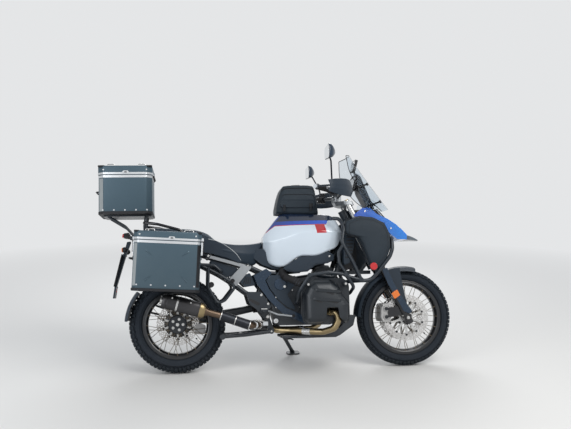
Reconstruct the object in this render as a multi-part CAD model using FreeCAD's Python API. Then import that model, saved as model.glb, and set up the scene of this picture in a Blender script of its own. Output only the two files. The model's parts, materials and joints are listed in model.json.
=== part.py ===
"""A large adventure motorcycle with three aluminium cases, parked on its side stand.

Units are millimetres. The motorcycle is modelled upright: X forward, Y to its left, Z up, with X = 0 at
the rear axle and Z = 0 at the ground below the upright tyres. place() then leans it over to the left, as
it stands parked, and moves the origin to the middle of the underside of its bounding box.
"""

import FreeCAD
import Part
import json
import math
import os

V = FreeCAD.Vector
X_AXIS = V(1, 0, 0)
Y_AXIS = V(0, 1, 0)

# Driving dimensions
LEAN = 11.5                    # degrees to the left, on the side stand
WHEELBASE = 1534.0
RAKE = 26.2                    # degrees from the vertical
TRAIL = 119.0
FIT = 0.3                      # gap between pieces that seat on each other
RUN = 6.0                      # gap between pieces that move past each other

# Tyres and wheels: outer radius, half width, crown radius, bead radius, rim half width
FRONT_TYRE = dict(radius=325.0, half_width=61.0, crown=60.0, bead=238.0, bead_half=38.0)
REAR_TYRE = dict(radius=318.0, half_width=86.0, crown=80.0, bead=214.0, bead_half=60.0)
TYRE_WALL = 11.0
RIM_DEPTH = 22.0
RIM_FLANGE = 13.0

# Facets
BEND_STEP = 0.80               # radians of turn in one length of a bend
TUBE_SIDES = 8
SMALL_TUBE_SIDES = 6
SMALL_TUBE = 21.0              # largest diameter of a tube with few sides
DRUM_SIDES = 12
TYRE_SIDES = 40
DISC_SIDES = 28
HUB_SIDES = 20
CARRIER_SIDES = 10
ARCH_SIDES = 10

# Spokes
SPOKES = 40
SPOKE_DIAMETER = 5.0
SPOKE_CROSSING = 40.5          # degrees between a spoke's two ends
SPOKE_SEAT = 22.0              # from the rim's edge to a spoke's outer end
SPOKE_ASIDE = 3.0              # how far the two leans of spokes pass each other on either side
HUB_FLANGE = 14.0
FRONT_HUB = dict(barrel=24.0, flange=46.0, flange_at=30.0, boss=36.0)
REAR_HUB = dict(barrel=40.0, flange=62.0, flange_at=26.0, boss=58.0)
AXLE_DIAMETER = 22.0
DISC_THICKNESS = 5.0
DISC_GAP = 5.0
FRONT_DISC = dict(outer=155.0, inner=112.0, at=69.0)
REAR_DISC = dict(outer=142.0, inner=95.0, at=63.0)

# Steering
LEG_SPACING = 100.0            # half the distance between the fork legs
STANCHION = 37.0
SLIDER = 46.0
YOKE_TOP = 1118.0
YOKE_THICK = 26.0
BAR_DIAMETER = 25.0
GRIP_DIAMETER = 36.0
BAR_TIP = (890.0, 432.0, 1176.0)

# Chassis
HEAD_TUBE = 64.0
STEM = 30.0
HEAD_LOW = 930.0                # heights of the steering head's ends on its axis
HEAD_HIGH = 1064.0
FRAME_TUBE = 34.0
RAIL_TUBE = 26.0
RACK_TUBE = 18.0
GUARD_TUBE = 25.0

SWING_PIVOT = V(552, 0, 417)
SWING_PIN = 26.0
PLATE_IN = 86.0                # pivot plates, from the middle
PLATE_OUT = 98.0
STAND_PIN = 12.0
CENTRE_PIVOT = V(612, 0, 262)
CENTRE_LEG = 118.0

# Engine
CRANKCASE_HALF = 150.0
CYLINDER_OUT = 402.0           # outer face of a valve cover from the middle

# Cases
CASE_WALL = 2.5
CASE_PITCH = 3.4               # nose down, degrees
PANNIER_IN = 215.0
PANNIER_OUT = 450.0
TOP_CASE_HALF = 196.0


def lean_height(radius, crown):
    """Axle height at which a round crowned tyre touches the ground once it is leaned over."""
    return radius - crown + crown / math.cos(math.radians(LEAN))


FRONT_AXLE = V(WHEELBASE, 0, lean_height(FRONT_TYRE["radius"], FRONT_TYRE["crown"]))
REAR_AXLE = V(0, 0, lean_height(REAR_TYRE["radius"], REAR_TYRE["crown"]))
SLOPE = math.tan(math.radians(RAKE))
STEER_DIR = V(-math.sin(math.radians(RAKE)), 0, math.cos(math.radians(RAKE)))


def steer_x(z):
    """X of the steering axis at height z."""
    return WHEELBASE + TRAIL - SLOPE * z


def leg_x(z):
    """X of a fork leg's centre line at height z."""
    return FRONT_AXLE.x - SLOPE * (z - FRONT_AXLE.z)


# Basic forms


def box(x0, x1, y0, y1, z0, z1):
    """A block between two corners."""
    return Part.makeBox(x1 - x0, y1 - y0, z1 - z0, V(x0, y0, z0))


def journal(centre, axis, radius, half_length):
    """A true cylinder about its middle, for what turns and what it turns in."""
    centre = V(*centre)
    axis = V(*axis).normalize()
    return Part.makeCylinder(radius, 2 * half_length, centre - axis * half_length, axis)


def on_steering(low, high, diameter):
    """A true cylinder on the steering axis between two heights."""
    ends = [V(steer_x(z), 0, z) for z in (low, high)]
    return journal((ends[0] + ends[1]) / 2, ends[1] - ends[0], diameter / 2, (ends[1] - ends[0]).Length / 2)


def drum(centre, axis, radius, half_length):
    """A cylinder of flat facets about its middle."""
    centre = V(*centre)
    axis = V(*axis).normalize()
    return skin([around(centre + axis * at, axis, radius, DRUM_SIDES) for at in (-half_length, half_length)])


def flat_faces(corners):
    """One face for a flat loop of four corners, and two for a twisted one."""
    a, b, c, d = corners
    normal = (c - a).cross(d - b)
    if abs((b - a).dot(normal)) < 1e-6 * normal.Length:
        return [Part.Face(Part.makePolygon([a, b, c, d, a]))]
    return [Part.Face(Part.makePolygon([a, b, c, a])), Part.Face(Part.makePolygon([a, c, d, a]))]


def skin(rings, closed=False):
    """A solid of flat facets through rings of points, joined end to end where it is closed."""
    faces = []
    for near, far in list(zip(rings, rings[1:])) + ([(rings[-1], rings[0])] if closed else []):
        for i in range(len(near)):
            faces += flat_faces((near[i - 1], near[i], far[i], far[i - 1]))
    if not closed:
        faces += [Part.Face(Part.makePolygon(ring + [ring[0]])) for ring in (rings[0], rings[-1])]
    shell = Part.Shell(faces)
    shell.sewShape()
    solid = Part.Solid(shell)
    if solid.Volume < 0:
        solid.reverse()
    return solid


def soft_loop(corners, radius, chords=2):
    """A closed loop of points with each corner rounded in one or two chords."""
    corners = [V(*c) for c in corners]
    count = len(corners)
    halves = []
    for i in range(count):
        back = corners[i - 1] - corners[i]
        ahead = corners[(i + 1) % count] - corners[i]
        halves.append(back.getAngle(ahead) / 2)
    room = min((corners[i] - corners[i - 1]).Length /
               (1 / math.tan(halves[i]) + 1 / math.tan(halves[i - 1])) for i in range(count))
    radius = min(radius, 0.95 * room)
    loop = []
    for i in range(count):
        here = corners[i]
        back = (corners[i - 1] - here).normalize()
        ahead = (corners[(i + 1) % count] - here).normalize()
        reach = radius / math.tan(halves[i])
        loop.append(here + back * reach)
        if chords == 2:
            loop.append(here + (back + ahead).normalize() * (radius / math.sin(halves[i]) - radius))
        loop.append(here + ahead * reach)
    return loop


def plate(outline, y0, y1, corner=0.0):
    """A side-view outline of (x, z) points, extruded from y0 to y1, its corners cut."""
    loop = [V(x, y0, z) for x, z in outline]
    if corner:
        loop = soft_loop(loop, corner, 1)
    return Part.Face(Part.makePolygon(loop + [loop[0]])).extrude(V(0, y1 - y0, 0))


def mirrored(shape):
    """The same piece on the other side of the motorcycle."""
    return shape.mirror(V(0, 0, 0), Y_AXIS)


def fuse(shapes):
    """One solid from pieces that meet."""
    shapes = list(shapes)
    body = shapes[0].multiFuse(shapes[1:]) if len(shapes) > 1 else shapes[0]
    return body.removeSplitter()


def around(centre, direction, radius, sides):
    """Points on a circle about a line, the first of them level with the ground."""
    across = direction.cross(V(0, 0, 1) if abs(direction.z) < 0.9 else X_AXIS).normalize()
    up = across.cross(direction).normalize()
    turns = [2 * math.pi * (i + 0.5) / sides for i in range(sides)]
    return [centre + across * (radius * math.cos(t)) + up * (radius * math.sin(t)) for t in turns]


def bent_path(points, bend):
    """Points of a path whose turns are replaced by short lengths that touch an arc."""
    points = [V(*p) for p in points]
    path = [points[0]]
    for before, here, after in zip(points, points[1:], points[2:]):
        into, out = (here - before).normalize(), (after - here).normalize()
        turn = into.getAngle(out)
        steps = math.ceil(turn / BEND_STEP)
        if steps < 2:
            path.append(here)
            continue
        room = 0.45 * min((here - before).Length, (after - here).Length)
        radius = min(bend, room / math.tan(turn / 2))
        middle = here + (out - into).normalize() * (radius / math.cos(turn / 2))
        normal = into.cross(out).normalize()
        first = (here - into * (radius * math.tan(turn / 2)) - middle) * (1 / math.cos(turn / (2 * steps)))
        for step in range(steps):
            part_turn = math.degrees(turn * (step + 0.5) / steps)
            path.append(middle + FreeCAD.Rotation(normal, part_turn).multVec(first))
    return path + [points[-1]]


def tube(points, diameter, bend=60.0):
    """A tube along points, of flat facets, mitred at each turn of its bent path."""
    path = bent_path(points, bend)
    sides = TUBE_SIDES if diameter > SMALL_TUBE else SMALL_TUBE_SIDES
    ring = around(path[0], (path[1] - path[0]).normalize(), diameter / 2, sides)
    rings = [ring]
    for i in range(1, len(path)):
        along = (path[i] - path[i - 1]).normalize()
        normal = along if i == len(path) - 1 else (along + (path[i + 1] - path[i]).normalize()).normalize()
        ring = [p + along * ((path[i] - p).dot(normal) / along.dot(normal)) for p in ring]
        rings.append(ring)
    return skin(rings)


def rod(start, end, diameter):
    """A straight bar of flat facets between two points."""
    return tube([start, end], diameter)


def body_sections(table, radius):
    """A loft along X through sections with a crowned top.

    Each row of the table is x, bottom z, waist z, top z, bottom half width, waist half width,
    top half width.
    """
    return skin([soft_loop([(x, -half_low, low), (x, half_low, low), (x, half_waist, waist),
                            (x, half_high, high), (x, -half_high, high), (x, -half_waist, waist)], radius)
                 for x, low, waist, high, half_low, half_waist, half_high in table])


def revolve(profile, centre, sides, start=0.0, end=360.0):
    """A ring of flat facets about the wheel axis from (y, r) points, between two angles.

    The angles count from straight down towards the front. Flat facets have the profile's own radius.
    """
    step = math.radians(end - start) / sides
    whole = end - start >= 360.0
    stretch = 1 / math.cos(step / 2)
    rings = []
    for i in range(sides if whole else sides + 1):
        angle = math.radians(start) + step * (i + (0.5 if whole else 0.0))
        rings.append([V(*centre) + V(r * stretch * math.sin(angle), y, -r * stretch * math.cos(angle))
                      for y, r in profile])
    return skin(rings, whole)


def turned(shape, centre, axis, degrees):
    """A copy turned about an axis."""
    copy = shape.copy()
    copy.rotate(V(*centre), V(*axis), degrees)
    return copy


# Wheels


def tyre(size, axle):
    """A tyre: round crown, bulged walls, beads on the rim and the air space inside."""
    radius, half, crown = size["radius"], size["half_width"], size["crown"]
    bead, bead_half = size["bead"], size["bead_half"]
    wall_r = (bead + RIM_FLANGE + radius - crown / 2) / 2
    tread = [(crown * math.sin(math.radians(a)), radius - crown + crown * math.cos(math.radians(a)))
             for a in (54, LEAN)]
    side = [(bead_half, bead), (bead_half, bead + RIM_FLANGE + 2), (half - 5, wall_r - 22), (half, wall_r + 4)]
    hollow = [(bead_half - TYRE_WALL, bead), (half - TYRE_WALL, wall_r), (crown * 0.55, radius - TYRE_WALL - 8)]
    outer = side + tread
    profile = outer + [(-y, r) for y, r in reversed(outer)]
    return revolve(profile + [(-y, r) for y, r in hollow] + list(reversed(hollow)), axle, TYRE_SIDES)


def rim(size, hub, face, axle):
    """A rim with raised flanges, a hub with two flanges, and crossed spokes between them."""
    bead, half = size["bead"] - FIT, size["bead_half"] + FIT
    bead *= math.cos(math.pi / SPOKES)
    top = bead + RIM_FLANGE
    side = [(half, bead), (half, top), (half + 7, bead - 4), (half - 16, bead - RIM_DEPTH)]
    ring = revolve(side + [(-y, r) for y, r in reversed(side)], axle, SPOKES)
    flange_in, flange_out = hub["flange_at"] - HUB_FLANGE / 2, hub["flange_at"] + HUB_FLANGE / 2
    outline = [(face, AXLE_DIAMETER / 2 + 1), (face, hub["boss"]), (flange_out, hub["boss"]),
               (flange_out, hub["flange"]), (flange_in, hub["flange"]), (flange_in, hub["barrel"])]
    core = revolve(outline + [(-y, r) for y, r in reversed(outline)], axle, HUB_SIDES)
    spokes = []
    for i in range(SPOKES):
        side = 1 if i % 2 else -1
        lean = 1 if (i // 2) % 2 else -1
        at_rim = math.radians(360.0 * i / SPOKES)
        at_hub = at_rim + lean * math.radians(SPOKE_CROSSING)
        outer = (half - SPOKE_SEAT) * side + lean * SPOKE_ASIDE
        inner = hub["flange_at"] * side + lean * SPOKE_ASIDE
        r_out, r_in = bead - 0.6 * RIM_DEPTH, hub["flange"] - 4
        a = V(r_out * math.cos(at_rim), outer, r_out * math.sin(at_rim)) + V(*axle)
        b = V(r_in * math.cos(at_hub), inner, r_in * math.sin(at_hub)) + V(*axle)
        spokes.append(skin([around(p, (b - a).normalize(), SPOKE_DIAMETER / 2, 4) for p in (a, b)]))
    return ring.multiFuse([core] + spokes)


def disc(size, side, axle):
    """A brake disc with its five-armed carrier, bolted to the end of the hub."""
    at = side * size["at"]
    thick = DISC_THICKNESS / 2
    band = revolve([(at - thick, size["inner"]), (at + thick, size["inner"]),
                    (at + thick, size["outer"]), (at - thick, size["outer"])], axle, DISC_SIDES)
    seat = size["seat"]
    centre = revolve([(at - thick, seat - 14), (at + thick, seat - 14), (at + thick, seat + 8),
                      (at - thick, seat + 8)], axle, CARRIER_SIDES)
    arms = []
    for i in range(5):
        arm = box(seat, size["inner"] + 6, at - thick, at + thick, -9, 9)
        arms.append(turned(arm, (0, 0, 0), Y_AXIS, 72 * i))
    for arm in arms:
        arm.translate(V(*axle))
    return fuse([band, centre] + arms)


def build_wheels():
    """Both wheels: tyre, rim and discs."""
    front_disc = dict(FRONT_DISC, seat=38.0)
    rear_disc = dict(REAR_DISC, seat=54.0)
    front_face = FRONT_DISC["at"] - DISC_THICKNESS / 2 - FIT
    rear_face = REAR_DISC["at"] - DISC_THICKNESS / 2 - FIT
    return {
        "front_tyre": tyre(FRONT_TYRE, FRONT_AXLE),
        "front_rim": rim(FRONT_TYRE, FRONT_HUB, front_face, FRONT_AXLE),
        "front_discs": Part.makeCompound([disc(front_disc, 1, FRONT_AXLE), disc(front_disc, -1, FRONT_AXLE)]),
        "rear_tyre": tyre(REAR_TYRE, REAR_AXLE),
        "rear_rim": rim(REAR_TYRE, REAR_HUB, rear_face, REAR_AXLE),
        "rear_disc": disc(rear_disc, 1, REAR_AXLE),
    }


# Steering assembly


def build_fork():
    """Two telescopic legs, the lower bridge, the top yoke and the front axle."""
    low = FRONT_AXLE.z - 30
    split = 660.0
    pieces = []
    for side in (1, -1):
        y = side * LEG_SPACING
        pieces.append(rod((leg_x(low), y, low), (leg_x(split), y, split), SLIDER))
        pieces.append(rod((leg_x(split - 10), y, split - 10), (leg_x(YOKE_TOP), y, YOKE_TOP), STANCHION))
    bridge_z = 690.0
    bridge = plate([(leg_x(bridge_z) - 32, bridge_z - 14), (leg_x(bridge_z) + 30, bridge_z - 14),
                    (leg_x(bridge_z) + 16, bridge_z + 18), (leg_x(bridge_z) - 46, bridge_z + 18)],
                   -LEG_SPACING - 8, LEG_SPACING + 8)
    ball = rod((steer_x(bridge_z - 24), 0, bridge_z - 24), (steer_x(bridge_z + 24), 0, bridge_z + 24), 52)
    z0 = YOKE_TOP - YOKE_THICK
    yoke = soft_loop([(leg_x(z0) + 34, -LEG_SPACING - 26, z0), (leg_x(z0) + 34, LEG_SPACING + 26, z0),
                         (leg_x(z0) - 26, LEG_SPACING + 26, z0), (steer_x(z0) - 34, 40, z0),
                         (steer_x(z0) - 34, -40, z0), (leg_x(z0) - 26, -LEG_SPACING - 26, z0)], 12)
    yoke = Part.Face(Part.makePolygon(yoke + [yoke[0]])).extrude(STEER_DIR * (YOKE_THICK / STEER_DIR.z))
    axle = journal(FRONT_AXLE, Y_AXIS, AXLE_DIAMETER / 2, LEG_SPACING + 26)
    stem = on_steering(HEAD_LOW + 10, z0 + YOKE_THICK / 2, STEM)
    return fuse(pieces + [bridge, ball, yoke, axle, stem])


def bar_point(share):
    """A point on the right half of the handlebar, from the bend (0) to the tip (1)."""
    start = V(1098, 150, 1166)
    end = V(*BAR_TIP)
    return start + (end - start) * share


def build_handlebar():
    """The tapered bar with two risers, grips, switch housings and levers."""
    tip = V(*BAR_TIP)
    bend = bar_point(0)
    pieces = [drum((1092, 0, 1152), Y_AXIS, BAR_DIAMETER / 2, 36)]
    for side in (1, -1):
        pieces.append(tube([(1092, side * 36, 1152), (1092, side * 70, 1152), (bend.x, side * bend.y, bend.z),
                            (tip.x, side * tip.y, tip.z)], BAR_DIAMETER))
        riser = box(1070, 1114, side * 55 - 14, side * 55 + 14, YOKE_TOP + FIT, 1170)
        pieces.append(riser)
        inner = bar_point(0.50)
        outer = bar_point(0.99)
        pieces.append(rod((inner.x, side * inner.y, inner.z), (outer.x, side * outer.y, outer.z), GRIP_DIAMETER))
        hub_a, hub_b = bar_point(0.26), bar_point(0.46)
        pieces.append(rod((hub_a.x, side * hub_a.y, hub_a.z), (hub_b.x, side * hub_b.y, hub_b.z), 46))
        lever_in = bar_point(0.36) + V(28, 18, -4)
        lever_out = bar_point(0.90) + V(48, 30, -8)
        pieces.append(rod((lever_in.x, side * lever_in.y, lever_in.z),
                          (lever_out.x, side * lever_out.y, lever_out.z), 13))
        root = bar_point(0.36)
        pieces.append(rod((root.x, side * root.y, root.z), (lever_in.x, side * lever_in.y, lever_in.z), 20))
    return fuse(pieces)


def build_hand_guards():
    """Moulded hand guards in front of the grips, on a rod from the bar's end."""
    guards = []
    for side in (1, -1):
        rows = [(0.18, 78, 40, 34), (0.42, 104, 62, 48), (0.72, 98, 58, 50), (1.0, 66, 40, 34)]
        outer = []
        for share, ahead, up, down in rows:
            p = bar_point(share)
            y = side * (p.y + ahead * 0.55)
            outer.append(soft_loop([(p.x + ahead, y, p.z + up), (p.x + ahead + 8, y, p.z + up),
                                       (p.x + ahead + 20, y, p.z), (p.x + ahead + 8, y, p.z - down),
                                       (p.x + ahead, y, p.z - down), (p.x + ahead + 10, y, p.z)], 1.5))
        tip, root = V(*BAR_TIP), bar_point(0)
        along = (tip - root).normalize()
        plug_in, plug_out, arm_end = tip + along * FIT, tip + along * 24, bar_point(1) + V(76, 36, 4)
        plug = rod((plug_in.x, side * plug_in.y, plug_in.z), (plug_out.x, side * plug_out.y, plug_out.z), 26)
        middle = tip + along * 16
        arm = rod((middle.x, side * middle.y, middle.z), (arm_end.x, side * arm_end.y, arm_end.z), 14)
        guards.append(fuse([skin(outer), plug, arm]))
    return guards


def build_mirrors():
    """Two mirrors on bent stems that rise from the handlebar."""
    mirrors = []
    for side in (1, -1):
        root = bar_point(0.36)
        start = V(root.x, side * root.y, root.z + 23.7 + FIT)
        head = V(966, side * 440, 1393)
        stem = tube([tuple(start), (root.x - 4, side * (root.y + 6), 1240), (root.x - 30, side * 390, 1350),
                     (head.x + 4, side * 425, head.z - 4)], 11, 60)
        foot = rod(tuple(start), tuple(start + V(0, 0, 16)), 20)
        sections = []
        for x, half_y, half_z in [(head.x + 34, 46, 22), (head.x + 16, 82, 42), (head.x - 6, 92, 48)]:
            sections.append(soft_loop(
                [(x, head.y - half_y, head.z - half_z), (x, head.y + half_y, head.z - half_z * 0.7),
                 (x, head.y + half_y, head.z + half_z * 0.8), (x, head.y - half_y, head.z + half_z)], 20))
        mirrors.append(fuse([stem, foot, skin(sections)]))
    return mirrors


FENDER_IN = FRONT_TYRE["radius"] + 13
FENDER_OUT = FENDER_IN + 5


def arch(inner, outer, half, crown, centre, start, end):
    """A curved guard over a tyre between two angles, measured from straight ahead and upwards."""
    profile = [(-half, inner - crown), (-half + 4, inner - crown), (-half * 0.55, inner),
               (half * 0.55, inner), (half - 4, inner - crown), (half, inner - crown),
               (half * 0.6, outer), (-half * 0.6, outer)]
    return revolve(profile, centre, ARCH_SIDES, start + 90, end + 90)


def build_front_fender():
    """The front fender with its struts down to the fork legs."""
    shell = arch(FENDER_IN, FENDER_OUT, 74, 26, FRONT_AXLE, 76, 178)
    struts = []
    for side in (1, -1):
        y = side * 76
        outline = [(1392, 640), (1500, 662), (1514, 560), (1545, 400), (1520, 392), (1486, 470), (1420, 600)]
        struts.append(plate(outline, y - 3, y + 3, 6))
    return fuse([shell] + struts)


def build_calipers():
    """Four-piston calipers behind the fork legs, one on each disc."""
    blocks = []
    for side in (1, -1):
        y = side * FRONT_DISC["at"]
        outline = [(1366, 300), (1420, 300), (1436, 360), (1424, 424), (1374, 424), (1366, 380)]
        body = plate(outline, y - 20, y + 20, 10)
        groove = journal(FRONT_AXLE + V(0, y, 0), Y_AXIS, FRONT_DISC["outer"] + DISC_GAP, DISC_THICKNESS / 2 + DISC_GAP)
        lug = plate([(1405, 330), (1530, 345), (1525, 375), (1490, 404), (1405, 396)],
                    *sorted((side * 85, side * 104)))
        leg = rod((leg_x(250), side * LEG_SPACING, 250), (leg_x(600), side * LEG_SPACING, 600), SLIDER + 2 * FIT)
        blocks.append(fuse([body.cut(groove), lug.cut(groove)]).cut(leg))
    return blocks


# Engine, exhaust and underside


ENGINE = [(640, 330), (656, 300), (1000, 296), (1075, 340), (1085, 500), (1060, 587), (900, 612), (700, 600),
          (606.3, 560), (606.3, 440)]


def ENGINE_TOP(x):
    """Height of the crankcase's upper face."""
    return 612 - (x - 900) * 25 / 160


def build_engine():
    """The crankcase and gearbox as one block."""
    return plate(ENGINE, -CRANKCASE_HALF, CRANKCASE_HALF)


def build_cylinder(side):
    """One cylinder: finned barrel, head and a ribbed valve cover."""
    face = CRANKCASE_HALF + FIT

    def block(x0, x1, z0, z1, y, radius):
        return soft_loop([(x0, side * y, z0), (x1, side * y, z0), (x1, side * y, z1), (x0, side * y, z1)],
                         radius, 1)

    barrel = skin([block(850, 1040, 370, 540, face, 24), block(850, 1040, 370, 540, 236, 24)])
    fins = [skin([block(834, 1056, 354, 556, y, 24), block(834, 1056, 354, 556, y + 7, 24)])
            for y in (166, 184, 202, 220)]
    head = skin([block(812, 1082, 330, 574, 235, 40), block(796, 1098, 312, 592, 290, 50),
                 block(790, 1100, 306, 598, 318, 52)])
    cover = skin([block(794, 1096, 310, 594, 317, 50), block(806, 1084, 322, 584, 372, 46),
                  block(838, 1060, 352, 560, CYLINDER_OUT, 40)])
    port = rod((968, side * 262, 308), (968, side * 262, 345), 58)
    ribs = []
    for z in (400, 456, 512):
        ribs.append(skin([block(850, 1048, z - 5, z + 5, 380, 4), block(866, 1034, z - 4, z + 4,
                                                                      CYLINDER_OUT + 5, 3)]))
    return fuse([barrel] + fins + [head, cover, port] + ribs)


def build_headers():
    """Header pipes from both cylinders to the collector below the gearbox."""
    pipes = []
    for side in (1, -1):
        pipes.append(tube([(968, side * 262, 308 - FIT), (968, side * 262, 256), (890, side * 232, 256),
                           (740, side * 106, 262), (650, side * 62, 266), (590, side * 50, 296)], 42, 44))
    collector = skin([soft_loop([(x, -half, 302 - rise), (x, half, 302 - rise), (x, half, 302 + rise),
                                    (x, -half, 302 + rise)], 12)
                      for x, half, rise in ((602, 70, 24), (580, 84, 30), (470, 84, 30))])
    return fuse(pipes + [collector])


def build_skid_plate():
    """A bent aluminium tray under the engine."""
    low = 214.0
    wall = 4.0
    outer = [(680, low), (1030, low), (1150, 288), (1168, 352), (1130, 352), (1060, 276), (1000, 246), (960, 230),
             (680, 230)]
    inner = [(670, low + wall), (1028, low + wall), (1146, 290), (1164, 360), (1050, 380), (670, 380)]
    tray = plate(outer, -168, 168).cut(plate(inner, -168 + wall, 168 - wall))
    return tray


SILENCER_REAR = V(-92, -190, 482)
SILENCER_FRONT = V(178, -190, 404)
NECK = 20.0


def silencer_point(along, lift=0.0):
    """A point on the silencer's axis, a distance ahead of its rear end, lifted square to it."""
    axis = (SILENCER_FRONT - SILENCER_REAR).normalize()
    up = V(-axis.z, 0, axis.x)
    return SILENCER_REAR + axis * along + up * lift


def build_silencer():
    """The silencer: a flattened tube with a stepped heat shield, a neck and a deep outlet."""
    length = (SILENCER_FRONT - SILENCER_REAR).Length

    def section(along, half_up, half_side, radius, lift=0.0):
        centre = silencer_point(along, lift)
        up = (silencer_point(0, 1) - silencer_point(0)).normalize()
        return soft_loop([tuple(centre + Y_AXIS * s * half_side + up * t * half_up)
                             for s, t in ((-1, -1), (1, -1), (1, 1), (-1, 1))], radius)

    can = skin([section(0, 40, 40, 24), section(18, 48, 46, 26), section(length - 26, 48, 46, 26),
                section(length, 38, 38, 24)])
    neck = skin([section(length - 1, 28, 28, 20), section(length + NECK, 24, 24, 16)])
    lip = rod(tuple(silencer_point(-10)), tuple(silencer_point(14)), 56)
    bore = rod(tuple(silencer_point(-12)), tuple(silencer_point(50)), 40)
    return fuse([can, neck, lip]).cut(bore)


def build_exhaust_link():
    """The pipe from the collector to the silencer, with its sleeve."""
    length = (SILENCER_FRONT - SILENCER_REAR).Length
    end = silencer_point(length + NECK + FIT)
    bend = silencer_point(length + NECK + 66)
    pipe = tube([(530, -84 - FIT, 304), (524, -130, 304), (470, -190, 308), tuple(bend), tuple(end)], 44, 60)
    sleeve = rod((462, -190, 308.5), tuple(bend + V(20, 0, -6)), 63)
    return fuse([pipe, sleeve])


# Frame and running gear


def main_tubes(side, diameter):
    """The two frame tubes of one side: the rail below the tank and the tube down to the engine."""
    top = ENGINE_TOP
    rest = diameter / 2 + FIT
    rail = tube([(steer_x(1000), side * 26, 1000), (1112, side * 62, 862), (1040, side * 104, 740),
                 (930, side * 120, 694), (700, side * 120, 650), (590, side * 96, 592)], diameter, 90)
    down = tube([(steer_x(945), side * 28, 945), (1112, side * 92, 800), (1056, side * 120, 640),
                 (1034, side * 120, top(1034) + rest), (930, side * 120, top(930) + rest)], diameter, 90)
    return [rail, down]


def build_main_frame():
    """The tube frame: steering head, upper rails, down tubes and pivot plates."""
    head = on_steering(HEAD_LOW, HEAD_HIGH, HEAD_TUBE)
    bore = on_steering(HEAD_LOW - 10, HEAD_HIGH + 10, STEM + 2 * FIT)
    pieces = [head]
    for side in (1, -1):
        pieces += main_tubes(side, FRAME_TUBE)
        outline = [(556, 596), (606, 602), (606, 345), (634, 268), (622, 246), (598, 248), (566, 345),
                   (528, 396), (532, 520)]
        pieces.append(plate(outline, *sorted((side * PLATE_IN, side * PLATE_OUT)), 6))
        pieces.append(journal(CENTRE_PIVOT + V(0, side * (CENTRE_LEG - 4), 0), Y_AXIS, STAND_PIN / 2, 20))
        for x in (830, 930):
            lug = [(x - 12, 670), (x + 12, 670), (x + 12, tank_low(x + 12) - FIT), (x - 12, tank_low(x - 12) - FIT)]
            pieces.append(plate(lug, *sorted((side * 112, side * 128))))
    pieces.append(journal(SWING_PIVOT + V(0, 20, 0), Y_AXIS, SWING_PIN / 2, 126))
    pieces.append(rod((585, -92, 575), (585, 92, 575), FRAME_TUBE - 6))
    pieces.append(rod((930, -120, 694), (930, 120, 694), FRAME_TUBE - 6))
    return fuse(pieces).cut(bore)


def rear_rails(side, diameter):
    """The two tubes of the rear frame on one side: the top rail and the strut below it."""
    rail = tube([(648, side * 118, 640), (560, side * 126, 646), (470, side * 128, 690), (205, side * 128, 762),
                 (-60, side * 110, 850), (-300, side * 84, 892)], diameter, 80)
    beside = PLATE_OUT + FIT + RAIL_TUBE / 2
    strut = tube([(576, side * beside, 470), (530, side * beside, 470), (445, side * 128, 520),
                  (324, side * 128, 614), (150, side * 124, 706), (90, side * 122, 796)], diameter, 80)
    return [rail, strut]


def cross_tubes(diameter):
    """The tubes across the rear frame."""
    return [rod((x, -half, z), (x, half, z), diameter)
            for x, z, half in ((205, 762, 128), (-60, 850, 110), (-290, 890, 84))]


def build_subframe():
    """The bolted rear frame: two top rails, two lower struts, cross tubes and the tail tray."""
    pieces = cross_tubes(RAIL_TUBE - 4)
    for side in (1, -1):
        pieces += rear_rails(side, RAIL_TUBE)
    frame = fuse([tube for side in (1, -1) for tube in main_tubes(side, FRAME_TUBE + 2 * FIT)])
    return fuse(pieces).cut(frame)


def build_swingarm():
    """The single-sided arm with the drive shaft inside, and the final drive housing."""
    y = 122.0
    arm = skin([soft_loop([(540, y - 22, 392), (540, y + 22, 392), (540, y + 22, 442), (540, y - 22, 442)], 14),
                soft_loop([(300, y - 26, 344), (300, y + 26, 344), (300, y + 26, 404), (300, y - 26, 404)], 18),
                soft_loop([(60, y - 30, 300), (60, y + 30, 300), (60, y + 30, 366), (60, y - 30, 366)], 20)])
    housing = drum((0, 112, REAR_AXLE.z), Y_AXIS, 92, 40)
    nose = drum((0, 156, REAR_AXLE.z), Y_AXIS, 60, 10)
    spindle = journal((0, 6, REAR_AXLE.z), Y_AXIS, AXLE_DIAMETER / 2, 68)
    eye = drum(SWING_PIVOT + V(0, y, 0), Y_AXIS, 32, 22)
    bore = journal(SWING_PIVOT + V(0, y, 0), Y_AXIS, SWING_PIN / 2 + FIT, 60)
    return fuse([arm, housing, nose, spindle, eye]).cut(bore)


def build_rear_caliper():
    """The rear caliper on its bracket at the final drive housing."""
    y = REAR_DISC["at"]
    body = plate([(112, 250), (176, 246), (186, 306), (150, 318), (118, 312)], y - 13, y + 28, 8)
    body = body.cut(journal((0, y, REAR_AXLE.z), Y_AXIS, REAR_DISC["outer"] + DISC_GAP,
                         DISC_THICKNESS / 2 + DISC_GAP))
    tab = plate([(70, 270), (150, 256), (150, 300), (70, 330)], y + 12, y + 27, 4)
    return fuse([body, tab])


HUGGER_GAP = 20.0


def build_rear_hugger():
    """The short mudguard behind the rear tyre on two stays from the final drive."""
    inner = REAR_TYRE["radius"] + HUGGER_GAP
    half, crown = REAR_TYRE["half_width"] + 6, 16
    guard = arch(inner, inner + 6, half, crown, REAR_AXLE, 140, 175)
    stays = []
    for start, angle in ((V(-50, 136, 46), 160), (V(-20, 136, 76), 147)):
        reach, turn = inner - crown + 5, math.radians(angle)
        end = REAR_AXLE + V(reach * math.cos(turn), half - 5, reach * math.sin(turn))
        stays.append(rod(tuple(REAR_AXLE + start), tuple(end), 14))
    housing = drum((0, 112, REAR_AXLE.z), Y_AXIS, 92 + 2 * FIT, 60)
    return fuse([guard] + stays).cut(housing)


# Body panels


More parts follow.
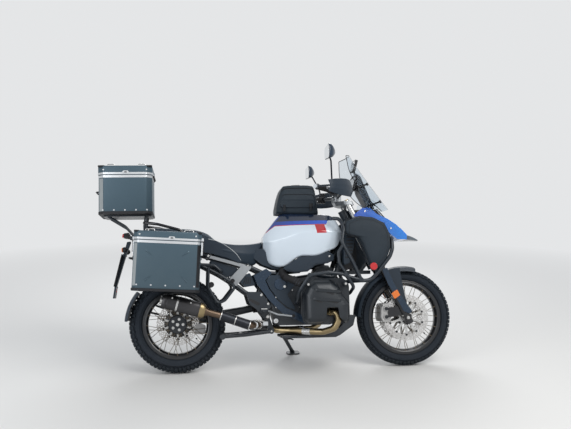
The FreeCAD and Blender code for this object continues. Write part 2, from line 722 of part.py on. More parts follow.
TANK_REAR = (703.0, 1040.0)     # x and z of the flat top's ends
TANK_FRONT = (987.0, 1026.0)


def crest(x):
    """Height of the tank's flat top."""
    share = (x - TANK_REAR[0]) / (TANK_FRONT[0] - TANK_REAR[0])
    return TANK_REAR[1] + (TANK_FRONT[1] - TANK_REAR[1]) * share


# x, bottom z, waist z, top z, bottom half width, waist half width, top half width
TANK = [
    (572, 800, 850, 886, 70, 96, 60),
    (612, 706, 850, 942, 110, 138, 74),
    (703, 684, 870, crest(703), 150, 176, 92),
    (800, 744, 900, crest(800), 190, 214, 116),
    (908, 748, 910, crest(908), 212, 236, 128),
    (987, 776, 910, crest(987), 216, 240, 120),
    (1050, 806, 900, 1008, 204, 226, 100),
    (1084, 862, 905, 960, 180, 196, 90),
]


def tank_low(x):
    """Height of the tank's underside."""
    for a, b in zip(TANK, TANK[1:]):
        if a[0] <= x <= b[0]:
            return a[1] + (b[1] - a[1]) * (x - a[0]) / (b[0] - a[0])
    return None


def build_tank():
    """The fuel tank."""
    return body_sections(TANK, 14)


def build_tank_bag():
    """The tank bag on the flat top of the tank."""
    rows = [(703, 1180, 120, 104), (720, 1218, 130, 112), (760, 1232, 134, 116),
            (900, 1230, 134, 114), (934, 1190, 120, 104), (952, 1090, 104, 98)]
    rings = []
    for x, high, wide, narrow in rows:
        low = crest(x) + FIT
        rings.append(soft_loop([(x, -wide, low), (x, wide, low), (x, narrow, high), (x, -narrow, high)], 16))
    return skin(rings)


SEAT_STEP = 250.0


def build_rider_seat():
    """The rider's seat."""
    rows = [(566, 806, 852, 52, 40), (520, 706, 842, 96, 74), (440, 702, 834, 138, 116),
            (350, 726, 838, 156, 136), (SEAT_STEP, 754, 858, 150, 130)]
    rings = []
    for x, low, high, wide, narrow in rows:
        rings.append(soft_loop([(x, -wide * 0.85, low), (x, wide * 0.85, low), (x, wide, (low + high) / 2 + 8),
                                   (x, narrow, high), (x, -narrow, high), (x, -wide, (low + high) / 2 + 8)], 8))
    return skin(rings).cut(seat_frame())


def seat_frame():
    """The tubes that the seats rest on, a little thicker than they are."""
    return fuse(cross_tubes(RAIL_TUBE - 4 + 2 * FIT) + [
        tube for side in (1, -1)
        for tube in rear_rails(side, RAIL_TUBE + 2 * FIT) + main_tubes(side, FRAME_TUBE + 2 * FIT)])


def build_passenger_seat():
    """The passenger's seat, one step up."""
    rows = [(SEAT_STEP - FIT, 770, 880, 142, 118), (206, 780, 926, 146, 122), (0, 836, 944, 140, 116),
            (-140, 870, 950, 128, 106), (-186, 878, 938, 112, 92)]
    rings = []
    for x, low, high, wide, narrow in rows:
        rings.append(soft_loop([(x, -wide, low), (x, wide, low), (x, narrow, high), (x, -narrow, high)], 12))
    grab = tube(GRAB_RAIL, 20 + 2 * FIT, 40)
    return skin(rings).cut(seat_frame()).cut(grab).cut(mirrored(grab))


BEAK = [(1165, 1010), (1239, 1066), (1290, 1066), (1340, 1022), (1410, 990), (1470, 950), (1520, 890),
        (1535, 850), (1470, 852), (1430, 884), (1380, 940), (1300, 980), (1240, 1004)]


BEAK_END = 1540.0


def build_beak():
    """The blue cheeks on both sides of the headlamp, joined over the nose."""
    cheeks = []
    for side in (1, -1):
        y = side * 150
        cheek = plate(BEAK, y - 7, y + 7, 4)
        cheeks.append(cheek)
    nose = plate([(1430, 972), (BEAK_END, 884), (BEAK_END, 850), (1500, 851), (1490, 880), (1424, 940)],
                 -146, 146, 2)
    return fuse(cheeks + [nose])


def build_beak_tip():
    """The grey tip of the beak, over the front wheel."""
    rows = [(BEAK_END + FIT, 851, 884, 116), (1600, 850, 872, 72), (1648, 846, 854, 34)]
    rings = [soft_loop([(x, -half, low), (x, half, low), (x, half * 0.9, high), (x, -half * 0.9, high)], 3)
             for x, low, high, half in rows]
    return skin(rings)


def build_headlamp():
    """The headlamp behind a slanted glass."""
    top = 1064 - FIT
    outline = [(1330, 960), (1412, 940), (1424, 975), (1350, top), (1322, top)]
    return plate(outline, -118, 118, 6)


SCREEN_THICK = 3.5
# x and z of the screen's middle, half width, and how far its edges are swept back
SCREEN = [(1452, 1066, 120, 70), (1360, 1190, 168, 110), (1262, 1330, 176, 100), (1190, 1440, 130, 46)]


def build_screen():
    """The tall windscreen, a curved clear sheet."""
    rings = []
    for x, z, half, sweep in SCREEN:
        curve = [(share * half, sweep * share * share) for share in (-1, -0.7, -0.35, 0, 0.35, 0.7, 1)]
        outer = [V(x - back, y, z - 0.3 * back) for y, back in curve]
        inner = [point - V(1, 0, 0.3) * SCREEN_THICK for point in reversed(outer)]
        rings.append(outer + inner)
    return skin(rings)


def build_cockpit():
    """The carrier in front of the handlebar with the instrument and the navigation mount."""
    tower = plate([(1300, 1064), (1346, 1064), (1252, 1292), (1224, 1316), (1214, 1300), (1240, 1180)], -66, 66, 6)
    display = plate([(1190, 1190), (1200, 1186), (1228, 1290), (1214, 1298)], -92, 92, 3)
    carrier = plate([(steer_x(985), 985), (1320, 1000), (1320, 1062), (1300, 1070), (steer_x(1070), 1070)], -28, 28)
    head = on_steering(HEAD_LOW - 30, HEAD_HIGH + 5, HEAD_TUBE + 2 * FIT)
    above = on_steering(HEAD_HIGH + FIT, HEAD_HIGH + 76, 200)
    return fuse([tower, display, carrier.cut(head).cut(above)])


def build_knee_panel(side):
    """The dark panel below the tank."""
    top = [(x, tank_low(x) - FIT) for x in (987, 908, 800, 706)]
    outline = [(690, 668), (724, 650), (770, 640), (850, 646), (905, 690), (985, 698), (1024, 716),
               (1026, 752)] + top
    return plate(outline, *sorted((side * 190, side * 210)))


def build_side_cover(side):
    """The cover behind the cylinder with the swoop down to the footrest."""
    outline = [(579, 596), (626, 646), (771, 617), (790, 585), (718, 496), (792, 375), (876, 326), (834, 303),
               (782, 329), (676, 382), (603, 466), (540, 540)]
    return plate(outline, *sorted((side * (CRANKCASE_HALF + FIT), side * (CRANKCASE_HALF + 18))), 4)


def build_foot_plate(side):
    """The footrest plate with the rider's peg, and the hanger with the passenger's peg."""
    outline = [(445, 524), (548, 520), (610, 426), (550, 380), (470, 440)]
    panel = plate(outline, *sorted((side * 156, side * 165)), 6)
    spacers = [rod((x, side * (PLATE_OUT + FIT), z), (x, side * 157, z), 18) for x, z in ((546, 500), (590, 442))]
    peg = drum((560, side * 214, 400), Y_AXIS, 15, 50)
    beside = 128 + RAIL_TUBE / 2 + FIT
    hanger = plate([(424, 696), (490, 686), (385, 562), (330, 596)], *sorted((side * beside, side * (beside + 10))),
                   6)
    passenger_peg = drum((358, side * 196, 596), Y_AXIS, 13, 46)
    return [fuse([panel, peg] + spacers), fuse([hanger, passenger_peg])]


def crash_tubes(side, diameter):
    """The two tubes of one crash bar."""
    y = side * 318
    low = [(1040, side * 140, 570), (1110, side * 240, 574), (1160, y, 578), (1245, y, 578),
           (1300, y, 640), (1375, y, 730), (1394, y, 780), (1396, side * 300, 850), (1376, side * 158, 900)]
    rise = [(1180, y, 584), (1130, y, 700), (1062, y, 830), (1084, side * 300, 930), (1056, side * 268, 985),
            (1020, side * 244, 990)]
    return [tube(low, diameter, 80), tube(rise, diameter, 60)]


def build_crash_bar(side):
    """The tube guard around the tank and the side bag."""
    case = box(600, 1100, -CRANKCASE_HALF - FIT, CRANKCASE_HALF + FIT, 280, 640)
    return fuse(crash_tubes(side, GUARD_TUBE)).cut(case)


def build_cylinder_guard(side):
    """The tube guard over one cylinder."""
    case = box(600, 1100, -CRANKCASE_HALF - FIT, CRANKCASE_HALF + FIT, 280, 640)
    return tube([(776, side * 140, 438), (766, side * 300, 455), (768, side * 376, 520),
                 (836, side * 394, 618), (960, side * 398, 634), (1066, side * 388, 618), (1128, side * 340, 540),
                 (1122, side * 230, 500), (1066, side * 130, 470)], 22, 50).cut(case)


def build_side_bag(side):
    """The soft bag inside the crash bar."""
    face = [(1088, 962), (1180, 994), (1270, 984), (1345, 946), (1376, 880), (1380, 790), (1350, 715), (1300, 655),
            (1252, 655), (1226, 720), (1196, 810), (1166, 862), (1086, 882)]
    middle = V(1250, 0, 850)
    rows = [(236, [(middle.x + 0.97 * (x - middle.x), middle.z + 0.97 * (z - middle.z)) for x, z in face]),
            (322, face),
            (334, [(middle.x + 0.9 * (x - middle.x), middle.z + 0.9 * (z - middle.z)) for x, z in face])]
    rings = []
    for y, points in rows:
        rings.append(soft_loop([(x, side * y, z) for x, z in points], 10))
    return skin(rings).cut(fuse(crash_tubes(side, GUARD_TUBE + 2 * FIT)))


def build_radiator(side):
    """A radiator cowl beside the front of the tank."""
    outline = [(1092, 960), (1150, 985), (1180, 960), (1160, 800), (1130, 700), (1090, 680), (1092, 820)]
    return plate(outline, *sorted((side * 140, side * 215)), 8)


def build_front_arm():
    """The front suspension arm from the engine to the ball joint at the lower fork bridge."""
    z0, z1 = 626.0, 650.0
    x_ball = steer_x(655)
    wishbone = Part.Face(Part.makePolygon([V(960, 100, z0), V(1010, 100, z0), V(x_ball - 20, 26, z0),
                                       V(x_ball - 20, -26, z0), V(1010, -100, z0), V(960, -100, z0),
                                       V(960, -70, z0), V(1020, -62, z0), V(1130, 0, z0), V(1020, 62, z0),
                                       V(960, 70, z0), V(960, 100, z0)])).extrude(V(0, 0, z1 - z0))
    eyes = [drum((975, side * 85, 634), Y_AXIS, 20, 18) for side in (1, -1)]
    return fuse([wishbone] + eyes)


def build_front_spring():
    """The spring unit between the front arm and the steering head."""
    low, high = V(1120, 0, 668), V(1140, 0, 900)
    return fuse([rod(tuple(low), tuple(high), 44),
                 rod(tuple(low + V(2, 0, 20)), tuple(low + V(16, 0, 180)), 68)])


# Cases


def pitched(shape, pivot):
    """A copy turned nose down by the cases' pitch."""
    return turned(shape, pivot, Y_AXIS, CASE_PITCH)


LID_LAP = 3.0                  # how far a lid stands out over its case
HINGE_PIN = 5.0
HINGE_BARREL = 10.0
HINGE_HALF = 90.0
LUG = 5.0


def hinge_axis(case):
    """X and Z of a lid's hinge, in front of the case's upper edge."""
    return case["x1"] + LID_LAP + 1 + HINGE_BARREL / 2, case["z1"]


def hinged(body, lid, case, y):
    """A case with a pin between two lugs, and its lid with the barrel that turns on it."""
    x, z = hinge_axis(case)
    wall = case["x1"]
    arm = HINGE_BARREL / 2 - 1
    lug = [(wall - 1, z - 18), (x + arm, z - arm), (x + arm, z + arm), (x - arm, z + arm), (x - arm, z - 1),
           (wall - 1, z - 1)]
    pin = journal((x, y, z), Y_AXIS, HINGE_PIN / 2, HINGE_HALF + 2)
    lugs = [plate(lug, *sorted((y + side * HINGE_HALF, y + side * (HINGE_HALF + LUG)))) for side in (1, -1)]
    reach = HINGE_HALF - 2 * FIT
    barrel = drum((x, y, z), Y_AXIS, HINGE_BARREL / 2, reach)
    leaf = box(wall + LID_LAP - 1, x, y - reach, y + reach, z + 1, z + arm)
    bore = journal((x, y, z), Y_AXIS, HINGE_PIN / 2 + FIT, HINGE_HALF)
    return fuse([body, pin] + lugs), fuse([lid, fuse([barrel, leaf]).cut(bore)])


PANNIER = dict(x0=-262.0, x1=150.0, z0=548.0, z1=848.0, corner=26.0)
LID = 56.0
TOP_LID = 60.0
PANNIER_PIVOT = (-56.0, 0, 700.0)


def case_shell(x0, x1, y0, y1, z0, z1, corner, open_top=True):
    """A folded aluminium box with chamfered upright edges, open at the top or the bottom."""
    def ring(z, inset):
        return Part.Face(Part.makePolygon([V(x, y, z) for x, y in chamfered(
            x0 + inset, x1 - inset, y0 + inset, y1 - inset, corner - inset * 0.6)]))
    outer = ring(z0, 0).extrude(V(0, 0, z1 - z0))
    if open_top:
        inner = ring(z0 + CASE_WALL, CASE_WALL).extrude(V(0, 0, z1 - z0))
    else:
        inner = ring(z0 - CASE_WALL, CASE_WALL).extrude(V(0, 0, z1 - z0))
    return outer.cut(inner)


def chamfered(x0, x1, y0, y1, c):
    """A closed rectangle with cut corners, first point repeated at the end."""
    loop = [(x0 + c, y0), (x1 - c, y0), (x1, y0 + c), (x1, y1 - c), (x1 - c, y1), (x0 + c, y1),
            (x0, y1 - c), (x0, y0 + c)]
    return loop + [loop[0]]


def build_pannier(side):
    """One side case, its base tray included, and its lid."""
    y0, y1 = sorted((side * PANNIER_IN, side * PANNIER_OUT))
    p = PANNIER
    body = case_shell(p["x0"], p["x1"], y0, y1, p["z0"], p["z1"], p["corner"])
    base = Part.Face(Part.makePolygon([V(x, y, p["z0"] - 14) for x, y in chamfered(
        p["x0"] - 4, p["x1"] + 4, *sorted((side * PANNIER_IN, side * (PANNIER_OUT + 4))),
        p["corner"])])).extrude(V(0, 0, 14))
    body = fuse([body, base])
    lid = case_shell(p["x0"] - LID_LAP, p["x1"] + LID_LAP, y0 - LID_LAP, y1 + LID_LAP, p["z1"] + FIT,
                     p["z1"] + LID, p["corner"], open_top=False)
    body, lid = hinged(body, lid, p, (y0 + y1) / 2)
    return pitched(body, PANNIER_PIVOT), pitched(lid, PANNIER_PIVOT)


TOP_CASE = dict(x0=-495.0, x1=-153.0, z0=1042.0, z1=1296.0, corner=36.0)


def build_top_case():
    """The top case and its lid."""
    p = TOP_CASE
    half = TOP_CASE_HALF
    body = case_shell(p["x0"], p["x1"], -half, half, p["z0"], p["z1"], p["corner"])
    lid = case_shell(p["x0"] - LID_LAP, p["x1"] + LID_LAP, -half - LID_LAP, half + LID_LAP, p["z1"] + FIT,
                     p["z1"] + TOP_LID, p["corner"], open_top=False)
    return hinged(body, lid, p, 0)


def build_top_rack():
    """The plate that carries the top case, on a tube frame above the tail."""
    deck = box(-470, -158, -120, 120, 1030, 1041.7)
    struts = []
    for side in (1, -1):
        struts.append(tube([(-440, side * 100, 1034), (-330, side * 100, 966), (-272, side * 88, 890)],
                           RACK_TUBE, 40))
        struts.append(tube([(-196, side * 110, 1034), (-206, side * 116, 972), (-204, side * 96, 876)],
                           RACK_TUBE, 40))
    rails = fuse([tube for side in (1, -1) for tube in rear_rails(side, RAIL_TUBE + 2 * FIT)])
    return fuse([deck] + struts + build_grab_rails()).cut(rails)


GRAB_RAIL = [(66, 118, 808), (58, 150, 826), (40, 172, 930), (-120, 172, 974), (-206, 150, 985), (-206, 112, 985)]


def build_grab_rails():
    """Grab rails beside the passenger's seat."""
    return [tube([(x, side * y, z) for x, y, z in GRAB_RAIL], 20, 40) for side in (1, -1)]


def build_pannier_rack(side):
    """The tube loop that carries one pannier."""
    y = side * (PANNIER_IN - FIT - RACK_TUBE / 2)
    loop = tube([(290, side * 128, 662), (292, side * 160, 660), (290, y, 655), (240, y, 700), (-150, y, 724),
                 (-205, y, 740), (-210, side * 150, 800), (-196, side * 98, 868)], RACK_TUBE, 40)
    rails = fuse([tube for tube in rear_rails(side, RAIL_TUBE + 2 * FIT)])
    return loop.cut(rails)


def build_plate_holder():
    """The licence-plate carrier behind the tail."""
    arm = plate([(-300, 874), (-326, 870), (-410, 570), (-398, 566), (-334, 780)], -30, 30, 3)
    return arm


def build_number_plate():
    """A bare licence plate."""
    return plate([(-356, 780), (-358.5, 780.7), (-408, 584), (-405.5, 583.3)], -90, 90)


def build_tail_lamp():
    """The tail lamp with two turn signals."""
    lamp = plate([(-310, 930), (-352, 924), (-356, 896), (-308, 892)], -60, 60, 6)
    return lamp


# Stands

SIDE_PIVOT = V(668, 160, 312)
SIDE_FOOT = V(812, 379, 77)
SIDE_STOWED = V(-0.93, 0.33, -0.05).normalize()


def side_axis():
    """The side stand's hinge axis: it turns the leg from its foot's direction to its stowed one."""
    down = (SIDE_FOOT - SIDE_PIVOT).normalize()
    change = down - SIDE_STOWED
    guess = V(0, 0.9, 0.3)
    axis = V(-(change.y * guess.y + change.z * guess.z) / change.x, guess.y, guess.z)
    return axis.normalize()


def side_travel():
    """Degrees from the stop to the stowed position."""
    axis = side_axis()
    down = (SIDE_FOOT - SIDE_PIVOT).normalize()
    a = down - axis * down.dot(axis)
    b = SIDE_STOWED - axis * SIDE_STOWED.dot(axis)
    return math.degrees(math.atan2(axis.dot(a.cross(b)), a.dot(b)))


def build_side_stand():
    """The side stand, down, with a wide foot that lies flat on the ground once the machine leans."""
    axis = side_axis()
    eye_centre = SIDE_PIVOT + axis * 14
    eye = drum(eye_centre, axis, 20, 9)
    leg_end = SIDE_FOOT + V(0, 0, 8)
    leg = rod(tuple(eye_centre + (leg_end - eye_centre).normalize() * 15), tuple(leg_end), 26)
    up = V(0, -math.sin(math.radians(LEAN)), math.cos(math.radians(LEAN)))
    foot = Part.makeBox(92, 74, 9, V(-46, -37, 0))
    foot = foot.makeFillet(18, [e for e in foot.Edges if abs(e.Length - 9) < 1e-6])
    foot.rotate(V(0, 0, 0), X_AXIS, LEAN)
    level = -SIDE_FOOT.y * math.sin(math.radians(LEAN)) + SIDE_FOOT.z * math.cos(math.radians(LEAN))
    foot.translate(SIDE_FOOT - up * level)
    pad = rod(tuple(SIDE_FOOT - up * level + up * 4), tuple(SIDE_FOOT + (SIDE_PIVOT - SIDE_FOOT).normalize() * 24), 34)
    ground = Part.makeBox(400, 400, 100, V(-200, -200, -100))
    ground.rotate(V(0, 0, 0), X_AXIS, LEAN)
    ground.translate(SIDE_FOOT - up * level)
    stand = fuse([eye, leg, foot, pad]).cut(ground)
    return stand.cut(journal(SIDE_PIVOT, axis, STAND_PIN / 2 + FIT, 60))


def build_side_stand_bracket():
    """The lug on the engine with the side stand's pin."""
    axis = side_axis()
    lug = drum(SIDE_PIVOT - axis * 10, axis, 24, 12)
    pin = journal(SIDE_PIVOT + axis * 12, axis, STAND_PIN / 2, 16)
    head = drum(SIDE_PIVOT + axis * 27, axis, 10, 3)
    case = box(560, 760, 0, CRANKCASE_HALF + FIT, 200, 420)
    return fuse([lug, pin, head]).cut(case)


def build_centre_stand():
    """The centre stand, folded up: two legs with feet, a cross tube and the foot lever."""
    pieces = []
    rear = V(287, 0, 236)
    for side in (1, -1):
        pivot = CENTRE_PIVOT + V(0, side * CENTRE_LEG, 0)
        end = rear + V(0, side * 128, 0)
        pieces.append(tube([tuple(pivot), (440, side * 120, 244), tuple(end)], 26, 60))
        pieces.append(drum(pivot, Y_AXIS, 17, 12))
        pieces.append(drum(end + V(4, 0, 0), Y_AXIS, 19, 20))
    pieces.append(rod((420, -120, 243), (420, 120, 243), 22))
    pieces.append(tube([(330, 128, 240), (330, 170, 240), (300, 196, 246)], 14, 20))
    holes = [journal(CENTRE_PIVOT + V(0, side * CENTRE_LEG, 0), Y_AXIS, STAND_PIN / 2 + FIT, 40) for side in (1, -1)]
    return fuse(pieces).cut(holes[0]).cut(holes[1])


# Assembly


def build_nodes():
    """Every node by name, upright, as one shape or a list of solids that don't touch."""
    sides = (-1, 1)
    nodes = dict(build_wheels())
    nodes["fork"] = build_fork()
    nodes["handlebar"] = build_handlebar()
    nodes["hand_guards"] = build_hand_guards()
    nodes["mirrors"] = build_mirrors()
    nodes["front_fender"] = build_front_fender()
    nodes["front_calipers"] = build_calipers()
    nodes["engine_block"] = build_engine()
    nodes["cylinders"] = [build_cylinder(side) for side in sides]
    nodes["exhaust_pipes"] = [build_headers(), build_exhaust_link()]
    nodes["silencer"] = build_silencer()
    nodes["skid_plate"] = build_skid_plate()
    nodes["main_frame"] = build_main_frame()
    nodes["subframe"] = build_subframe()
    nodes["swingarm"] = [build_swingarm(), build_rear_caliper()]
    nodes["rear_mudguard"] = build_rear_hugger()
    nodes["front_suspension"] = [build_front_arm(), build_front_spring()]
    nodes["fuel_tank"] = build_tank()
    nodes["tank_bag"] = build_tank_bag()
    nodes["rider_seat"] = build_rider_seat()
    nodes["passenger_seat"] = build_passenger_seat()
    nodes["beak"] = build_beak()
    nodes["beak_tip"] = build_beak_tip()
    nodes["headlamp"] = build_headlamp()
    nodes["windscreen"] = build_screen()
    nodes["cockpit"] = build_cockpit()
    nodes["knee_panels"] = [build_knee_panel(side) for side in sides]
    nodes["side_covers"] = [build_side_cover(side) for side in sides]
    nodes["foot_rests"] = [piece for side in sides for piece in build_foot_plate(side)]
    nodes["crash_bars"] = [make(side) for side in sides for make in (build_crash_bar, build_cylinder_guard)]
    nodes["side_bags"] = [build_side_bag(side) for side in sides]
    nodes["radiator_cowls"] = [build_radiator(side) for side in sides]
    nodes["pannier_racks"] = [build_pannier_rack(side) for side in sides]
    nodes["top_rack"] = build_top_rack()
    nodes["plate_holder"] = [build_plate_holder(), build_number_plate()]
    nodes["tail_lamp"] = build_tail_lamp()
    nodes["stand_bracket"] = build_side_stand_bracket()
    nodes["side_stand"] = build_side_stand()
    nodes["centre_stand"] = build_centre_stand()
    nodes["top_case"], nodes["top_lid"] = build_top_case()
    for side, word in zip(sides, ("right", "left")):
        nodes["pannier_" + word], nodes["pannier_lid_" + word] = build_pannier(side)
    return nodes


def place(shapes):
    """Lean the machine onto its side stand and move the origin under the middle of its box."""
    placed = {}
    bounds = FreeCAD.BoundBox()
    for name, shape in shapes.items():
        shape = shape if isinstance(shape, Part.Shape) else Part.makeCompound(shape)
        shape.rotate(V(0, 0, 0), X_AXIS, -LEAN)
        bounds.add(shape.optimalBoundingBox(False, False))
        placed[name] = shape
    offset = V(-(bounds.XMin + bounds.XMax) / 2, -(bounds.YMin + bounds.YMax) / 2, 0)
    for shape in placed.values():
        shape.translate(offset)
    return placed, offset


def placed_point(point, offset):
    """Where an upright point lies once the machine is placed, in metres."""
    turn = FreeCAD.Rotation(X_AXIS, -LEAN)
    p = turn.multVec(V(*point)) + offset
    return [round(c / 1000, 6) for c in p]


def placed_direction(direction):
    """An upright direction once the machine is placed."""
    d = FreeCAD.Rotation(X_AXIS, -LEAN).multVec(V(*direction).normalize())
    return [round(c, 7) for c in d]


def main():
    """Build, place and write every piece, and print the hinges."""
    os.makedirs("parts", exist_ok=True)
    nodes, offset = place(build_nodes())
    for name, shape in nodes.items():
        shape.exportStep("parts/" + name + ".step")
    pitch = FreeCAD.Rotation(Y_AXIS, CASE_PITCH)
    lid_x, lid_z = hinge_axis(PANNIER)
    lid_edge = pitch.multVec(V(lid_x, 0, lid_z) - V(*PANNIER_PIVOT)) + V(*PANNIER_PIVOT)
    top_x, top_z = hinge_axis(TOP_CASE)
    hinges = {
        "offset_mm": [offset.x, offset.y, offset.z],
        "rear_axle": [placed_point(REAR_AXLE, offset), placed_direction(Y_AXIS)],
        "front_axle": [placed_point(FRONT_AXLE, offset), placed_direction(Y_AXIS)],
        "steering": [placed_point((steer_x(900), 0, 900), offset), placed_direction(STEER_DIR)],
        "side_stand": [placed_point(SIDE_PIVOT, offset), placed_direction(side_axis()), side_travel()],
        "centre_stand": [placed_point(CENTRE_PIVOT, offset), placed_direction(Y_AXIS)],
        "top_lid": [placed_point((top_x, 0, top_z), offset), placed_direction(Y_AXIS)],
    }
    for side, word in ((-1, "right"), (1, "left")):
        edge = lid_edge + V(0, side * PANNIER_IN, 0)
        hinges["pannier_lid_" + word] = [placed_point(edge, offset), placed_direction(Y_AXIS)]
    print(json.dumps(hinges))


if __name__ == "__main__":
    main()
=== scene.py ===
"""An adventure motorcycle with three aluminium cases, dressed for the render.

Forms are made upright in millimetres: X forward from the rear axle, Y to the left, Z up from the ground.
Stance leans them onto the side stand and brings them to metres, as the frame stands.
"""

from __future__ import annotations

import json
import logging
import math
from contextlib import contextmanager
from dataclasses import dataclass, field
from enum import Enum
from typing import Any, Iterator, Sequence

import bmesh
import bpy
from mathutils import Matrix, Quaternion, Vector

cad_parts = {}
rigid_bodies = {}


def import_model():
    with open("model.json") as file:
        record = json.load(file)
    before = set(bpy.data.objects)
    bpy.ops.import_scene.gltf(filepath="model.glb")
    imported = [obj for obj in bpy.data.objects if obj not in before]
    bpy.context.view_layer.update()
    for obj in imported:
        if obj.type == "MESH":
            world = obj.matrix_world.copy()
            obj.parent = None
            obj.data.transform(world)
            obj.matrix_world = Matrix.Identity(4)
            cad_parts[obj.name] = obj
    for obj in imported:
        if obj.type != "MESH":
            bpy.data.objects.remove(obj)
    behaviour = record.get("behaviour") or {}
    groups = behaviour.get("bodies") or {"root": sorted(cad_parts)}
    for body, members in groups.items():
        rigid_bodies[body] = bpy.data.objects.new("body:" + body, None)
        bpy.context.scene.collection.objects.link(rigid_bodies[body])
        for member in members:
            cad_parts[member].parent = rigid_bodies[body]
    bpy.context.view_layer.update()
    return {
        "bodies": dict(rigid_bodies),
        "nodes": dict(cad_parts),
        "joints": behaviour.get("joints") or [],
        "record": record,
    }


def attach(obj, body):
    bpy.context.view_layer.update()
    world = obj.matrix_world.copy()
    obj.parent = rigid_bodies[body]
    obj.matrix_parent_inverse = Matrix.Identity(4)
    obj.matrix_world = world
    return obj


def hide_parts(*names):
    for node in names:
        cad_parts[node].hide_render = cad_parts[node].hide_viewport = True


LOG = logging.getLogger("motorcycle")

Point = Sequence[float]
Outline = Sequence[tuple[float, float]]
Colour = tuple[float, float, float]

MM = 0.001
FIT = 0.3
CHASSIS = "chassis"
SQUARE = ((-1, -1), (1, -1), (1, 1), (-1, 1))
SIDES = {1: "left", -1: "right"}
ARC_STEP = 0.16
PIPE_SIDES = 18
SMOOTH_ANGLE = math.radians(36)
X_AXIS = Vector((1, 0, 0))
Y_AXIS = Vector((0, 1, 0))
Z_AXIS = Vector((0, 0, 1))
LEAN = math.radians(11.5)
FRONT_RADIUS, FRONT_CROWN = 325, 60
REAR_RADIUS, REAR_CROWN = 318, 80
WHEELBASE = 1534.0
RAKE = math.radians(26.2)
TRAIL = 119.0
SLOPE = math.tan(RAKE)
STEER_DIR = Vector((-math.sin(RAKE), 0, math.cos(RAKE)))


def axle_height(radius: float, crown: float) -> float:
    """Axle height at which a round crowned tyre touches the ground once it is leaned over."""
    return radius - crown + crown / math.cos(LEAN)


FRONT_AXLE = Vector((WHEELBASE, 0, axle_height(FRONT_RADIUS, FRONT_CROWN)))
REAR_AXLE = Vector((0, 0, axle_height(REAR_RADIUS, REAR_CROWN)))


def steer_x(z: float) -> float:
    """X of the steering axis at height z."""
    return WHEELBASE + TRAIL - SLOPE * z


def leg_x(z: float) -> float:
    """X of a fork leg's centre line at height z."""
    return FRONT_AXLE.x - SLOPE * (z - FRONT_AXLE.z)


@dataclass(frozen=True)
class Stance:
    """Where the upright machine stands in the frame."""

    matrix: Matrix

    @classmethod
    def of(cls, frame: dict[str, Any]) -> "Stance":
        """Work the stance out from the rear wheel's joint.


        Returns:
            The stance, with its matrix from upright millimetres to placed metres.
        """
        wheel = next(j for j in frame["joints"] if j["name"] == "rear_wheel_spin")
        turn = Matrix.Rotation(-LEAN, 4, "X")
        shift = Vector(wheel["pos_m"]) - turn @ (REAR_AXLE * MM)
        return cls(Matrix.Translation(shift) @ turn @ Matrix.Scale(MM, 4))


def soft_loop(corners: Sequence[Point], radius: float, chords: int = 5) -> list[Vector]:
    """A closed loop of points with its corners rounded.

    Args:
        corners: the loop's sharp corners.
        radius: the rounding, limited by the shortest side.
        chords: straight lengths in each corner.

    Returns:
        The rounded loop, the same count of points for every loop of as many corners.
    """
    points = [Vector(c) for c in corners]
    count = len(points)
    halves = []
    for i in range(count):
        back = points[i - 1] - points[i]
        ahead = points[(i + 1) % count] - points[i]
        halves.append(back.angle(ahead) / 2)
    room = min((points[i] - points[i - 1]).length / (1 / math.tan(halves[i]) + 1 / math.tan(halves[i - 1]))
               for i in range(count))
    radius = min(radius, 0.95 * room)
    loop = []
    for i, here in enumerate(points):
        back = (points[i - 1] - here).normalized()
        ahead = (points[(i + 1) % count] - here).normalized()
        reach = radius / math.tan(halves[i])
        middle = here + (back + ahead).normalized() * (radius / math.sin(halves[i]))
        first = here + back * reach - middle
        last = here + ahead * reach - middle
        turn = first.rotation_difference(last)
        loop += [middle + Quaternion(turn.axis, turn.angle * k / chords) @ first for k in range(chords + 1)]
    return loop


def bent_path(points: Sequence[Point], bend: float) -> list[Vector]:
    """Points of a path whose turns are arcs of short lengths."""
    route = [Vector(p) for p in points]
    path = [route[0]]
    for before, here, after in zip(route, route[1:], route[2:]):
        into, out = (here - before).normalized(), (after - here).normalized()
        turn = into.angle(out)
        if turn < 0.02:
            path.append(here)
            continue
        room = 0.45 * min((here - before).length, (after - here).length)
        radius = min(bend, room / math.tan(turn / 2))
        start = here - into * (radius * math.tan(turn / 2))
        middle = here + (out - into).normalized() * (radius / math.cos(turn / 2))
        normal = into.cross(out).normalized()
        steps = max(2, math.ceil(turn / ARC_STEP))
        path += [middle + Quaternion(normal, turn * k / steps) @ (start - middle) for k in range(steps + 1)]
    return path + [route[-1]]


def around(centre: Vector, direction: Vector, radius: float, sides: int) -> list[Vector]:
    """Points on a circle about a line."""
    across = direction.cross(Z_AXIS if abs(direction.z) < 0.9 else X_AXIS).normalized()
    up = across.cross(direction).normalized()
    turns = [2 * math.pi * (i + 0.5) / sides for i in range(sides)]
    return [centre + across * (radius * math.cos(t)) + up * (radius * math.sin(t)) for t in turns]


def at_y(point: Point, other: float) -> Vector:
    """The same point with another Y."""
    return Vector((point[0], other, point[2]))


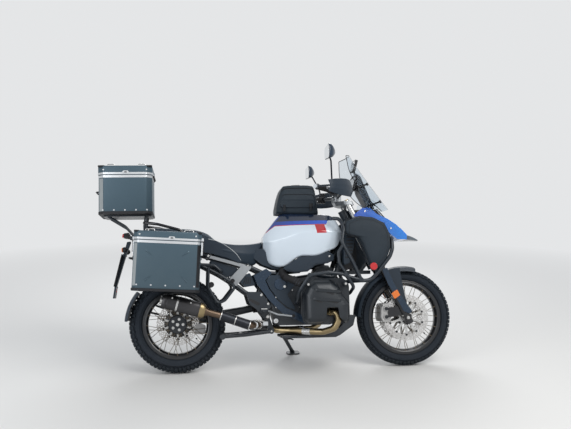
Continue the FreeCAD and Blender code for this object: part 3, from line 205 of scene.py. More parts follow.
class Form:
    """A mesh in the making, in upright millimetres, with a finish for each face."""

    def __init__(self) -> None:
        """Start with an empty mesh."""
        self.mesh = bmesh.new()
        self.finishes: list[str] = []
        self.sides: tuple[int, ...] = (1,)

    @contextmanager
    def both(self) -> Iterator[None]:
        """Add what is made meanwhile on the left side also on the right, mirrored."""
        self.sides = (1, -1)
        yield
        self.sides = (1,)

    def index(self, finish: str) -> int:
        """The material index of a finish."""
        if finish not in self.finishes:
            self.finishes.append(finish)
        return self.finishes.index(finish)

    def skin(self, rings: Sequence[Sequence[Point]], finish: str, closed: bool = False,
             ends: bool = True) -> "Form":
        """Add a skin through rings of points.

        Args:
            rings: loops with the same count of points.
            finish: the finish of its faces.
            closed: whether the last ring joins the first.
            ends: whether the first and last rings are filled.

        Returns:
            This form.
        """
        number = self.index(finish)
        faces = []
        for side in self.sides:
            rows = [[self.mesh.verts.new((p[0], side * p[1], p[2])) for p in ring] for ring in rings]
            pairs = list(zip(rows, rows[1:])) + ([(rows[-1], rows[0])] if closed else [])
            for near, far in pairs:
                for i in range(len(near)):
                    faces.append(self.mesh.faces.new((near[i - 1], near[i], far[i], far[i - 1])))
            if ends and not closed:
                faces += [self.mesh.faces.new(row) for row in (rows[0], rows[-1])]
        for face in faces:
            face.material_index = number
        return self

    def plate(self, outline: Outline, y0: float, y1: float, finish: str, corner: float = 0.0) -> "Form":
        """Add a side-view outline of (x, z) points, extruded from y0 to y1, its corners rounded."""
        loop = [Vector((x, y0, z)) for x, z in outline]
        loop = soft_loop(loop, corner, 4) if corner else loop
        return self.skin([loop, [Vector((p.x, y1, p.z)) for p in loop]], finish)

    def pair(self, outline: Outline, inner: float, outer: float, finish: str, corner: float = 4.0) -> None:
        """Add an outline on both sides, between two distances from the middle."""
        with self.both():
            self.plate(outline, inner, outer, finish, corner)

    def box(self, x: tuple[float, float], y: tuple[float, float], z: tuple[float, float], finish: str,
            radius: float = 0.0) -> "Form":
        """Add a block between two corners, its upright edges rounded."""
        loop = [Vector((a, b, z[0])) for a, b in ((x[0], y[0]), (x[1], y[0]), (x[1], y[1]), (x[0], y[1]))]
        loop = soft_loop(loop, radius, 3) if radius else loop
        return self.skin([loop, [Vector((p.x, p.y, z[1])) for p in loop]], finish)

    def tube(self, points: Sequence[Point], diameter: float, finish: str, bend: float = 60.0,
             sides: int = PIPE_SIDES) -> "Form":
        """Add a round tube along points, its turns bent to arcs."""
        path = bent_path(points, bend)
        ring = around(path[0], (path[1] - path[0]).normalized(), diameter / 2, sides)
        rings = [ring]
        for i in range(1, len(path)):
            along = (path[i] - path[i - 1]).normalized()
            normal = along
            if i < len(path) - 1:
                normal = (along + (path[i + 1] - path[i]).normalized()).normalized()
            ring = [p + along * ((path[i] - p).dot(normal) / along.dot(normal)) for p in ring]
            rings.append(ring)
        return self.skin(rings, finish)

    def rod(self, start: Point, end: Point, diameter: float, finish: str, sides: int = PIPE_SIDES) -> "Form":
        """Add a straight round bar."""
        return self.tube([start, end], diameter, finish, sides=sides)

    def drum(self, centre: Point, axis: Point, radius: float, half: float, finish: str, sides: int = 32,
             edge: float = 0.0) -> "Form":
        """Add a cylinder about its middle, its two edges rounded off."""
        middle, along = Vector(centre), Vector(axis).normalized()
        stations = [(-half, radius - edge), (-half + edge, radius), (half - edge, radius),
                    (half, radius - edge)]
        if not edge:
            stations = [(-half, radius), (half, radius)]
        return self.skin([around(middle + along * at, along, r, sides) for at, r in stations], finish)

    def turned(self, profile: Outline, centre: Point, finish: str, sides: int = 48, start: float = 0.0,
               end: float = 360.0, axis: Point = (0, 1, 0)) -> "Form":
        """Add a body turned about an axle from (along, radius) points, between two angles.

        Args:
            profile: a closed profile.
            centre: the axle's middle.
            finish: the finish of its faces.
            sides: straight lengths round it.
            start: first angle in degrees, from straight down towards the front.
            end: last angle.
            axis: the axle's direction.

        Returns:
            This form.
        """
        whole = end - start >= 360.0
        middle, along = Vector(centre), Vector(axis).normalized()
        down = -Z_AXIS if abs(along.z) < 0.9 else X_AXIS
        down = (down - along * down.dot(along)).normalized()
        rings = []
        for i in range(sides if whole else sides + 1):
            turn = Quaternion(along, -math.radians(start + (end - start) * i / sides))
            rings.append([middle + along * y + turn @ (down * r) for y, r in profile])
        return self.skin(rings, finish, whole)

    def ball(self, centre: Point, radius: float, finish: str, squash: float = 1.0, axis: Point = (0, 1, 0),
             sides: int = 16) -> "Form":
        """Add a ball, flattened along an axis."""
        middle, along = Vector(centre), Vector(axis).normalized()
        rings = []
        for k in range(1, 8):
            angle = math.pi * k / 8
            rings.append(around(middle - along * (radius * squash * math.cos(angle)), along,
                                radius * math.sin(angle), sides))
        return self.skin(rings, finish)

    def turn(self, pivot: Point, axis: Point, degrees: float) -> "Form":
        """Turn all that was added so far about a line."""
        matrix = Matrix.Rotation(math.radians(degrees), 3, Vector(axis))
        bmesh.ops.rotate(self.mesh, cent=Vector(pivot), matrix=matrix, verts=self.mesh.verts)
        return self

    def mesh_data(self, name: str, matrix: Matrix) -> bpy.types.Mesh:
        """The finished mesh, with normals outwards and its place in its vertices."""
        bmesh.ops.recalc_face_normals(self.mesh, faces=self.mesh.faces)
        data = bpy.data.meshes.new(name)
        self.mesh.to_mesh(data)
        self.mesh.free()
        data.transform(matrix)
        data.shade_smooth()
        data.set_sharp_from_angle(angle=SMOOTH_ANGLE)
        return data


def add_object(name: str, data: Any) -> bpy.types.Object:
    """A new object in the scene, with its data."""
    thing = bpy.data.objects.new(name, data)
    bpy.context.scene.collection.objects.link(thing)
    return thing


class Workshop:
    """Turns forms into pieces that ride on the frame, and repeats small parts by Geometry Nodes."""

    def __init__(self, stance: Stance) -> None:
        """Keep the stance, and make the finishes and the three trees once."""
        self.stance = stance
        self.finishes = make_finishes(stance)
        self.studs, self.wheel, self.stitch = studs_tree(), wheel_tree(), stitch_tree()

    def bare(self, form: Form, name: str) -> bpy.types.Object:
        """An object of a form with its materials, not yet riding."""
        data = form.mesh_data(name, self.stance.matrix)
        for finish in form.finishes:
            data.materials.append(self.finishes[finish])
        return add_object(name, data)

    def settle(self, piece: bpy.types.Object, node: str = "",
               body: str = CHASSIS) -> bpy.types.Object:
        """Make a finished piece ride on its body and stand for the node it replaces."""
        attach(piece, body)
        if node:
            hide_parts(node)
        LOG.info("%s: %d faces on %s", piece.name, len(piece.data.polygons), body)
        return piece

    def deliver(self, form: Form, name: str, slot: str, node: str = "", bevel: float = 0.0, segments: int = 2,
                body: str = CHASSIS) -> bpy.types.Object:
        """Finish a form as a piece.

        Args:
            form: the form, which is used up.
            name: the piece's name.
            slot: the record's material slot; not used.
            node: the node that it stands for, if any.
            bevel: width of its edge rounding in millimetres.
            segments: faces across each rounded edge.
            body: the body that it rides on.

        Returns:
            The piece.
        """
        piece = self.bare(form, name)
        if bevel:
            edge = piece.modifiers.new("edge", "BEVEL")
            edge.width = bevel * MM
            edge.segments = segments
            edge.limit_method = "ANGLE"
            edge.angle_limit = SMOOTH_ANGLE
            edge.harden_normals = True
        return self.settle(piece, node, body)

    def repeat(self, piece: bpy.types.Object, tree: bpy.types.NodeTree, finish: str,
               **values: Any) -> bpy.types.Object:
        """Run a Geometry Nodes tree on a piece and keep its result as a plain mesh.

        Args:
            piece: the object to start from, which is removed.
            tree: the tree.
            finish: the finish of what it makes.
            values: the tree's other inputs by name.

        Returns:
            A new object with the same name.
        """
        name = piece.name
        modifier = piece.modifiers.new("repeat", "NODES")
        modifier.node_group = tree
        values["Finish"] = self.finishes[finish]
        for item in tree.interface.items_tree:
            if item.item_type == "SOCKET" and item.in_out == "INPUT" and item.name in values:
                modifier[item.identifier] = values[item.name]
        depsgraph = bpy.context.evaluated_depsgraph_get()
        data = bpy.data.meshes.new_from_object(piece.evaluated_get(depsgraph))
        piece.name = name + "_source"
        result = add_object(name, data)
        data.name = name
        bpy.data.objects.remove(piece)
        data.set_sharp_from_angle(angle=SMOOTH_ANGLE)
        return result

    def points(self, name: str, places: Sequence[Point],
               edges: Sequence[tuple[int, int]] = ()) -> bpy.types.Object:
        """An object of points given upright, joined by edges or loose."""
        data = bpy.data.meshes.new(name)
        data.from_pydata([self.stance.matrix @ Vector(p) for p in places], list(edges), [])
        return add_object(name, data)

    def rivets(self, name: str, studs: Sequence[tuple[Point, Point]], radius: float, depth: float, slot: str,
               sides: int = 6, finish: str = "steel", body: str = CHASSIS) -> bpy.types.Object:
        """Small studs as one piece.

        Args:
            name: the piece's name.
            studs: the place and the aim of each.
            radius: their radius.
            depth: their length.
            slot: the record's material slot; not used.
            sides: 6 for bolt heads, more for rivets.
            finish: their finish.
            body: the body that they ride on.

        Returns:
            The piece.
        """
        piece = self.points(name, [place for place, _ in studs])
        turn = self.stance.matrix.to_3x3().normalized()
        attribute = piece.data.attributes.new("aim", "FLOAT_VECTOR", "POINT")
        attribute.data.foreach_set("vector", [c for _, aim in studs for c in turn @ Vector(aim).normalized()])
        piece = self.repeat(piece, self.studs, finish, Radius=radius * MM, Depth=depth * MM, Sides=sides)
        return self.settle(piece, body=body)

    def round_axle(self, form: Form, name: str, count: int, axle: Vector, finish: str) -> bpy.types.Object:
        """Copies of a form about a wheel's axle, as an object that doesn't ride yet."""
        matrix = self.stance.matrix
        axis = (matrix.to_3x3() @ Y_AXIS).normalized()
        return self.repeat(self.bare(form, name), self.wheel, finish, Count=count, Axle=tuple(matrix @ axle),
                           Axis=tuple(axis))

    def seam(self, name: str, path: Sequence[Point]) -> bpy.types.Object:
        """Stitches along a path, as one piece."""
        piece = self.points(name, path, [(i, i + 1) for i in range(len(path) - 1)])
        piece = self.repeat(piece, self.stitch, "piping", Pitch=7.0 * MM, Thread=0.9 * MM, Length=4.6 * MM)
        return self.settle(piece)


# Shader groups


def feed(tree: bpy.types.NodeTree, socket: Any, value: Any) -> None:
    """Link a socket to another one, or set its value, with an alpha for colours."""
    if isinstance(value, bpy.types.NodeSocket):
        tree.links.new(value, socket)
    else:
        socket.default_value = (*value, 1.0) if socket.type == "RGBA" else value


def add_node(tree: bpy.types.NodeTree, kind: str, inputs: Any = (), **settings: Any) -> Any:
    """Add a node with its settings.

    Args:
        tree: the tree.
        kind: the node's type.
        inputs: values or sockets for its inputs, in order or by name.
        settings: the node's attributes.

    Returns:
        The node.
    """
    node = tree.nodes.new(kind)
    for key, value in settings.items():
        setattr(node, key, value)
    for key, value in inputs.items() if isinstance(inputs, dict) else enumerate(inputs):
        feed(tree, node.inputs[key], value)
    return node


SOCKETS = {tuple: "NodeSocketVector", int: "NodeSocketInt", float: "NodeSocketFloat"}


def start_tree(name: str, inputs: dict[str, Any], outputs: Sequence[str]) -> tuple[Any, Any, Any]:
    """Start a shader group, or a Geometry Nodes tree where its one output is a geometry.

    Args:
        name: the tree's name.
        inputs: a default value, or else a socket type, by socket name.
        outputs: the names of its outputs.

    Returns:
        The tree, the outputs of its input node and the inputs of its output node.
    """
    geometry = outputs == ["Geometry"]
    tree = bpy.data.node_groups.new(name, "GeometryNodeTree" if geometry else "ShaderNodeTree")
    for label, value in inputs.items():
        typed = isinstance(value, str)
        kind = value if typed else SOCKETS[type(value)]
        socket = tree.interface.new_socket(label, in_out="INPUT", socket_type=kind)
        if not typed:
            socket.default_value = value
    for label in outputs:
        kind = "NodeSocketGeometry" if geometry else "NodeSocketFloat"
        tree.interface.new_socket(label, in_out="OUTPUT", socket_type=kind)
    return tree, tree.nodes.new("NodeGroupInput").outputs, tree.nodes.new("NodeGroupOutput").inputs


def maths(tree: bpy.types.NodeTree, operation: str, *values: Any, clamp: bool = False) -> Any:
    """A Math node's output, fed by sockets or numbers."""
    return add_node(tree, "ShaderNodeMath", values, operation=operation, use_clamp=clamp).outputs[0]


def blend_colour(tree: bpy.types.NodeTree, factor: Any, first: Any, second: Any) -> Any:
    """A mix of two colours, each a socket or a colour."""
    inputs = {0: factor, 6: first, 7: second}
    return add_node(tree, "ShaderNodeMix", inputs, data_type="RGBA").outputs[2]


def noise(tree: bpy.types.NodeTree, vector: Any, scale: Any, detail: float, rough: float) -> Any:
    """A noise texture's value."""
    inputs = {"Vector": vector, "Scale": scale, "Detail": detail, "Roughness": rough}
    return add_node(tree, "ShaderNodeTexNoise", inputs).outputs["Fac"]


def grain_group() -> bpy.types.NodeTree:
    """Fine moulded or cast grain, with a slow change of tone across a panel."""
    group, entry, leave = start_tree("surface grain", {"Vector": (0, 0, 0), "Scale": 900.0},
                                     ["Height", "Tone"])
    feed(group, leave["Height"], noise(group, entry["Vector"], entry["Scale"], 3.0, 0.6))
    feed(group, leave["Tone"], noise(group, entry["Vector"], 7.0, 3.0, 0.5))
    return group


def dust_group() -> bpy.types.NodeTree:
    """Road dust that thins out with height above the ground and gathers in patches."""
    group, entry, leave = start_tree("road dust", {"Vector": (0, 0, 0), "Reach": 0.6, "Amount": 0.3},
                                     ["Dust"])
    parts = add_node(group, "ShaderNodeSeparateXYZ", [entry["Vector"]]).outputs
    low = maths(group, "SUBTRACT", 1.0, maths(group, "DIVIDE", parts["Z"], entry["Reach"]), clamp=True)
    patches = maths(group, "MULTIPLY", noise(group, entry["Vector"], 14.0, 6.0, 0.65), 1.5)
    dust = maths(group, "MULTIPLY", low, patches)
    feed(group, leave["Dust"], maths(group, "MULTIPLY", dust, entry["Amount"], clamp=True))
    return group


def weave_group() -> bpy.types.NodeTree:
    """A plain weave of coated threads."""
    group, entry, leave = start_tree("coated weave", {"Vector": (0, 0, 0), "Scale": 420.0}, ["Height"])
    inputs = {"Vector": entry["Vector"], "Scale": entry["Scale"], "Distortion": 0.6}
    bands = [add_node(group, "ShaderNodeTexWave", inputs, bands_direction=way).outputs["Fac"] for way in "XZ"]
    feed(group, leave["Height"], maths(group, "MULTIPLY", *bands))
    return group


def brushed_group() -> bpy.types.NodeTree:
    """Fine brush lines along one direction, by squeezing noise with the Stretch vector."""
    group, entry, leave = start_tree("brush lines", {"Vector": (0, 0, 0), "Stretch": (12, 12, 900)},
                                     ["Height"])
    squeezed = add_node(group, "ShaderNodeVectorMath", [entry["Vector"], entry["Stretch"]],
                        operation="MULTIPLY")
    feed(group, leave["Height"], noise(group, squeezed.outputs[0], 1.0, 3.0, 0.6))
    return group


class Texture(Enum):
    """What gives a finish its relief."""

    GRAIN = "surface grain"
    WEAVE = "coated weave"
    BRUSHED = "brush lines"


GROUPS: dict[str, bpy.types.NodeTree] = {}
DUST_COLOUR = (0.20, 0.19, 0.175)
BUMP_DEPTH = 0.0004
TONE_SCALE = 60.0
COAT_ROUGH = 0.06


@dataclass(frozen=True)
class Finish:
    """One surface finish of the machine."""

    name: str
    colour: Colour
    rough: float = 0.5
    metallic: float = 0.0
    relief: float = 0.05
    scale: float = 900.0
    texture: Texture = Texture.GRAIN
    stretch: tuple[float, float, float] = (12.0, 12.0, 900.0)
    tone: float = 0.25
    dust: float = 0.15
    reach: float = 0.6
    coat: float = 0.0
    specular: float = 0.5
    sheen: float = 0.0

    def paint(self, _tree: bpy.types.NodeTree, _vector: Any) -> Any:
        """The colour before tone and dust, which a patterned paint lays out in the tree by the vector."""
        return self.colour

    def build(self) -> bpy.types.Material:
        """Make the material.

        Returns:
            A material with a Principled shader whose colour, roughness and bump vary over the surface.
        """
        material = bpy.data.materials.new(self.name)
        material.use_nodes = True
        tree = material.node_tree
        place = tree.nodes.new("ShaderNodeTexCoord").outputs["Object"]
        size = {"Stretch": self.stretch} if self.texture is Texture.BRUSHED else {"Scale": self.scale}
        outputs = []
        for name, inputs in ((self.texture.value, size), ("surface grain", {"Scale": TONE_SCALE}),
                             ("road dust", {"Reach": self.reach, "Amount": self.dust})):
            outputs.append(add_node(tree, "ShaderNodeGroup", {"Vector": place, **inputs},
                                    node_tree=GROUPS[name]).outputs)
        relief, grain, dust = outputs
        base = self.paint(tree, place)
        darker = blend_colour(tree, self.tone, base, (0.0, 0.0, 0.0))
        toned = blend_colour(tree, grain["Tone"], darker, base)
        spread = maths(tree, "MULTIPLY_ADD", grain["Height"], 0.16, self.rough - 0.08)
        bump = add_node(tree, "ShaderNodeBump", {"Strength": self.relief, "Distance": BUMP_DEPTH,
                                                 "Height": relief["Height"]})
        values = {"Base Color": blend_colour(tree, dust["Dust"], toned, DUST_COLOUR),
                  "Roughness": maths(tree, "MULTIPLY_ADD", dust["Dust"], 0.4, spread, clamp=True),
                  "Normal": bump.outputs["Normal"], "Metallic": self.metallic,
                  "Specular IOR Level": self.specular, "Coat Weight": self.coat, "Coat Roughness": COAT_ROUGH,
                  "Sheen Weight": self.sheen}
        for key, value in values.items():
            feed(tree, tree.nodes["Principled BSDF"].inputs[key], value)
        return material


@dataclass(frozen=True)
class Upright(Finish):
    """Paint whose pattern is laid out upright, in millimetres."""

    shift: Point = (0.0, 0.0, 0.0)

    def places(self, tree: bpy.types.NodeTree, vector: Any) -> Any:
        """X, Y and Z outputs in upright millimetres."""
        inputs = {"Vector": vector, "Location": self.shift, "Rotation": (-LEAN, 0, 0), "Scale": (MM, MM, MM)}
        mapping = add_node(tree, "ShaderNodeMapping", inputs, vector_type="TEXTURE")
        return add_node(tree, "ShaderNodeSeparateXYZ", [mapping.outputs["Vector"]]).outputs


@dataclass(frozen=True)
class TankPaint(Upright):
    """White paint with a blue flash, a red line, a red block and a dark upper edge."""

    deep_blue: Colour = (0.006, 0.035, 0.22)
    royal_blue: Colour = (0.0, 0.085, 0.62)
    red: Colour = (0.42, 0.012, 0.02)
    dark: Colour = (0.009, 0.018, 0.042)

    def paint(self, tree: bpy.types.NodeTree, vector: Any) -> Any:
        """Lay the bands over the white by their upright heights and places."""
        def do(operation: str, *values: Any, clamp: bool = False) -> Any:
            return maths(tree, operation, *values, clamp=clamp)

        x, _, z = self.places(tree, vector)
        slant = do("MULTIPLY_ADD", do("MAXIMUM", do("SUBTRACT", 651.0, x), 0.0), 0.72, z)
        share = do("DIVIDE", do("SUBTRACT", x, 650.0), 330.0, clamp=True)
        blue = blend_colour(tree, share, self.deep_blue, self.royal_blue)
        before_end = do("LESS_THAN", x, do("MULTIPLY_ADD", z, 0.55, 459.0))
        flash = do("MULTIPLY", do("GREATER_THAN", slant, 958.0), before_end)
        colour = blend_colour(tree, flash, self.colour, blue)
        past = do("GREATER_THAN", do("SUBTRACT", x, do("MULTIPLY", z, 0.7)), -30.0)
        ahead = do("LESS_THAN", x, do("MULTIPLY_ADD", z, 0.5, 540.0))
        upper = do("MULTIPLY", do("MULTIPLY", do("GREATER_THAN", z, 984.0), past), ahead)
        colour = blend_colour(tree, upper, colour, self.dark)
        line = do("LESS_THAN", do("ABSOLUTE", do("SUBTRACT", slant, 956.0)), 2.2)
        colour = blend_colour(tree, do("MULTIPLY", line, before_end), colour, self.red)
        lean = do("MULTIPLY_ADD", z, 0.14, do("SUBTRACT", x, 1072.0))
        inside_x = do("LESS_THAN", do("ABSOLUTE", lean), 32.0)
        inside_z = do("LESS_THAN", do("ABSOLUTE", do("SUBTRACT", z, 926.0)), 30.0)
        return blend_colour(tree, do("MULTIPLY", inside_x, inside_z), colour, self.red)


@dataclass(frozen=True)
class FadePaint(Upright):
    """Two blues that run into each other along the machine."""

    second: Colour = (0.0, 0.1, 0.75)
    start: float = 1180.0
    run: float = 320.0

    def paint(self, tree: bpy.types.NodeTree, vector: Any) -> Any:
        """Fade from the first blue to the second along X."""
        ahead = maths(tree, "SUBTRACT", self.places(tree, vector)["X"], self.start)
        return blend_colour(tree, maths(tree, "DIVIDE", ahead, self.run, clamp=True), self.colour,
                            self.second)


@dataclass(frozen=True)
class Glass:
    """Clear moulded glass."""

    name: str
    colour: Colour
    ior: float
    rough: float = 0.02

    def build(self) -> bpy.types.Material:
        """Make the material, with faint smears in its roughness."""
        material = bpy.data.materials.new(self.name)
        material.use_nodes = True
        tree = material.node_tree
        smears = noise(tree, tree.nodes.new("ShaderNodeTexCoord").outputs["Object"], 22.0, 5.0, 0.6)
        tint = blend_colour(tree, smears, tuple(0.9 * c for c in self.colour), self.colour)
        values = {"Roughness": maths(tree, "MULTIPLY_ADD", smears, 0.08, self.rough), "Base Color": tint,
                  "Transmission Weight": 1.0, "IOR": self.ior}
        for key, value in values.items():
            feed(tree, tree.nodes["Principled BSDF"].inputs[key], value)
        return material


def make_finishes(stance: Stance) -> dict[str, bpy.types.Material]:
    """Every material of the machine by its short name.

    Args:
        stance: where the machine stands, for patterns laid out upright.

    Returns:
        The materials.
    """
    for group in (grain_group(), dust_group(), weave_group(), brushed_group()):
        GROUPS[group.name] = group
    shift = tuple(stance.matrix.translation)
    table = {
        "rubber": Finish("tyre rubber", (0.009, 0.015, 0.024), 0.8, relief=0.35, scale=700, dust=0.05,
                         reach=0.9, specular=0.28),
        "knob": Finish("tyre knobs", (0.010, 0.017, 0.026), 0.84, relief=0.4, scale=500, dust=0.08, reach=0.9,
                       specular=0.28),
        "rim": Finish("black rim", (0.008, 0.010, 0.014), 0.32, 0.35, relief=0.05, dust=0.1, coat=0.3),
        "spoke": Finish("dark spokes", (0.20, 0.165, 0.12), 0.33, 0.9, relief=0.02, dust=0.1),
        "disc": Finish("ground disc", (0.62, 0.61, 0.60), 0.3, 1.0, relief=0.12, texture=Texture.BRUSHED,
                       stretch=(500, 10, 500), tone=0.12, dust=0.05),
        "steel": Finish("bright steel", (0.62, 0.62, 0.61), 0.26, 1.0, relief=0.04, tone=0.15, dust=0.1),
        "hub": Finish("hub", (0.02, 0.024, 0.03), 0.4, 0.5, relief=0.08, dust=0.12),
        "caliper": Finish("caliper", (0.42, 0.42, 0.42), 0.4, 0.85, relief=0.12, scale=500, dust=0.25),
        "fork": Finish("black tube", (0.02, 0.021, 0.025), 0.22, 0.6, relief=0.03, dust=0.15, coat=0.4),
        "frame": Finish("frame coat", (0.011, 0.018, 0.027), 0.38, 0.25, relief=0.1, dust=0.15, coat=0.15),
        "silver_tube": Finish("silver tube", (0.36, 0.38, 0.40), 0.38, 0.7, relief=0.06, dust=0.2),
        "plastic": Finish("dark panel", (0.016, 0.028, 0.044), 0.42, relief=0.2, scale=1400, dust=0.08,
                          specular=0.3),
        "gloss_plastic": Finish("smooth dark panel", (0.014, 0.032, 0.060), 0.26, relief=0.03, dust=0.05,
                                coat=0.3, specular=0.3),
        "cast": Finish("cast engine", (0.018, 0.023, 0.030), 0.46, 0.35, relief=0.45, scale=420, dust=0.2),
        "cover": Finish("valve cover", (0.013, 0.018, 0.024), 0.38, 0.3, relief=0.2, scale=520, dust=0.08,
                        coat=0.1),
        "fin": Finish("machined fins", (0.085, 0.09, 0.098), 0.4, 0.8, relief=0.2, dust=0.2),
        "grey": Finish("grey paint", (0.075, 0.105, 0.135), 0.3, 0.2, relief=0.03, dust=0.1, coat=0.5),
        "tank": TankPaint("tank paint", (0.60, 0.68, 0.76), 0.22, relief=0.02, tone=0.05, dust=0.05, coat=0.7,
                          shift=shift),
        "blue": FadePaint("blue paint", (0.002, 0.06, 0.42), 0.22, relief=0.02, tone=0.1, dust=0.05, coat=0.8,
                          second=(0.0, 0.19, 0.68), shift=shift),
        "case": Finish("slate sheet", (0.050, 0.088, 0.116), 0.44, 0.35, relief=0.1, texture=Texture.BRUSHED,
                       stretch=(14, 14, 420), tone=0.12, dust=0.18, reach=1.0),
        # Painted highlight: a lighter copy of the case sheet, laid on the cases' rear cut corners where the
        # light falls on them.
        "case_edge": Finish("light sheet edge", (0.36, 0.39, 0.40), 0.42, 0.5, relief=0.08, dust=0.1),
        "strip": Finish("aluminium strip", (0.62, 0.64, 0.66), 0.36, 0.85, relief=0.12,
                        texture=Texture.BRUSHED, stretch=(20, 20, 900), tone=0.12, dust=0.15),
        "black": Finish("black plastic", (0.012, 0.013, 0.016), 0.55, relief=0.3, scale=1100, dust=0.2,
                        specular=0.32),
        "rubber_part": Finish("rubber parts", (0.014, 0.014, 0.016), 0.75, relief=0.2, scale=900, dust=0.2,
                              specular=0.32),
        "can": Finish("silencer sheet", (0.056, 0.056, 0.060), 0.36, 0.75, relief=0.12,
                      texture=Texture.BRUSHED, stretch=(25, 700, 700), tone=0.2, dust=0.25),
        "shield": Finish("heat shield", (0.035, 0.042, 0.055), 0.3, 0.6, relief=0.05, dust=0.12, coat=0.2),
        "gold": Finish("gold heat tint", (0.40, 0.31, 0.17), 0.3, 0.95, relief=0.06, tone=0.4, dust=0.12),
        "copper": Finish("brown heat tint", (0.17, 0.12, 0.085), 0.32, 0.95, relief=0.06, tone=0.4,
                         dust=0.12),
        "sleeve": Finish("dark sleeve", (0.018, 0.022, 0.030), 0.34, 0.7, relief=0.05, dust=0.12),
        "vinyl": Finish("seat vinyl", (0.014, 0.028, 0.046), 0.5, relief=0.5, scale=650, dust=0.04, reach=1.3,
                        sheen=0.05, specular=0.32),
        "piping": Finish("light piping", (0.5, 0.53, 0.55), 0.5, relief=0.1, dust=0.1),
        "fabric": Finish("coated fabric", (0.010, 0.020, 0.031), 0.6, relief=0.5, scale=380, tone=0.3,
                         texture=Texture.WEAVE, dust=0.05, reach=1.2, sheen=0.03, specular=0.32),
        "webbing": Finish("webbing", (0.012, 0.014, 0.018), 0.75, relief=0.6, scale=300,
                          texture=Texture.WEAVE, dust=0.15, specular=0.32),
        "grip": Finish("grip rubber", (0.014, 0.014, 0.016), 0.8, relief=0.4, scale=600, dust=0.1),
        "plate": Finish("bare plate", (0.62, 0.64, 0.66), 0.45, relief=0.03, tone=0.06, dust=0.25),
        "reflector": Finish("lamp bowl", (0.6, 0.62, 0.65), 0.18, 0.9, relief=0.02, tone=0.1, dust=0.05),
        "amber": Finish("amber lens", (0.75, 0.17, 0.012), 0.2, relief=0.15, scale=500, tone=0.15, dust=0.1,
                        coat=0.6),
        "red_lens": Finish("red lens", (0.5, 0.008, 0.012), 0.2, relief=0.15, scale=500, tone=0.15, dust=0.1,
                           coat=0.6),
        "screen_face": Finish("dark display", (0.006, 0.007, 0.009), 0.12, relief=0.01, tone=0.1, dust=0.05,
                              coat=0.8),
        "mirror": Finish("mirror glass", (0.75, 0.78, 0.80), 0.06, 1.0, relief=0.01, tone=0.05, dust=0.03),
        "clear": Glass("clear screen", (0.86, 0.91, 0.95), 1.12),
        "lamp": Glass("lamp glass", (0.93, 0.95, 0.97), 1.3),
    }
    return {name: finish.build() for name, finish in table.items()}


# Geometry Nodes


def repeat_tree(name: str, **inputs: Any) -> tuple[Any, Any, Any]:
    """Start a Geometry Nodes tree with a geometry and a finish before its other inputs."""
    first = {"Geometry": "NodeSocketGeometry", "Finish": "NodeSocketMaterial"}
    return start_tree(name, {**first, **inputs}, ["Geometry"])


def copies_on(tree: bpy.types.NodeTree, points: Any, thing: Any, turn: Any) -> Any:
    """Copies of a mesh on points, each with its turn."""
    inputs = {"Points": points, "Instance": thing, "Rotation": turn.outputs["Rotation"]}
    return add_node(tree, "GeometryNodeInstanceOnPoints", inputs).outputs["Instances"]


def end_tree(tree: bpy.types.NodeTree, entry: Any, leave: Any, instances: Any) -> bpy.types.NodeTree:
    """Realize the instances, give them the finish and put them out."""
    real = add_node(tree, "GeometryNodeRealizeInstances", {"Geometry": instances}).outputs["Geometry"]
    paint = add_node(tree, "GeometryNodeSetMaterial", {"Geometry": real, "Material": entry["Finish"]})
    feed(tree, leave["Geometry"], paint.outputs["Geometry"])
    return tree


def studs_tree() -> bpy.types.NodeTree:
    """A short cylinder on every point, along the point's aim: rivets and bolts."""
    tree, entry, leave = repeat_tree("studs", Radius=0.004, Depth=0.003, Sides=12)
    stud = add_node(tree, "GeometryNodeMeshCylinder",
                    {"Radius": entry["Radius"], "Depth": entry["Depth"], "Vertices": entry["Sides"]})
    aim = add_node(tree, "GeometryNodeInputNamedAttribute", {"Name": "aim"}, data_type="FLOAT_VECTOR")
    turn = add_node(tree, "FunctionNodeAlignRotationToVector", {"Vector": aim.outputs["Attribute"]}, axis="Z")
    return end_tree(tree, entry, leave, copies_on(tree, entry["Geometry"], stud.outputs["Mesh"], turn))


def wheel_tree() -> bpy.types.NodeTree:
    """Copies of one cell around an axle: tread rows, spokes, hub bolts and disc cells."""
    tree, entry, leave = repeat_tree("around the axle", Count=20, Axle=(0, 0, 0), Axis=(0, 1, 0))
    line = add_node(tree, "GeometryNodeMeshLine", {"Count": entry["Count"], "Offset": (0, 0, 0)})
    away = add_node(tree, "ShaderNodeVectorMath", {0: entry["Axle"], "Scale": -1.0}, operation="SCALE")
    cell = add_node(tree, "GeometryNodeTransform", {"Geometry": entry["Geometry"],
                                                    "Translation": away.outputs[0]})
    share = maths(tree, "DIVIDE", tree.nodes.new("GeometryNodeInputIndex").outputs[0], entry["Count"])
    angle = maths(tree, "MULTIPLY", share, 2 * math.pi)
    turn = add_node(tree, "FunctionNodeAxisAngleToRotation", {"Axis": entry["Axis"], "Angle": angle})
    copies = copies_on(tree, line.outputs["Mesh"], cell.outputs["Geometry"], turn)
    back = add_node(tree, "GeometryNodeTransform", {"Geometry": copies, "Translation": entry["Axle"]})
    return end_tree(tree, entry, leave, back.outputs["Geometry"])


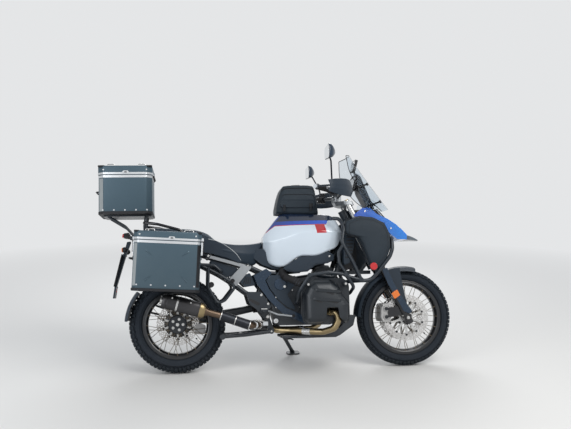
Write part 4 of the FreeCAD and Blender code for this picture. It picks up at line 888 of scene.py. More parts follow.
def stitch_tree() -> bpy.types.NodeTree:
    """Short stitches along the edges of a path: seams of the seats."""
    tree, entry, leave = repeat_tree("stitches", Pitch=0.006, Thread=0.0008, Length=0.004)
    curve = add_node(tree, "GeometryNodeMeshToCurve", {"Mesh": entry["Geometry"]})
    spaced = add_node(tree, "GeometryNodeResampleCurve",
                      {"Curve": curve.outputs["Curve"], "Length": entry["Pitch"]}, mode="LENGTH")
    tangent = tree.nodes.new("GeometryNodeInputTangent").outputs[0]
    turn = add_node(tree, "FunctionNodeAlignRotationToVector", {"Vector": tangent}, axis="Z")
    thread = add_node(tree, "GeometryNodeMeshCylinder",
                      {"Vertices": 6, "Radius": entry["Thread"], "Depth": entry["Length"]})
    return end_tree(tree, entry, leave, copies_on(tree, spaced.outputs["Curve"], thread.outputs["Mesh"],
                                                  turn))


# Wheels


@dataclass
class Disc:
    """A drilled brake disc on its carrier."""

    at: float
    outer: float
    inner: float
    seat: float
    thick: float = 5.0
    cells: int = 30
    rows: int = 3
    hole: float = 3.4

    def cell(self, axle: Vector, side: int) -> Form:
        """One sector of the band, with a row of holes staggered across it."""
        form = Form()
        number = form.index("disc")
        half_turn = math.pi / self.cells
        depth = (self.outer - self.inner) / self.rows
        for row in range(self.rows):
            low = self.inner + depth * row
            middle_r = low + depth / 2
            shift = half_turn * (row - 1) * 0.45
            rims: list[list[Any]] = []
            for face in (-1, 1):
                y = side * self.at + face * self.thick / 2
                outer_ring, hole_ring = [], []
                for k in range(8):
                    a = math.pi * (2 * k + 1) / 8
                    u, v = math.cos(a), math.sin(a)
                    stretch = 1 / max(abs(u), abs(v))
                    r = middle_r + v * stretch * depth / 2
                    turn = u * stretch * half_turn
                    outer_ring.append(self.spot(axle, y, r, turn))
                    hole_ring.append(self.spot(axle, y, middle_r + v * self.hole,
                                               shift + u * self.hole / middle_r))
                rims.append([[form.mesh.verts.new(p) for p in ring] for ring in (outer_ring, hole_ring)])
            for outer_ring, hole_ring in rims:
                for k in range(8):
                    form.mesh.faces.new((outer_ring[k - 1], outer_ring[k], hole_ring[k], hole_ring[k - 1]))
            for k in range(8):
                form.mesh.faces.new((rims[0][1][k - 1], rims[0][1][k], rims[1][1][k], rims[1][1][k - 1]))
                if (row == 0 and k in (5, 6)) or (row == self.rows - 1 and k in (1, 2)):
                    form.mesh.faces.new((rims[0][0][k - 1], rims[0][0][k], rims[1][0][k], rims[1][0][k - 1]))
        bmesh.ops.remove_doubles(form.mesh, verts=form.mesh.verts, dist=0.01)
        for face in form.mesh.faces:
            face.material_index = number
        return form

    @staticmethod
    def spot(axle: Vector, y: float, r: float, turn: float) -> Vector:
        """A point at a radius and an angle from straight down."""
        return axle + Vector((r * math.sin(turn), y, -r * math.cos(turn)))

    def carrier(self, axle: Vector, side: int) -> Form:
        """The inner ring with its arms and the bobbins that hold the band."""
        form = Form()
        y = side * self.at
        half = self.thick / 2
        form.turned([(y - half, self.seat - 14), (y + half, self.seat - 14), (y + half, self.seat + 9),
                     (y - half, self.seat + 9)], axle, "steel", 40)
        for i in range(10):
            a = 2 * math.pi * i / 10
            u = Vector((math.sin(a), 0, -math.cos(a)))
            v = Vector((math.cos(a), 0, math.sin(a)))
            root, tip = axle + u * (self.seat + 4), axle + u * (self.inner + 7)
            loop = [root - v * 8, tip - v * 6, tip + v * 6, root + v * 8]
            form.skin([[at_y(p, y - half + 0.4) for p in loop], [at_y(p, y + half - 0.4) for p in loop]],
                      "steel")
            form.drum(at_y(axle + u * (self.inner + 4), y), Y_AXIS, 7.5, half + 2.0, "hub", 16, 0.8)
            bolt = axle + u * (self.seat - 3)
            if i % 2:
                form.drum(at_y(bolt, y + side * (half + 1.5)), Y_AXIS, 5.5, 2.5, "hub", 6)
        return form


@dataclass
class Wheel:
    """One wheel: tyre with knobs, rim, hub and crossed spokes."""

    name: str
    axle: Vector
    radius: float
    half_width: float
    crown: float
    bead: float
    bead_half: float
    barrel: float
    flange: float
    flange_at: float
    boss: float
    face: float
    pitches: int
    knob: float = 8.0
    spokes: int = 40
    crossing: float = math.radians(40.5)

    def at(self, y: float, r: float, turn: float = 0.0) -> Vector:
        """A point of the wheel at a radius and an angle from straight down."""
        return self.axle + Vector((r * math.sin(turn), y, -r * math.cos(turn)))

    def carcass(self) -> Form:
        """The tyre below its knobs, with beads, rim guard ribs and wall rings."""
        base = self.crown - self.knob
        middle = self.radius - self.crown
        wall = (self.bead + 13 + self.radius - self.crown / 2) / 2
        half = self.half_width
        outer = [(self.bead_half - 11, self.bead), (self.bead_half, self.bead),
                 (self.bead_half + 0.6, self.bead + 14), (self.bead_half + 4, self.bead + 17),
                 (self.bead_half + 9, self.bead + 21), (half - 8, wall - 18), (half - 6.5, wall - 16),
                 (half - 3.5, wall - 6), (half - 2.4, wall - 5), (half - 2, wall + 6),
                 (half - 3.2, wall + 14)]
        outer += [(base * math.sin(a), middle + base * math.cos(a))
                  for a in (math.radians(d) for d in (62, 50, 38, 26, 13, 0))]
        profile = outer + [(-y, r) for y, r in reversed(outer[:-1])]
        return Form().turned(profile, self.axle, "rubber", 96)

    def knobs(self) -> Form:
        """One pitch of the tread: a pair of middle knobs, two rows beside them and the shoulders."""
        form = Form()
        step = 2 * math.pi / self.pitches
        rows = [(-13, 11, -0.44, 0.02), (-9, 14, 0.10, 0.46)]
        for side in (-1, 1):
            rows.append(tuple(sorted((side * 18, side * 33)))
                        + ((-0.18, 0.26) if side > 0 else (-0.40, 0.04)))
            rows.append(tuple(sorted((side * 18, side * 30))) + ((0.34, 0.72) if side > 0 else (0.12, 0.50)))
            rows.append(tuple(sorted((side * 38, side * 53))) + (-0.42, -0.02))
            rows.append(tuple(sorted((side * 40, side * 58))) + (0.08, 0.42))
        middle = self.radius - self.crown
        for a0, a1, b0, b1 in rows:
            rings = []
            for c, inset in ((self.crown - self.knob - 1.5, 0.0), (self.crown - 1.2, 0.05),
                             (self.crown, 0.12)):
                da, db = inset * (a1 - a0) / 2, inset * (b1 - b0) / 2
                ring = []
                for a, b in ((a0 + da, b0 + db), (a1 - da, b0 + db), (a1 - da, b1 - db), (a0 + da, b1 - db)):
                    angle = math.radians(a)
                    ring.append(self.at(c * math.sin(angle), middle + c * math.cos(angle), b * step))
                rings.append(ring)
            form.skin(rings, "knob")
        return form

    def rim_ring(self) -> Form:
        """The rim: flanges, bead seats, the deep middle and raised edges for the spokes."""
        bead, half = self.bead - FIT, self.bead_half + FIT
        side = [(half - 2, bead), (half, bead + 2), (half, bead + 12), (half + 2, bead + 14),
                (half + 4.5, bead + 13), (half + 5.5, bead + 10), (half + 4.6, bead + 1),
                (half + 6.2, bead - 5), (half + 3, bead - 11), (half - 9, bead - 14), (half - 16, bead - 21),
                (half - 24, bead - 23)]
        inner = [(half - 26, bead - 12), (half - 14, bead - 5)]
        profile = side + [(-y, r) for y, r in reversed(side)]
        profile += [(-y, r) for y, r in inner[::-1]] + inner
        return Form().turned(profile, self.axle, "rim", 96)

    def hub(self) -> Form:
        """The hub: a waisted barrel, two spoke flanges and bearing bosses."""
        form = Form()
        out = self.flange_at
        half = [(self.face, 12), (self.face, self.boss - 2), (self.face - 2, self.boss),
                (out + 12, self.boss - 1), (out + 8, self.boss + 2), (out + 6, self.flange - 3),
                (out + 4, self.flange), (out - 4, self.flange), (out - 6, self.flange - 3),
                (out - 9, self.barrel + 6), (out - 14, self.barrel), (0, self.barrel - 2)]
        form.turned(half + [(-y, r) for y, r in reversed(half[:-1])], self.axle, "hub", 56)
        return form

    def hub_bolts(self) -> Form:
        """One of the bolts round each bearing boss, with its washer."""
        form = Form()
        with form.both():
            turn = math.pi / 2
            form.drum(self.at(self.face, self.boss * 0.62, turn), Y_AXIS, 6.5, 3, "steel", 12, 1)
            form.drum(self.at(self.face, self.boss * 0.62, turn), Y_AXIS, 9.5, 1, "cast", 16, 0.4)
        return form

    def spoke_set(self) -> Form:
        """Two pairs of crossed spokes, one pair to each rim edge, with their nipples."""
        form = Form()
        bead, half = self.bead - FIT, self.bead_half + FIT
        for i in range(4):
            side = 1 if i % 2 else -1
            lean = 1 if (i // 2) % 2 else -1
            at_rim = 2 * math.pi * i / self.spokes
            outer = self.at((half - 4) * side, bead - 8, at_rim)
            inner = self.at(self.flange_at * side + lean * 3.0, self.flange - 4,
                            at_rim + lean * self.crossing)
            along = (inner - outer).normalized()
            form.rod(outer, inner, 3.6, "spoke", 8)
            form.rod(outer - along * 2, outer + along * 12, 6.2, "spoke", 6)
        return form

    def build(self, shop: Workshop) -> None:
        """Make the wheel's pieces."""
        name, body = self.name, self.name + "_wheel"
        shop.deliver(self.carcass(), name + "_tyre_body", "tyre_rubber", name + "_tyre", body=body)
        tread = shop.round_axle(self.knobs(), name + "_tyre_knobs", self.pitches, self.axle, "knob")
        shop.settle(tread, body=body)
        shop.deliver(self.rim_ring(), name + "_rim_ring", "rim_black", name + "_rim", body=body)
        shop.deliver(self.hub(), name + "_hub", "rim_black", body=body)
        for cell, word, count, finish in ((self.spoke_set(), "_spokes", self.spokes // 4, "spoke"),
                                          (self.hub_bolts(), "_hub_bolts", 5, "steel")):
            copies = shop.round_axle(cell, name + word, count, self.axle, finish)
            shop.settle(copies, body=body)
        foot, tip = self.at(0, self.bead - 24, 0.9), self.at(0, self.bead - 62, 0.9)
        valve = Form().rod(foot, tip, 7, "steel", 10).rod(tip + (foot - tip) * 0.3, tip, 9, "black", 10)
        shop.deliver(valve, name + "_valve", "rim_black", body=body)


def build_wheels(shop: Workshop) -> None:
    """Both wheels and their discs."""
    Wheel("front", FRONT_AXLE, FRONT_RADIUS, half_width=61, crown=FRONT_CROWN, bead=238, bead_half=38,
          barrel=24, flange=46, flange_at=30, boss=36, face=66, pitches=36).build(shop)
    Wheel("rear", REAR_AXLE, REAR_RADIUS, half_width=86, crown=REAR_CROWN, bead=214, bead_half=60, barrel=40,
          flange=62, flange_at=26, boss=58, face=60, pitches=34, knob=8.5).build(shop)
    front, rear = Disc(at=69, outer=155, inner=112, seat=38), Disc(at=63, outer=142, inner=95, seat=54)
    for word, disc, axle, side, body, node in (
            ("front_right", front, FRONT_AXLE, -1, "front_wheel", "front_discs"),
            ("front_left", front, FRONT_AXLE, 1, "front_wheel", ""),
            ("rear", rear, REAR_AXLE, 1, "rear_wheel", "rear_disc")):
        band = shop.round_axle(disc.cell(axle, side), word + "_disc_band", disc.cells, axle, "disc")
        shop.settle(band, node, body)
        shop.deliver(disc.carrier(axle, side), word + "_disc_carrier", "disc_steel", bevel=0.6, body=body)


# Steering


BAR_BEND = Vector((1098, 150, 1166))
BAR_TIP = Vector((890, 432, 1176))
BAR_MIDDLE = Vector((1092, 0, 1152))
YOKE_TOP = 1118.0
LEG_SPACING = 100.0


def bar_point(share: float, side: int = 1) -> Vector:
    """A point on one half of the handlebar, from the bend (0) to the tip (1)."""
    point = BAR_BEND + (BAR_TIP - BAR_BEND) * share
    return Vector((point.x, side * point.y, point.z))


@dataclass
class Steering:
    """Everything that turns with the handlebar, apart from the wheel."""

    stanchion: float = 37.0
    slider: float = 46.0
    split: float = 660.0
    fender_inner: float = 338.0

    def fork(self, shop: Workshop) -> None:
        """Legs, lower bridge, yoke and axle."""
        form = Form()
        low = FRONT_AXLE.z - 30
        with form.both():
            y = LEG_SPACING

            def leg(z: float) -> Vector:
                return Vector((leg_x(z), y, z))

            form.rod(leg(low), leg(self.split), self.slider, "fork", 32)
            form.rod(leg(self.split - 10), leg(YOKE_TOP + 4), self.stanchion, "steel", 32)
            form.rod(leg(self.split - 4), leg(self.split + 16), self.slider + 6, "black", 32)
            form.rod(leg(YOKE_TOP + 2), leg(YOKE_TOP + 10), self.stanchion - 8, "gold", 24)
            form.rod(leg(low - 8), leg(low + 64), self.slider + 9, "fork", 32)
            clamp = [(leg_x(FRONT_AXLE.z) - 26, FRONT_AXLE.z - 22),
                     (leg_x(FRONT_AXLE.z) + 24, FRONT_AXLE.z - 24),
                     (leg_x(FRONT_AXLE.z) + 26, FRONT_AXLE.z + 24),
                     (leg_x(FRONT_AXLE.z) - 24, FRONT_AXLE.z + 28)]
            form.plate(clamp, y - 24, y + 24, "fork", 10)
        z = 690.0
        bridge = [(leg_x(z) - 34, z - 15), (leg_x(z) + 32, z - 15), (leg_x(z) + 18, z + 18),
                  (leg_x(z) - 48, z + 18)]
        form.plate(bridge, -LEG_SPACING - 12, LEG_SPACING + 12, "frame", 8)
        form.rod((steer_x(z - 24), 0, z - 24), (steer_x(z + 24), 0, z + 24), 52, "frame", 28)
        z0 = YOKE_TOP - 26
        yoke = soft_loop([(leg_x(z0) + 34, -LEG_SPACING - 26, z0), (leg_x(z0) + 34, LEG_SPACING + 26, z0),
                          (leg_x(z0) - 26, LEG_SPACING + 26, z0), (steer_x(z0) - 34, 40, z0),
                          (steer_x(z0) - 34, -40, z0), (leg_x(z0) - 26, -LEG_SPACING - 26, z0)], 14)
        rise = STEER_DIR * (26 / STEER_DIR.z)
        form.skin([yoke, [p + rise for p in yoke]], "silver_tube")
        form.drum(FRONT_AXLE, Y_AXIS, 11, LEG_SPACING + 26, "steel", 24, 1)
        with form.both():
            form.drum(FRONT_AXLE + Vector((0, LEG_SPACING + 27, 0)), Y_AXIS, 19, 4, "black", 6, 1)
            form.drum(FRONT_AXLE + Vector((0, LEG_SPACING + 32, 0)), Y_AXIS, 11, 3, "steel", 24, 1)
        shop.deliver(form, "fork_assembly", "fork_black", "fork", 1.5, body="steering")
        studs = [((leg_x(z) - 25, side * (LEG_SPACING + dy), z), -X_AXIS) for side in (1, -1)
                 for dy in (-14, 14) for z in (FRONT_AXLE.z - 8, FRONT_AXLE.z + 14)]
        shop.rivets("fork_pinch_bolts", studs, 5, 8, "fork_black", body="steering")

    def handlebar(self, shop: Workshop) -> None:
        """The tapered bar, risers, grips, switch housings, levers and reservoirs."""
        form = Form()
        route = [bar_point(1, -1), bar_point(0, -1), (BAR_MIDDLE.x, -70, BAR_MIDDLE.z),
                 (BAR_MIDDLE.x, 70, BAR_MIDDLE.z), bar_point(0, 1), bar_point(1, 1)]
        form.tube(route, 25, "frame", 60, 24)
        with form.both():
            x, z = BAR_MIDDLE.x, BAR_MIDDLE.z
            form.box((x - 22, x + 22), (41, 69), (YOKE_TOP + FIT, z), "silver_tube", 6)
            form.box((x - 19, x + 19), (41, 69), (z, z + 17), "frame", 6)
            for dx in (-14, 14):
                form.drum((x + dx, 55, z + 19), Z_AXIS, 4, 3, "steel", 6)
            form.rod(bar_point(0.50), bar_point(0.985), 33, "grip", 28)
            for share in (0.505, 0.97):
                form.rod(bar_point(share), bar_point(share + 0.02), 39, "grip", 28)
            for k in range(12):
                share = 0.55 + k * 0.034
                form.rod(bar_point(share), bar_point(share + 0.014), 35.4, "grip", 28)
            form.rod(bar_point(0.26), bar_point(0.46), 44, "black", 28)
            hub = bar_point(0.36)
            form.box((hub.x - 18, hub.x + 30), (hub.y - 22, hub.y + 22), (hub.z - 26, hub.z + 14), "black", 8)
            for k, dz in enumerate((-12, 0)):
                form.ball((hub.x - 24, hub.y + (k * 12 - 6), hub.z + dz), 6, "strip", 0.6, (1, 0, 0))
            lever_in = hub + Vector((28, 18, -4))
            lever_out = bar_point(0.90) + Vector((48, 30, -8))
            bow = (lever_in + lever_out) / 2 + Vector((16, 10, 0))
            form.tube([lever_in, bow, lever_out], 12, "silver_tube", 120, 14)
            form.ball(lever_out, 9, "silver_tube", 1.0)
            form.rod(hub, lever_in, 20, "black", 16)
            tank = hub + Vector((18, -12, 26))
            form.drum(tank, Z_AXIS, 17, 15, "black", 24, 2)
            form.drum(tank + Vector((0, 0, 16)), Z_AXIS, 18.5, 3, "frame", 24, 1)
        shop.deliver(form, "handlebar_assembly", "fork_black", "handlebar", 1.2, body="steering")

    def hand_guards(self, shop: Workshop) -> None:
        """Two moulded guards with their arms and bar-end weights."""
        for side, word in SIDES.items():
            form = Form()
            rows = [(0.14, 66, 26, 24), (0.18, 78, 40, 34), (0.30, 94, 54, 43), (0.42, 104, 62, 48),
                    (0.57, 104, 63, 50), (0.72, 98, 58, 50), (0.88, 84, 50, 44), (1.0, 66, 40, 34)]
            rings = []
            for share, ahead, up, down in rows:
                p = bar_point(share, side)
                y = p.y + side * ahead * 0.55
                rings.append(soft_loop([(p.x + ahead, y, p.z + up), (p.x + ahead + 8, y, p.z + up),
                                        (p.x + ahead + 19, y, p.z + up * 0.35),
                                        (p.x + ahead + 20, y, p.z - down * 0.3),
                                        (p.x + ahead + 8, y, p.z - down), (p.x + ahead, y, p.z - down),
                                        (p.x + ahead + 11, y, p.z - down * 0.3),
                                        (p.x + ahead + 10, y, p.z + up * 0.35)], 1.6, 3))
            form.skin(rings, "plastic")
            along = (BAR_TIP - BAR_BEND).normalized()
            along.y *= side
            plug = bar_point(1, side)
            form.rod(plug + along * FIT, plug + along * 26, 27, "silver_tube", 24)
            form.rod(plug + along * 16, bar_point(1, side) + Vector((76, side * 36, 4)), 14, "frame", 16)
            shop.deliver(form, "hand_guard_" + word, "plastic_dark", "hand_guards" if side > 0 else "", 0.8,
                         body="steering")

    def mirrors(self, shop: Workshop) -> None:
        """Two mirrors on bent stems."""
        form = Form()
        for side in SIDES:
            root = bar_point(0.36, side)
            start = root + Vector((0, 0, 24))
            head = Vector((966, side * 440, 1393))
            form.tube([start, (root.x - 4, root.y + side * 6, 1240), (root.x - 30, side * 390, 1350),
                       (head.x + 6, side * 425, head.z - 4)], 11, "frame", 90, 16)
            form.rod(start, start + Vector((0, 0, 18)), 20, "frame", 20)
            rings = []
            for x, half_y, half_z in ((44, 20, 9), (36, 46, 22), (26, 68, 34), (14, 84, 43), (0, 91, 47),
                                      (-6, 92, 48)):
                rings.append(soft_loop([(head.x + x, head.y - half_y, head.z - half_z),
                                        (head.x + x, head.y + half_y, head.z - half_z * 0.7),
                                        (head.x + x, head.y + half_y, head.z + half_z * 0.8),
                                        (head.x + x, head.y - half_y, head.z + half_z)], 26, 6))
            form.skin(rings, "gloss_plastic")
            glass = [Vector((p.x - 1.2, head.y + (p.y - head.y) * 0.93, head.z + (p.z - head.z) * 0.92))
                     for p in rings[-1]]
            form.skin([rings[-1], glass], "black", ends=False)
            form.skin([glass, [p - Vector((0.6, 0, 0)) for p in glass]], "mirror")
        shop.deliver(form, "mirror_pair", "plastic_dark", "mirrors", 0.6, body="steering")

    def fender(self, shop: Workshop) -> None:
        """The front fender, its struts and the fork's stone guards with reflectors."""
        form = Form()
        inner, outer = self.fender_inner, self.fender_inner + 5
        half, crown = 74.0, 26.0
        profile = [(-half, inner - crown), (-half + 3, inner - crown), (-half * 0.86, inner - crown * 0.6),
                   (-half * 0.55, inner - 2), (0, inner), (half * 0.55, inner - 2),
                   (half * 0.86, inner - crown * 0.6), (half - 3, inner - crown), (half, inner - crown),
                   (half * 0.9, outer - crown * 0.5), (half * 0.58, outer - 1), (half * 0.2, outer + 4),
                   (0, outer + 6), (-half * 0.2, outer + 4), (-half * 0.58, outer - 1),
                   (-half * 0.9, outer - crown * 0.5)]
        form.turned(profile, FRONT_AXLE, "plastic", 44, 166, 268)
        with form.both():
            y = 76
            outline = [(1392, 640), (1440, 656), (1500, 662), (1514, 560), (1545, 400), (1520, 392),
                       (1486, 470), (1420, 600)]
            form.plate(outline, y - 3, y + 3, "plastic", 8)
        shop.deliver(form, "front_fender_shell", "plastic_dark", "front_fender", 1.0, body="steering")
        guard = Form()
        with guard.both():
            y = LEG_SPACING + 26
            outline = [(1366, 655), (1402, 664), (1440, 566), (1500, 460), (1566, 366), (1545, 352),
                       (1505, 370), (1452, 470), (1400, 560)]
            guard.plate(outline, y - 3, y + 3, "gloss_plastic", 8)
            guard.plate([(1444, 452), (1484, 478), (1463, 516), (1423, 490)], y + 3, y + 8, "amber", 6)
        shop.deliver(guard, "fork_stone_guards", "plastic_dark", bevel=1.2, body="steering")

    def calipers(self, shop: Workshop) -> None:
        """The calipers behind the legs, with their mounts."""
        form, studs = Form(), []
        for side in SIDES:
            y = side * 69
            outline = [(1366, 300), (1420, 300), (1436, 360), (1424, 424), (1374, 424), (1360, 380),
                       (1358, 330)]
            for y0, y1 in ((y + 8, y + 22), (y - 22, y - 8)):
                form.plate(outline, y0, y1, "caliper", 12)
            form.plate([(1358, 330), (1372, 330), (1378, 400), (1362, 400)], y - 20, y + 20, "caliper", 4)
            for z in (334, 388):
                form.drum((1394, y + side * 24, z), Y_AXIS, 20, 4, "caliper", 28, 2)
                form.drum((1394, y + side * 28, z), Y_AXIS, 13, 2, "hub", 28, 1)
            form.plate([(1405, 330), (1530, 345), (1525, 375), (1490, 404), (1405, 396)],
                       side * 86, side * 103, "fork", 6)
            studs += [((x, y + side * 24, z), Y_AXIS * side)
                      for x, z in ((1372, 314), (1376, 410), (1418, 318), (1416, 408))]
        shop.deliver(form, "front_caliper_pair", "aluminium_bare", "front_calipers", 1.5, body="steering")
        shop.rivets("caliper_bolts", studs, 5.5, 7, "aluminium_bare", body="steering")

    def build(self, shop: Workshop) -> None:
        """Make every piece of the steering assembly."""
        self.fork(shop)
        self.handlebar(shop)
        self.hand_guards(shop)
        self.mirrors(shop)
        self.fender(shop)
        self.calipers(shop)


# Chassis, engine and exhaust


FRAME_SLOT = "frame_black"
SILENCER_REAR = Vector((-92, -190, 482))
SILENCER_FRONT = Vector((178, -190, 404))


@dataclass
class Chassis:
    """Main frame, rear frame, arm, suspension, rests, stands, racks and guards."""

    frame_tube: float = 34.0
    rail_tube: float = 26.0
    rack_tube: float = 18.0
    guard_tube: float = 25.0
    plate_in: float = 86.0
    plate_out: float = 98.0
    pivot: Vector = field(default_factory=lambda: Vector((552, 0, 417)))

    def main_frame(self, shop: Workshop) -> None:
        """Steering head, upper rails, down tubes and pivot plates."""
        form = Form()
        form.rod((steer_x(930), 0, 930), (steer_x(1064), 0, 1064), 64, "frame", 32)
        rest = self.frame_tube / 2 + FIT
        with form.both():
            form.tube([(steer_x(1000), 26, 1000), (1112, 62, 862), (1040, 104, 740), (930, 120, 694),
                       (700, 120, 650), (590, 96, 592)], self.frame_tube, "frame", 90, 20)
            form.tube([(steer_x(945), 28, 945), (1112, 92, 800), (1056, 120, 640),
                       (1034, 120, self.engine_top(1034) + rest),
                       (930, 120, self.engine_top(930) + rest)], self.frame_tube, "frame", 90, 20)
            outline = [(556, 596), (606, 602), (606, 345), (634, 268), (622, 246), (598, 248), (566, 345),
                       (528, 396), (532, 520)]
            form.plate(outline, self.plate_in, self.plate_out, "frame", 10)
            form.drum((612, 114, 262), Y_AXIS, 6, 20, "steel", 20)
            for x, rear_top, front_top in ((818, 744, 745), (918, 751, 754)):
                lug = [(x, 668), (x + 24, 668), (x + 24, front_top), (x, rear_top)]
                form.plate(lug, 112, 128, "frame", 4)
        form.drum(self.pivot + Vector((0, 20, 0)), Y_AXIS, 13, 126, "steel", 24, 1)
        form.rod((585, -92, 575), (585, 92, 575), 28, "frame")
        form.rod((930, -120, 694), (930, 120, 694), 28, "frame")
        shop.deliver(form, "tube_frame", FRAME_SLOT, "main_frame", 0.8)

    @staticmethod
    def engine_top(x: float) -> float:
        """Height of the crankcase's upper face."""
        return 612 - (x - 900) * 25 / 160

    def rear_frame(self, shop: Workshop) -> None:
        """Top rails, struts and cross tubes of the rear frame, with their lugs."""
        form = Form()
        beside = self.plate_out + FIT + self.rail_tube / 2
        for x, z, half in ((205, 762, 128), (-60, 850, 110), (-290, 890, 84)):
            form.rod((x, -half, z), (x, half, z), self.rail_tube - 4, "frame")
        with form.both():
            form.tube([(648, 118, 640), (560, 126, 646), (470, 128, 690), (205, 128, 762),
                       (-60, 110, 850), (-300, 84, 892)], self.rail_tube, "frame", 80, 20)
            bar = [(196, 773), (470, 694), (484, 694), (484, 676), (470, 672), (196, 752)]
            form.plate(bar, 140, 143, "silver_tube", 3)
            form.tube([(576, beside, 470), (530, beside, 470), (445, 128, 520), (324, 128, 614),
                       (150, 124, 706), (90, 122, 796)], self.rail_tube, "frame", 80, 20)
            for x, z in ((462, 692), (205, 762), (576, 470), (324, 614)):
                form.drum((x, 128, z), Y_AXIS, 17, 15, "frame", 24, 2)
                form.drum((x, 145, z), Y_AXIS, 8, 4, "steel", 6, 1)
        shop.deliver(form, "rear_frame", FRAME_SLOT, "subframe", 0.8)

    def arm(self, shop: Workshop) -> None:
        """Single-sided arm, final drive and rear caliper."""
        form = Form()
        y = 122.0
        rows = [(560, 20, 398, 436, 12), (540, 23, 392, 442, 16), (450, 24, 374, 426, 18),
                (300, 26, 344, 404, 20), (180, 28, 320, 386, 22), (60, 30, 300, 366, 24)]
        form.skin([soft_loop([(x, y - w, lo), (x, y + w, lo), (x, y + w, hi), (x, y - w, hi)], r)
                   for x, w, lo, hi, r in rows], "frame")
        z = REAR_AXLE.z
        profile = [(72, 20), (72, 84), (76, 90), (84, 92), (140, 92), (150, 88), (154, 80), (156, 62),
                   (164, 60), (168, 54), (168, 20)]
        form.turned(profile, (0, 0, z), "frame", 56)
        form.drum((0, 168, z), Y_AXIS, 34, 3, "silver_tube", 40, 1)
        form.drum((0, 6, z), Y_AXIS, 11, 68, "steel", 24)
        form.drum(self.pivot + Vector((0, y, 0)), Y_AXIS, 32, 22, "frame", 40, 3)
        form.turned([(-14, 30), (-10, 37), (-6, 31), (-2, 38), (2, 32), (6, 39), (10, 33), (14, 40), (14, 26),
                     (-14, 26)], (518, y, 414), "rubber_part", 32, axis=(1, 0, 0.3))
        caliper = [(112, 250), (176, 246), (186, 306), (150, 318), (118, 312)]
        form.plate(caliper, 71, 91, "caliper", 10)
        form.plate(caliper, 50, 56, "caliper", 10)
        form.plate([(170, 250), (184, 256), (186, 300), (174, 304)], 50, 91, "caliper", 3)
        form.plate([(70, 270), (150, 256), (150, 300), (70, 330)], 75, 90, "frame", 6)
        shop.deliver(form, "swing_arm_and_drive", FRAME_SLOT, "swingarm", 1.2)
        turns = [2 * math.pi * k / 10 for k in range(10)]
        studs = [((76 * math.sin(a), 155, z + 76 * math.cos(a)), Y_AXIS) for a in turns]
        shop.rivets("drive_housing_bolts", studs, 5, 6, FRAME_SLOT)

    def hugger(self, shop: Workshop) -> None:
        """The rear mudguard with its stays."""
        form = Form()
        inner, half, crown = 338.0, 92.0, 16.0
        profile = [(-half, inner - crown), (-half + 3, inner - crown), (-half * 0.8, inner - crown * 0.4),
                   (-half * 0.55, inner), (half * 0.55, inner), (half * 0.8, inner - crown * 0.4),
                   (half - 3, inner - crown), (half, inner - crown), (half * 0.9, inner),
                   (half * 0.6, inner + 6), (0, inner + 8), (-half * 0.6, inner + 6), (-half * 0.9, inner)]
        form.turned(profile, REAR_AXLE, "plastic", 30, 230, 265)
        for start, angle in ((Vector((-50, 136, 46)), 160), (Vector((-20, 136, 76)), 147)):
            reach, turn = inner - crown + 5, math.radians(angle)
            end = REAR_AXLE + Vector((reach * math.cos(turn), half - 5, reach * math.sin(turn)))
            form.rod(REAR_AXLE + start, end, 14, "frame")
        shop.deliver(form, "rear_mudguard_and_stays", "plastic_dark", "rear_mudguard", 0.8)

    def front_suspension(self, shop: Workshop) -> None:
        """The front arm, its ball joint and the spring unit."""
        form = Form()
        ball = steer_x(655)
        arm = [(960, 100), (1010, 100), (ball - 20, 26), (ball - 20, -26), (1010, -100), (960, -100),
               (960, -70), (1020, -62), (1130, 0), (1020, 62), (960, 70)]
        loop = soft_loop([(x, y, 626) for x, y in arm], 8, 3)
        form.skin([loop, [Vector((p.x, p.y, 650)) for p in loop]], "frame")
        with form.both():
            form.drum((975, 85, 634), Y_AXIS, 20, 18, "frame", 28, 2)
        low, high = Vector((1120, 0, 668)), Vector((1140, 0, 900))
        form.rod(low, high, 44, "steel", 28)
        along = (high - low).normalized()
        side_way = along.cross(Y_AXIS).normalized()
        turns, steps = 7, 16
        coil = []
        for k in range(turns * steps + 1):
            a = 2 * math.pi * k / steps
            middle = low + along * (22 + 176 * k / (turns * steps))
            coil.append(middle + Y_AXIS * (28 * math.cos(a)) + side_way * (28 * math.sin(a)))
        form.tube(coil, 10, "steel", 4, 10)
        for at in (18, 200):
            form.drum(low + along * at, along, 35, 4, "frame", 32, 1)
        shop.deliver(form, "front_arm_and_spring", FRAME_SLOT, "front_suspension", 0.8)

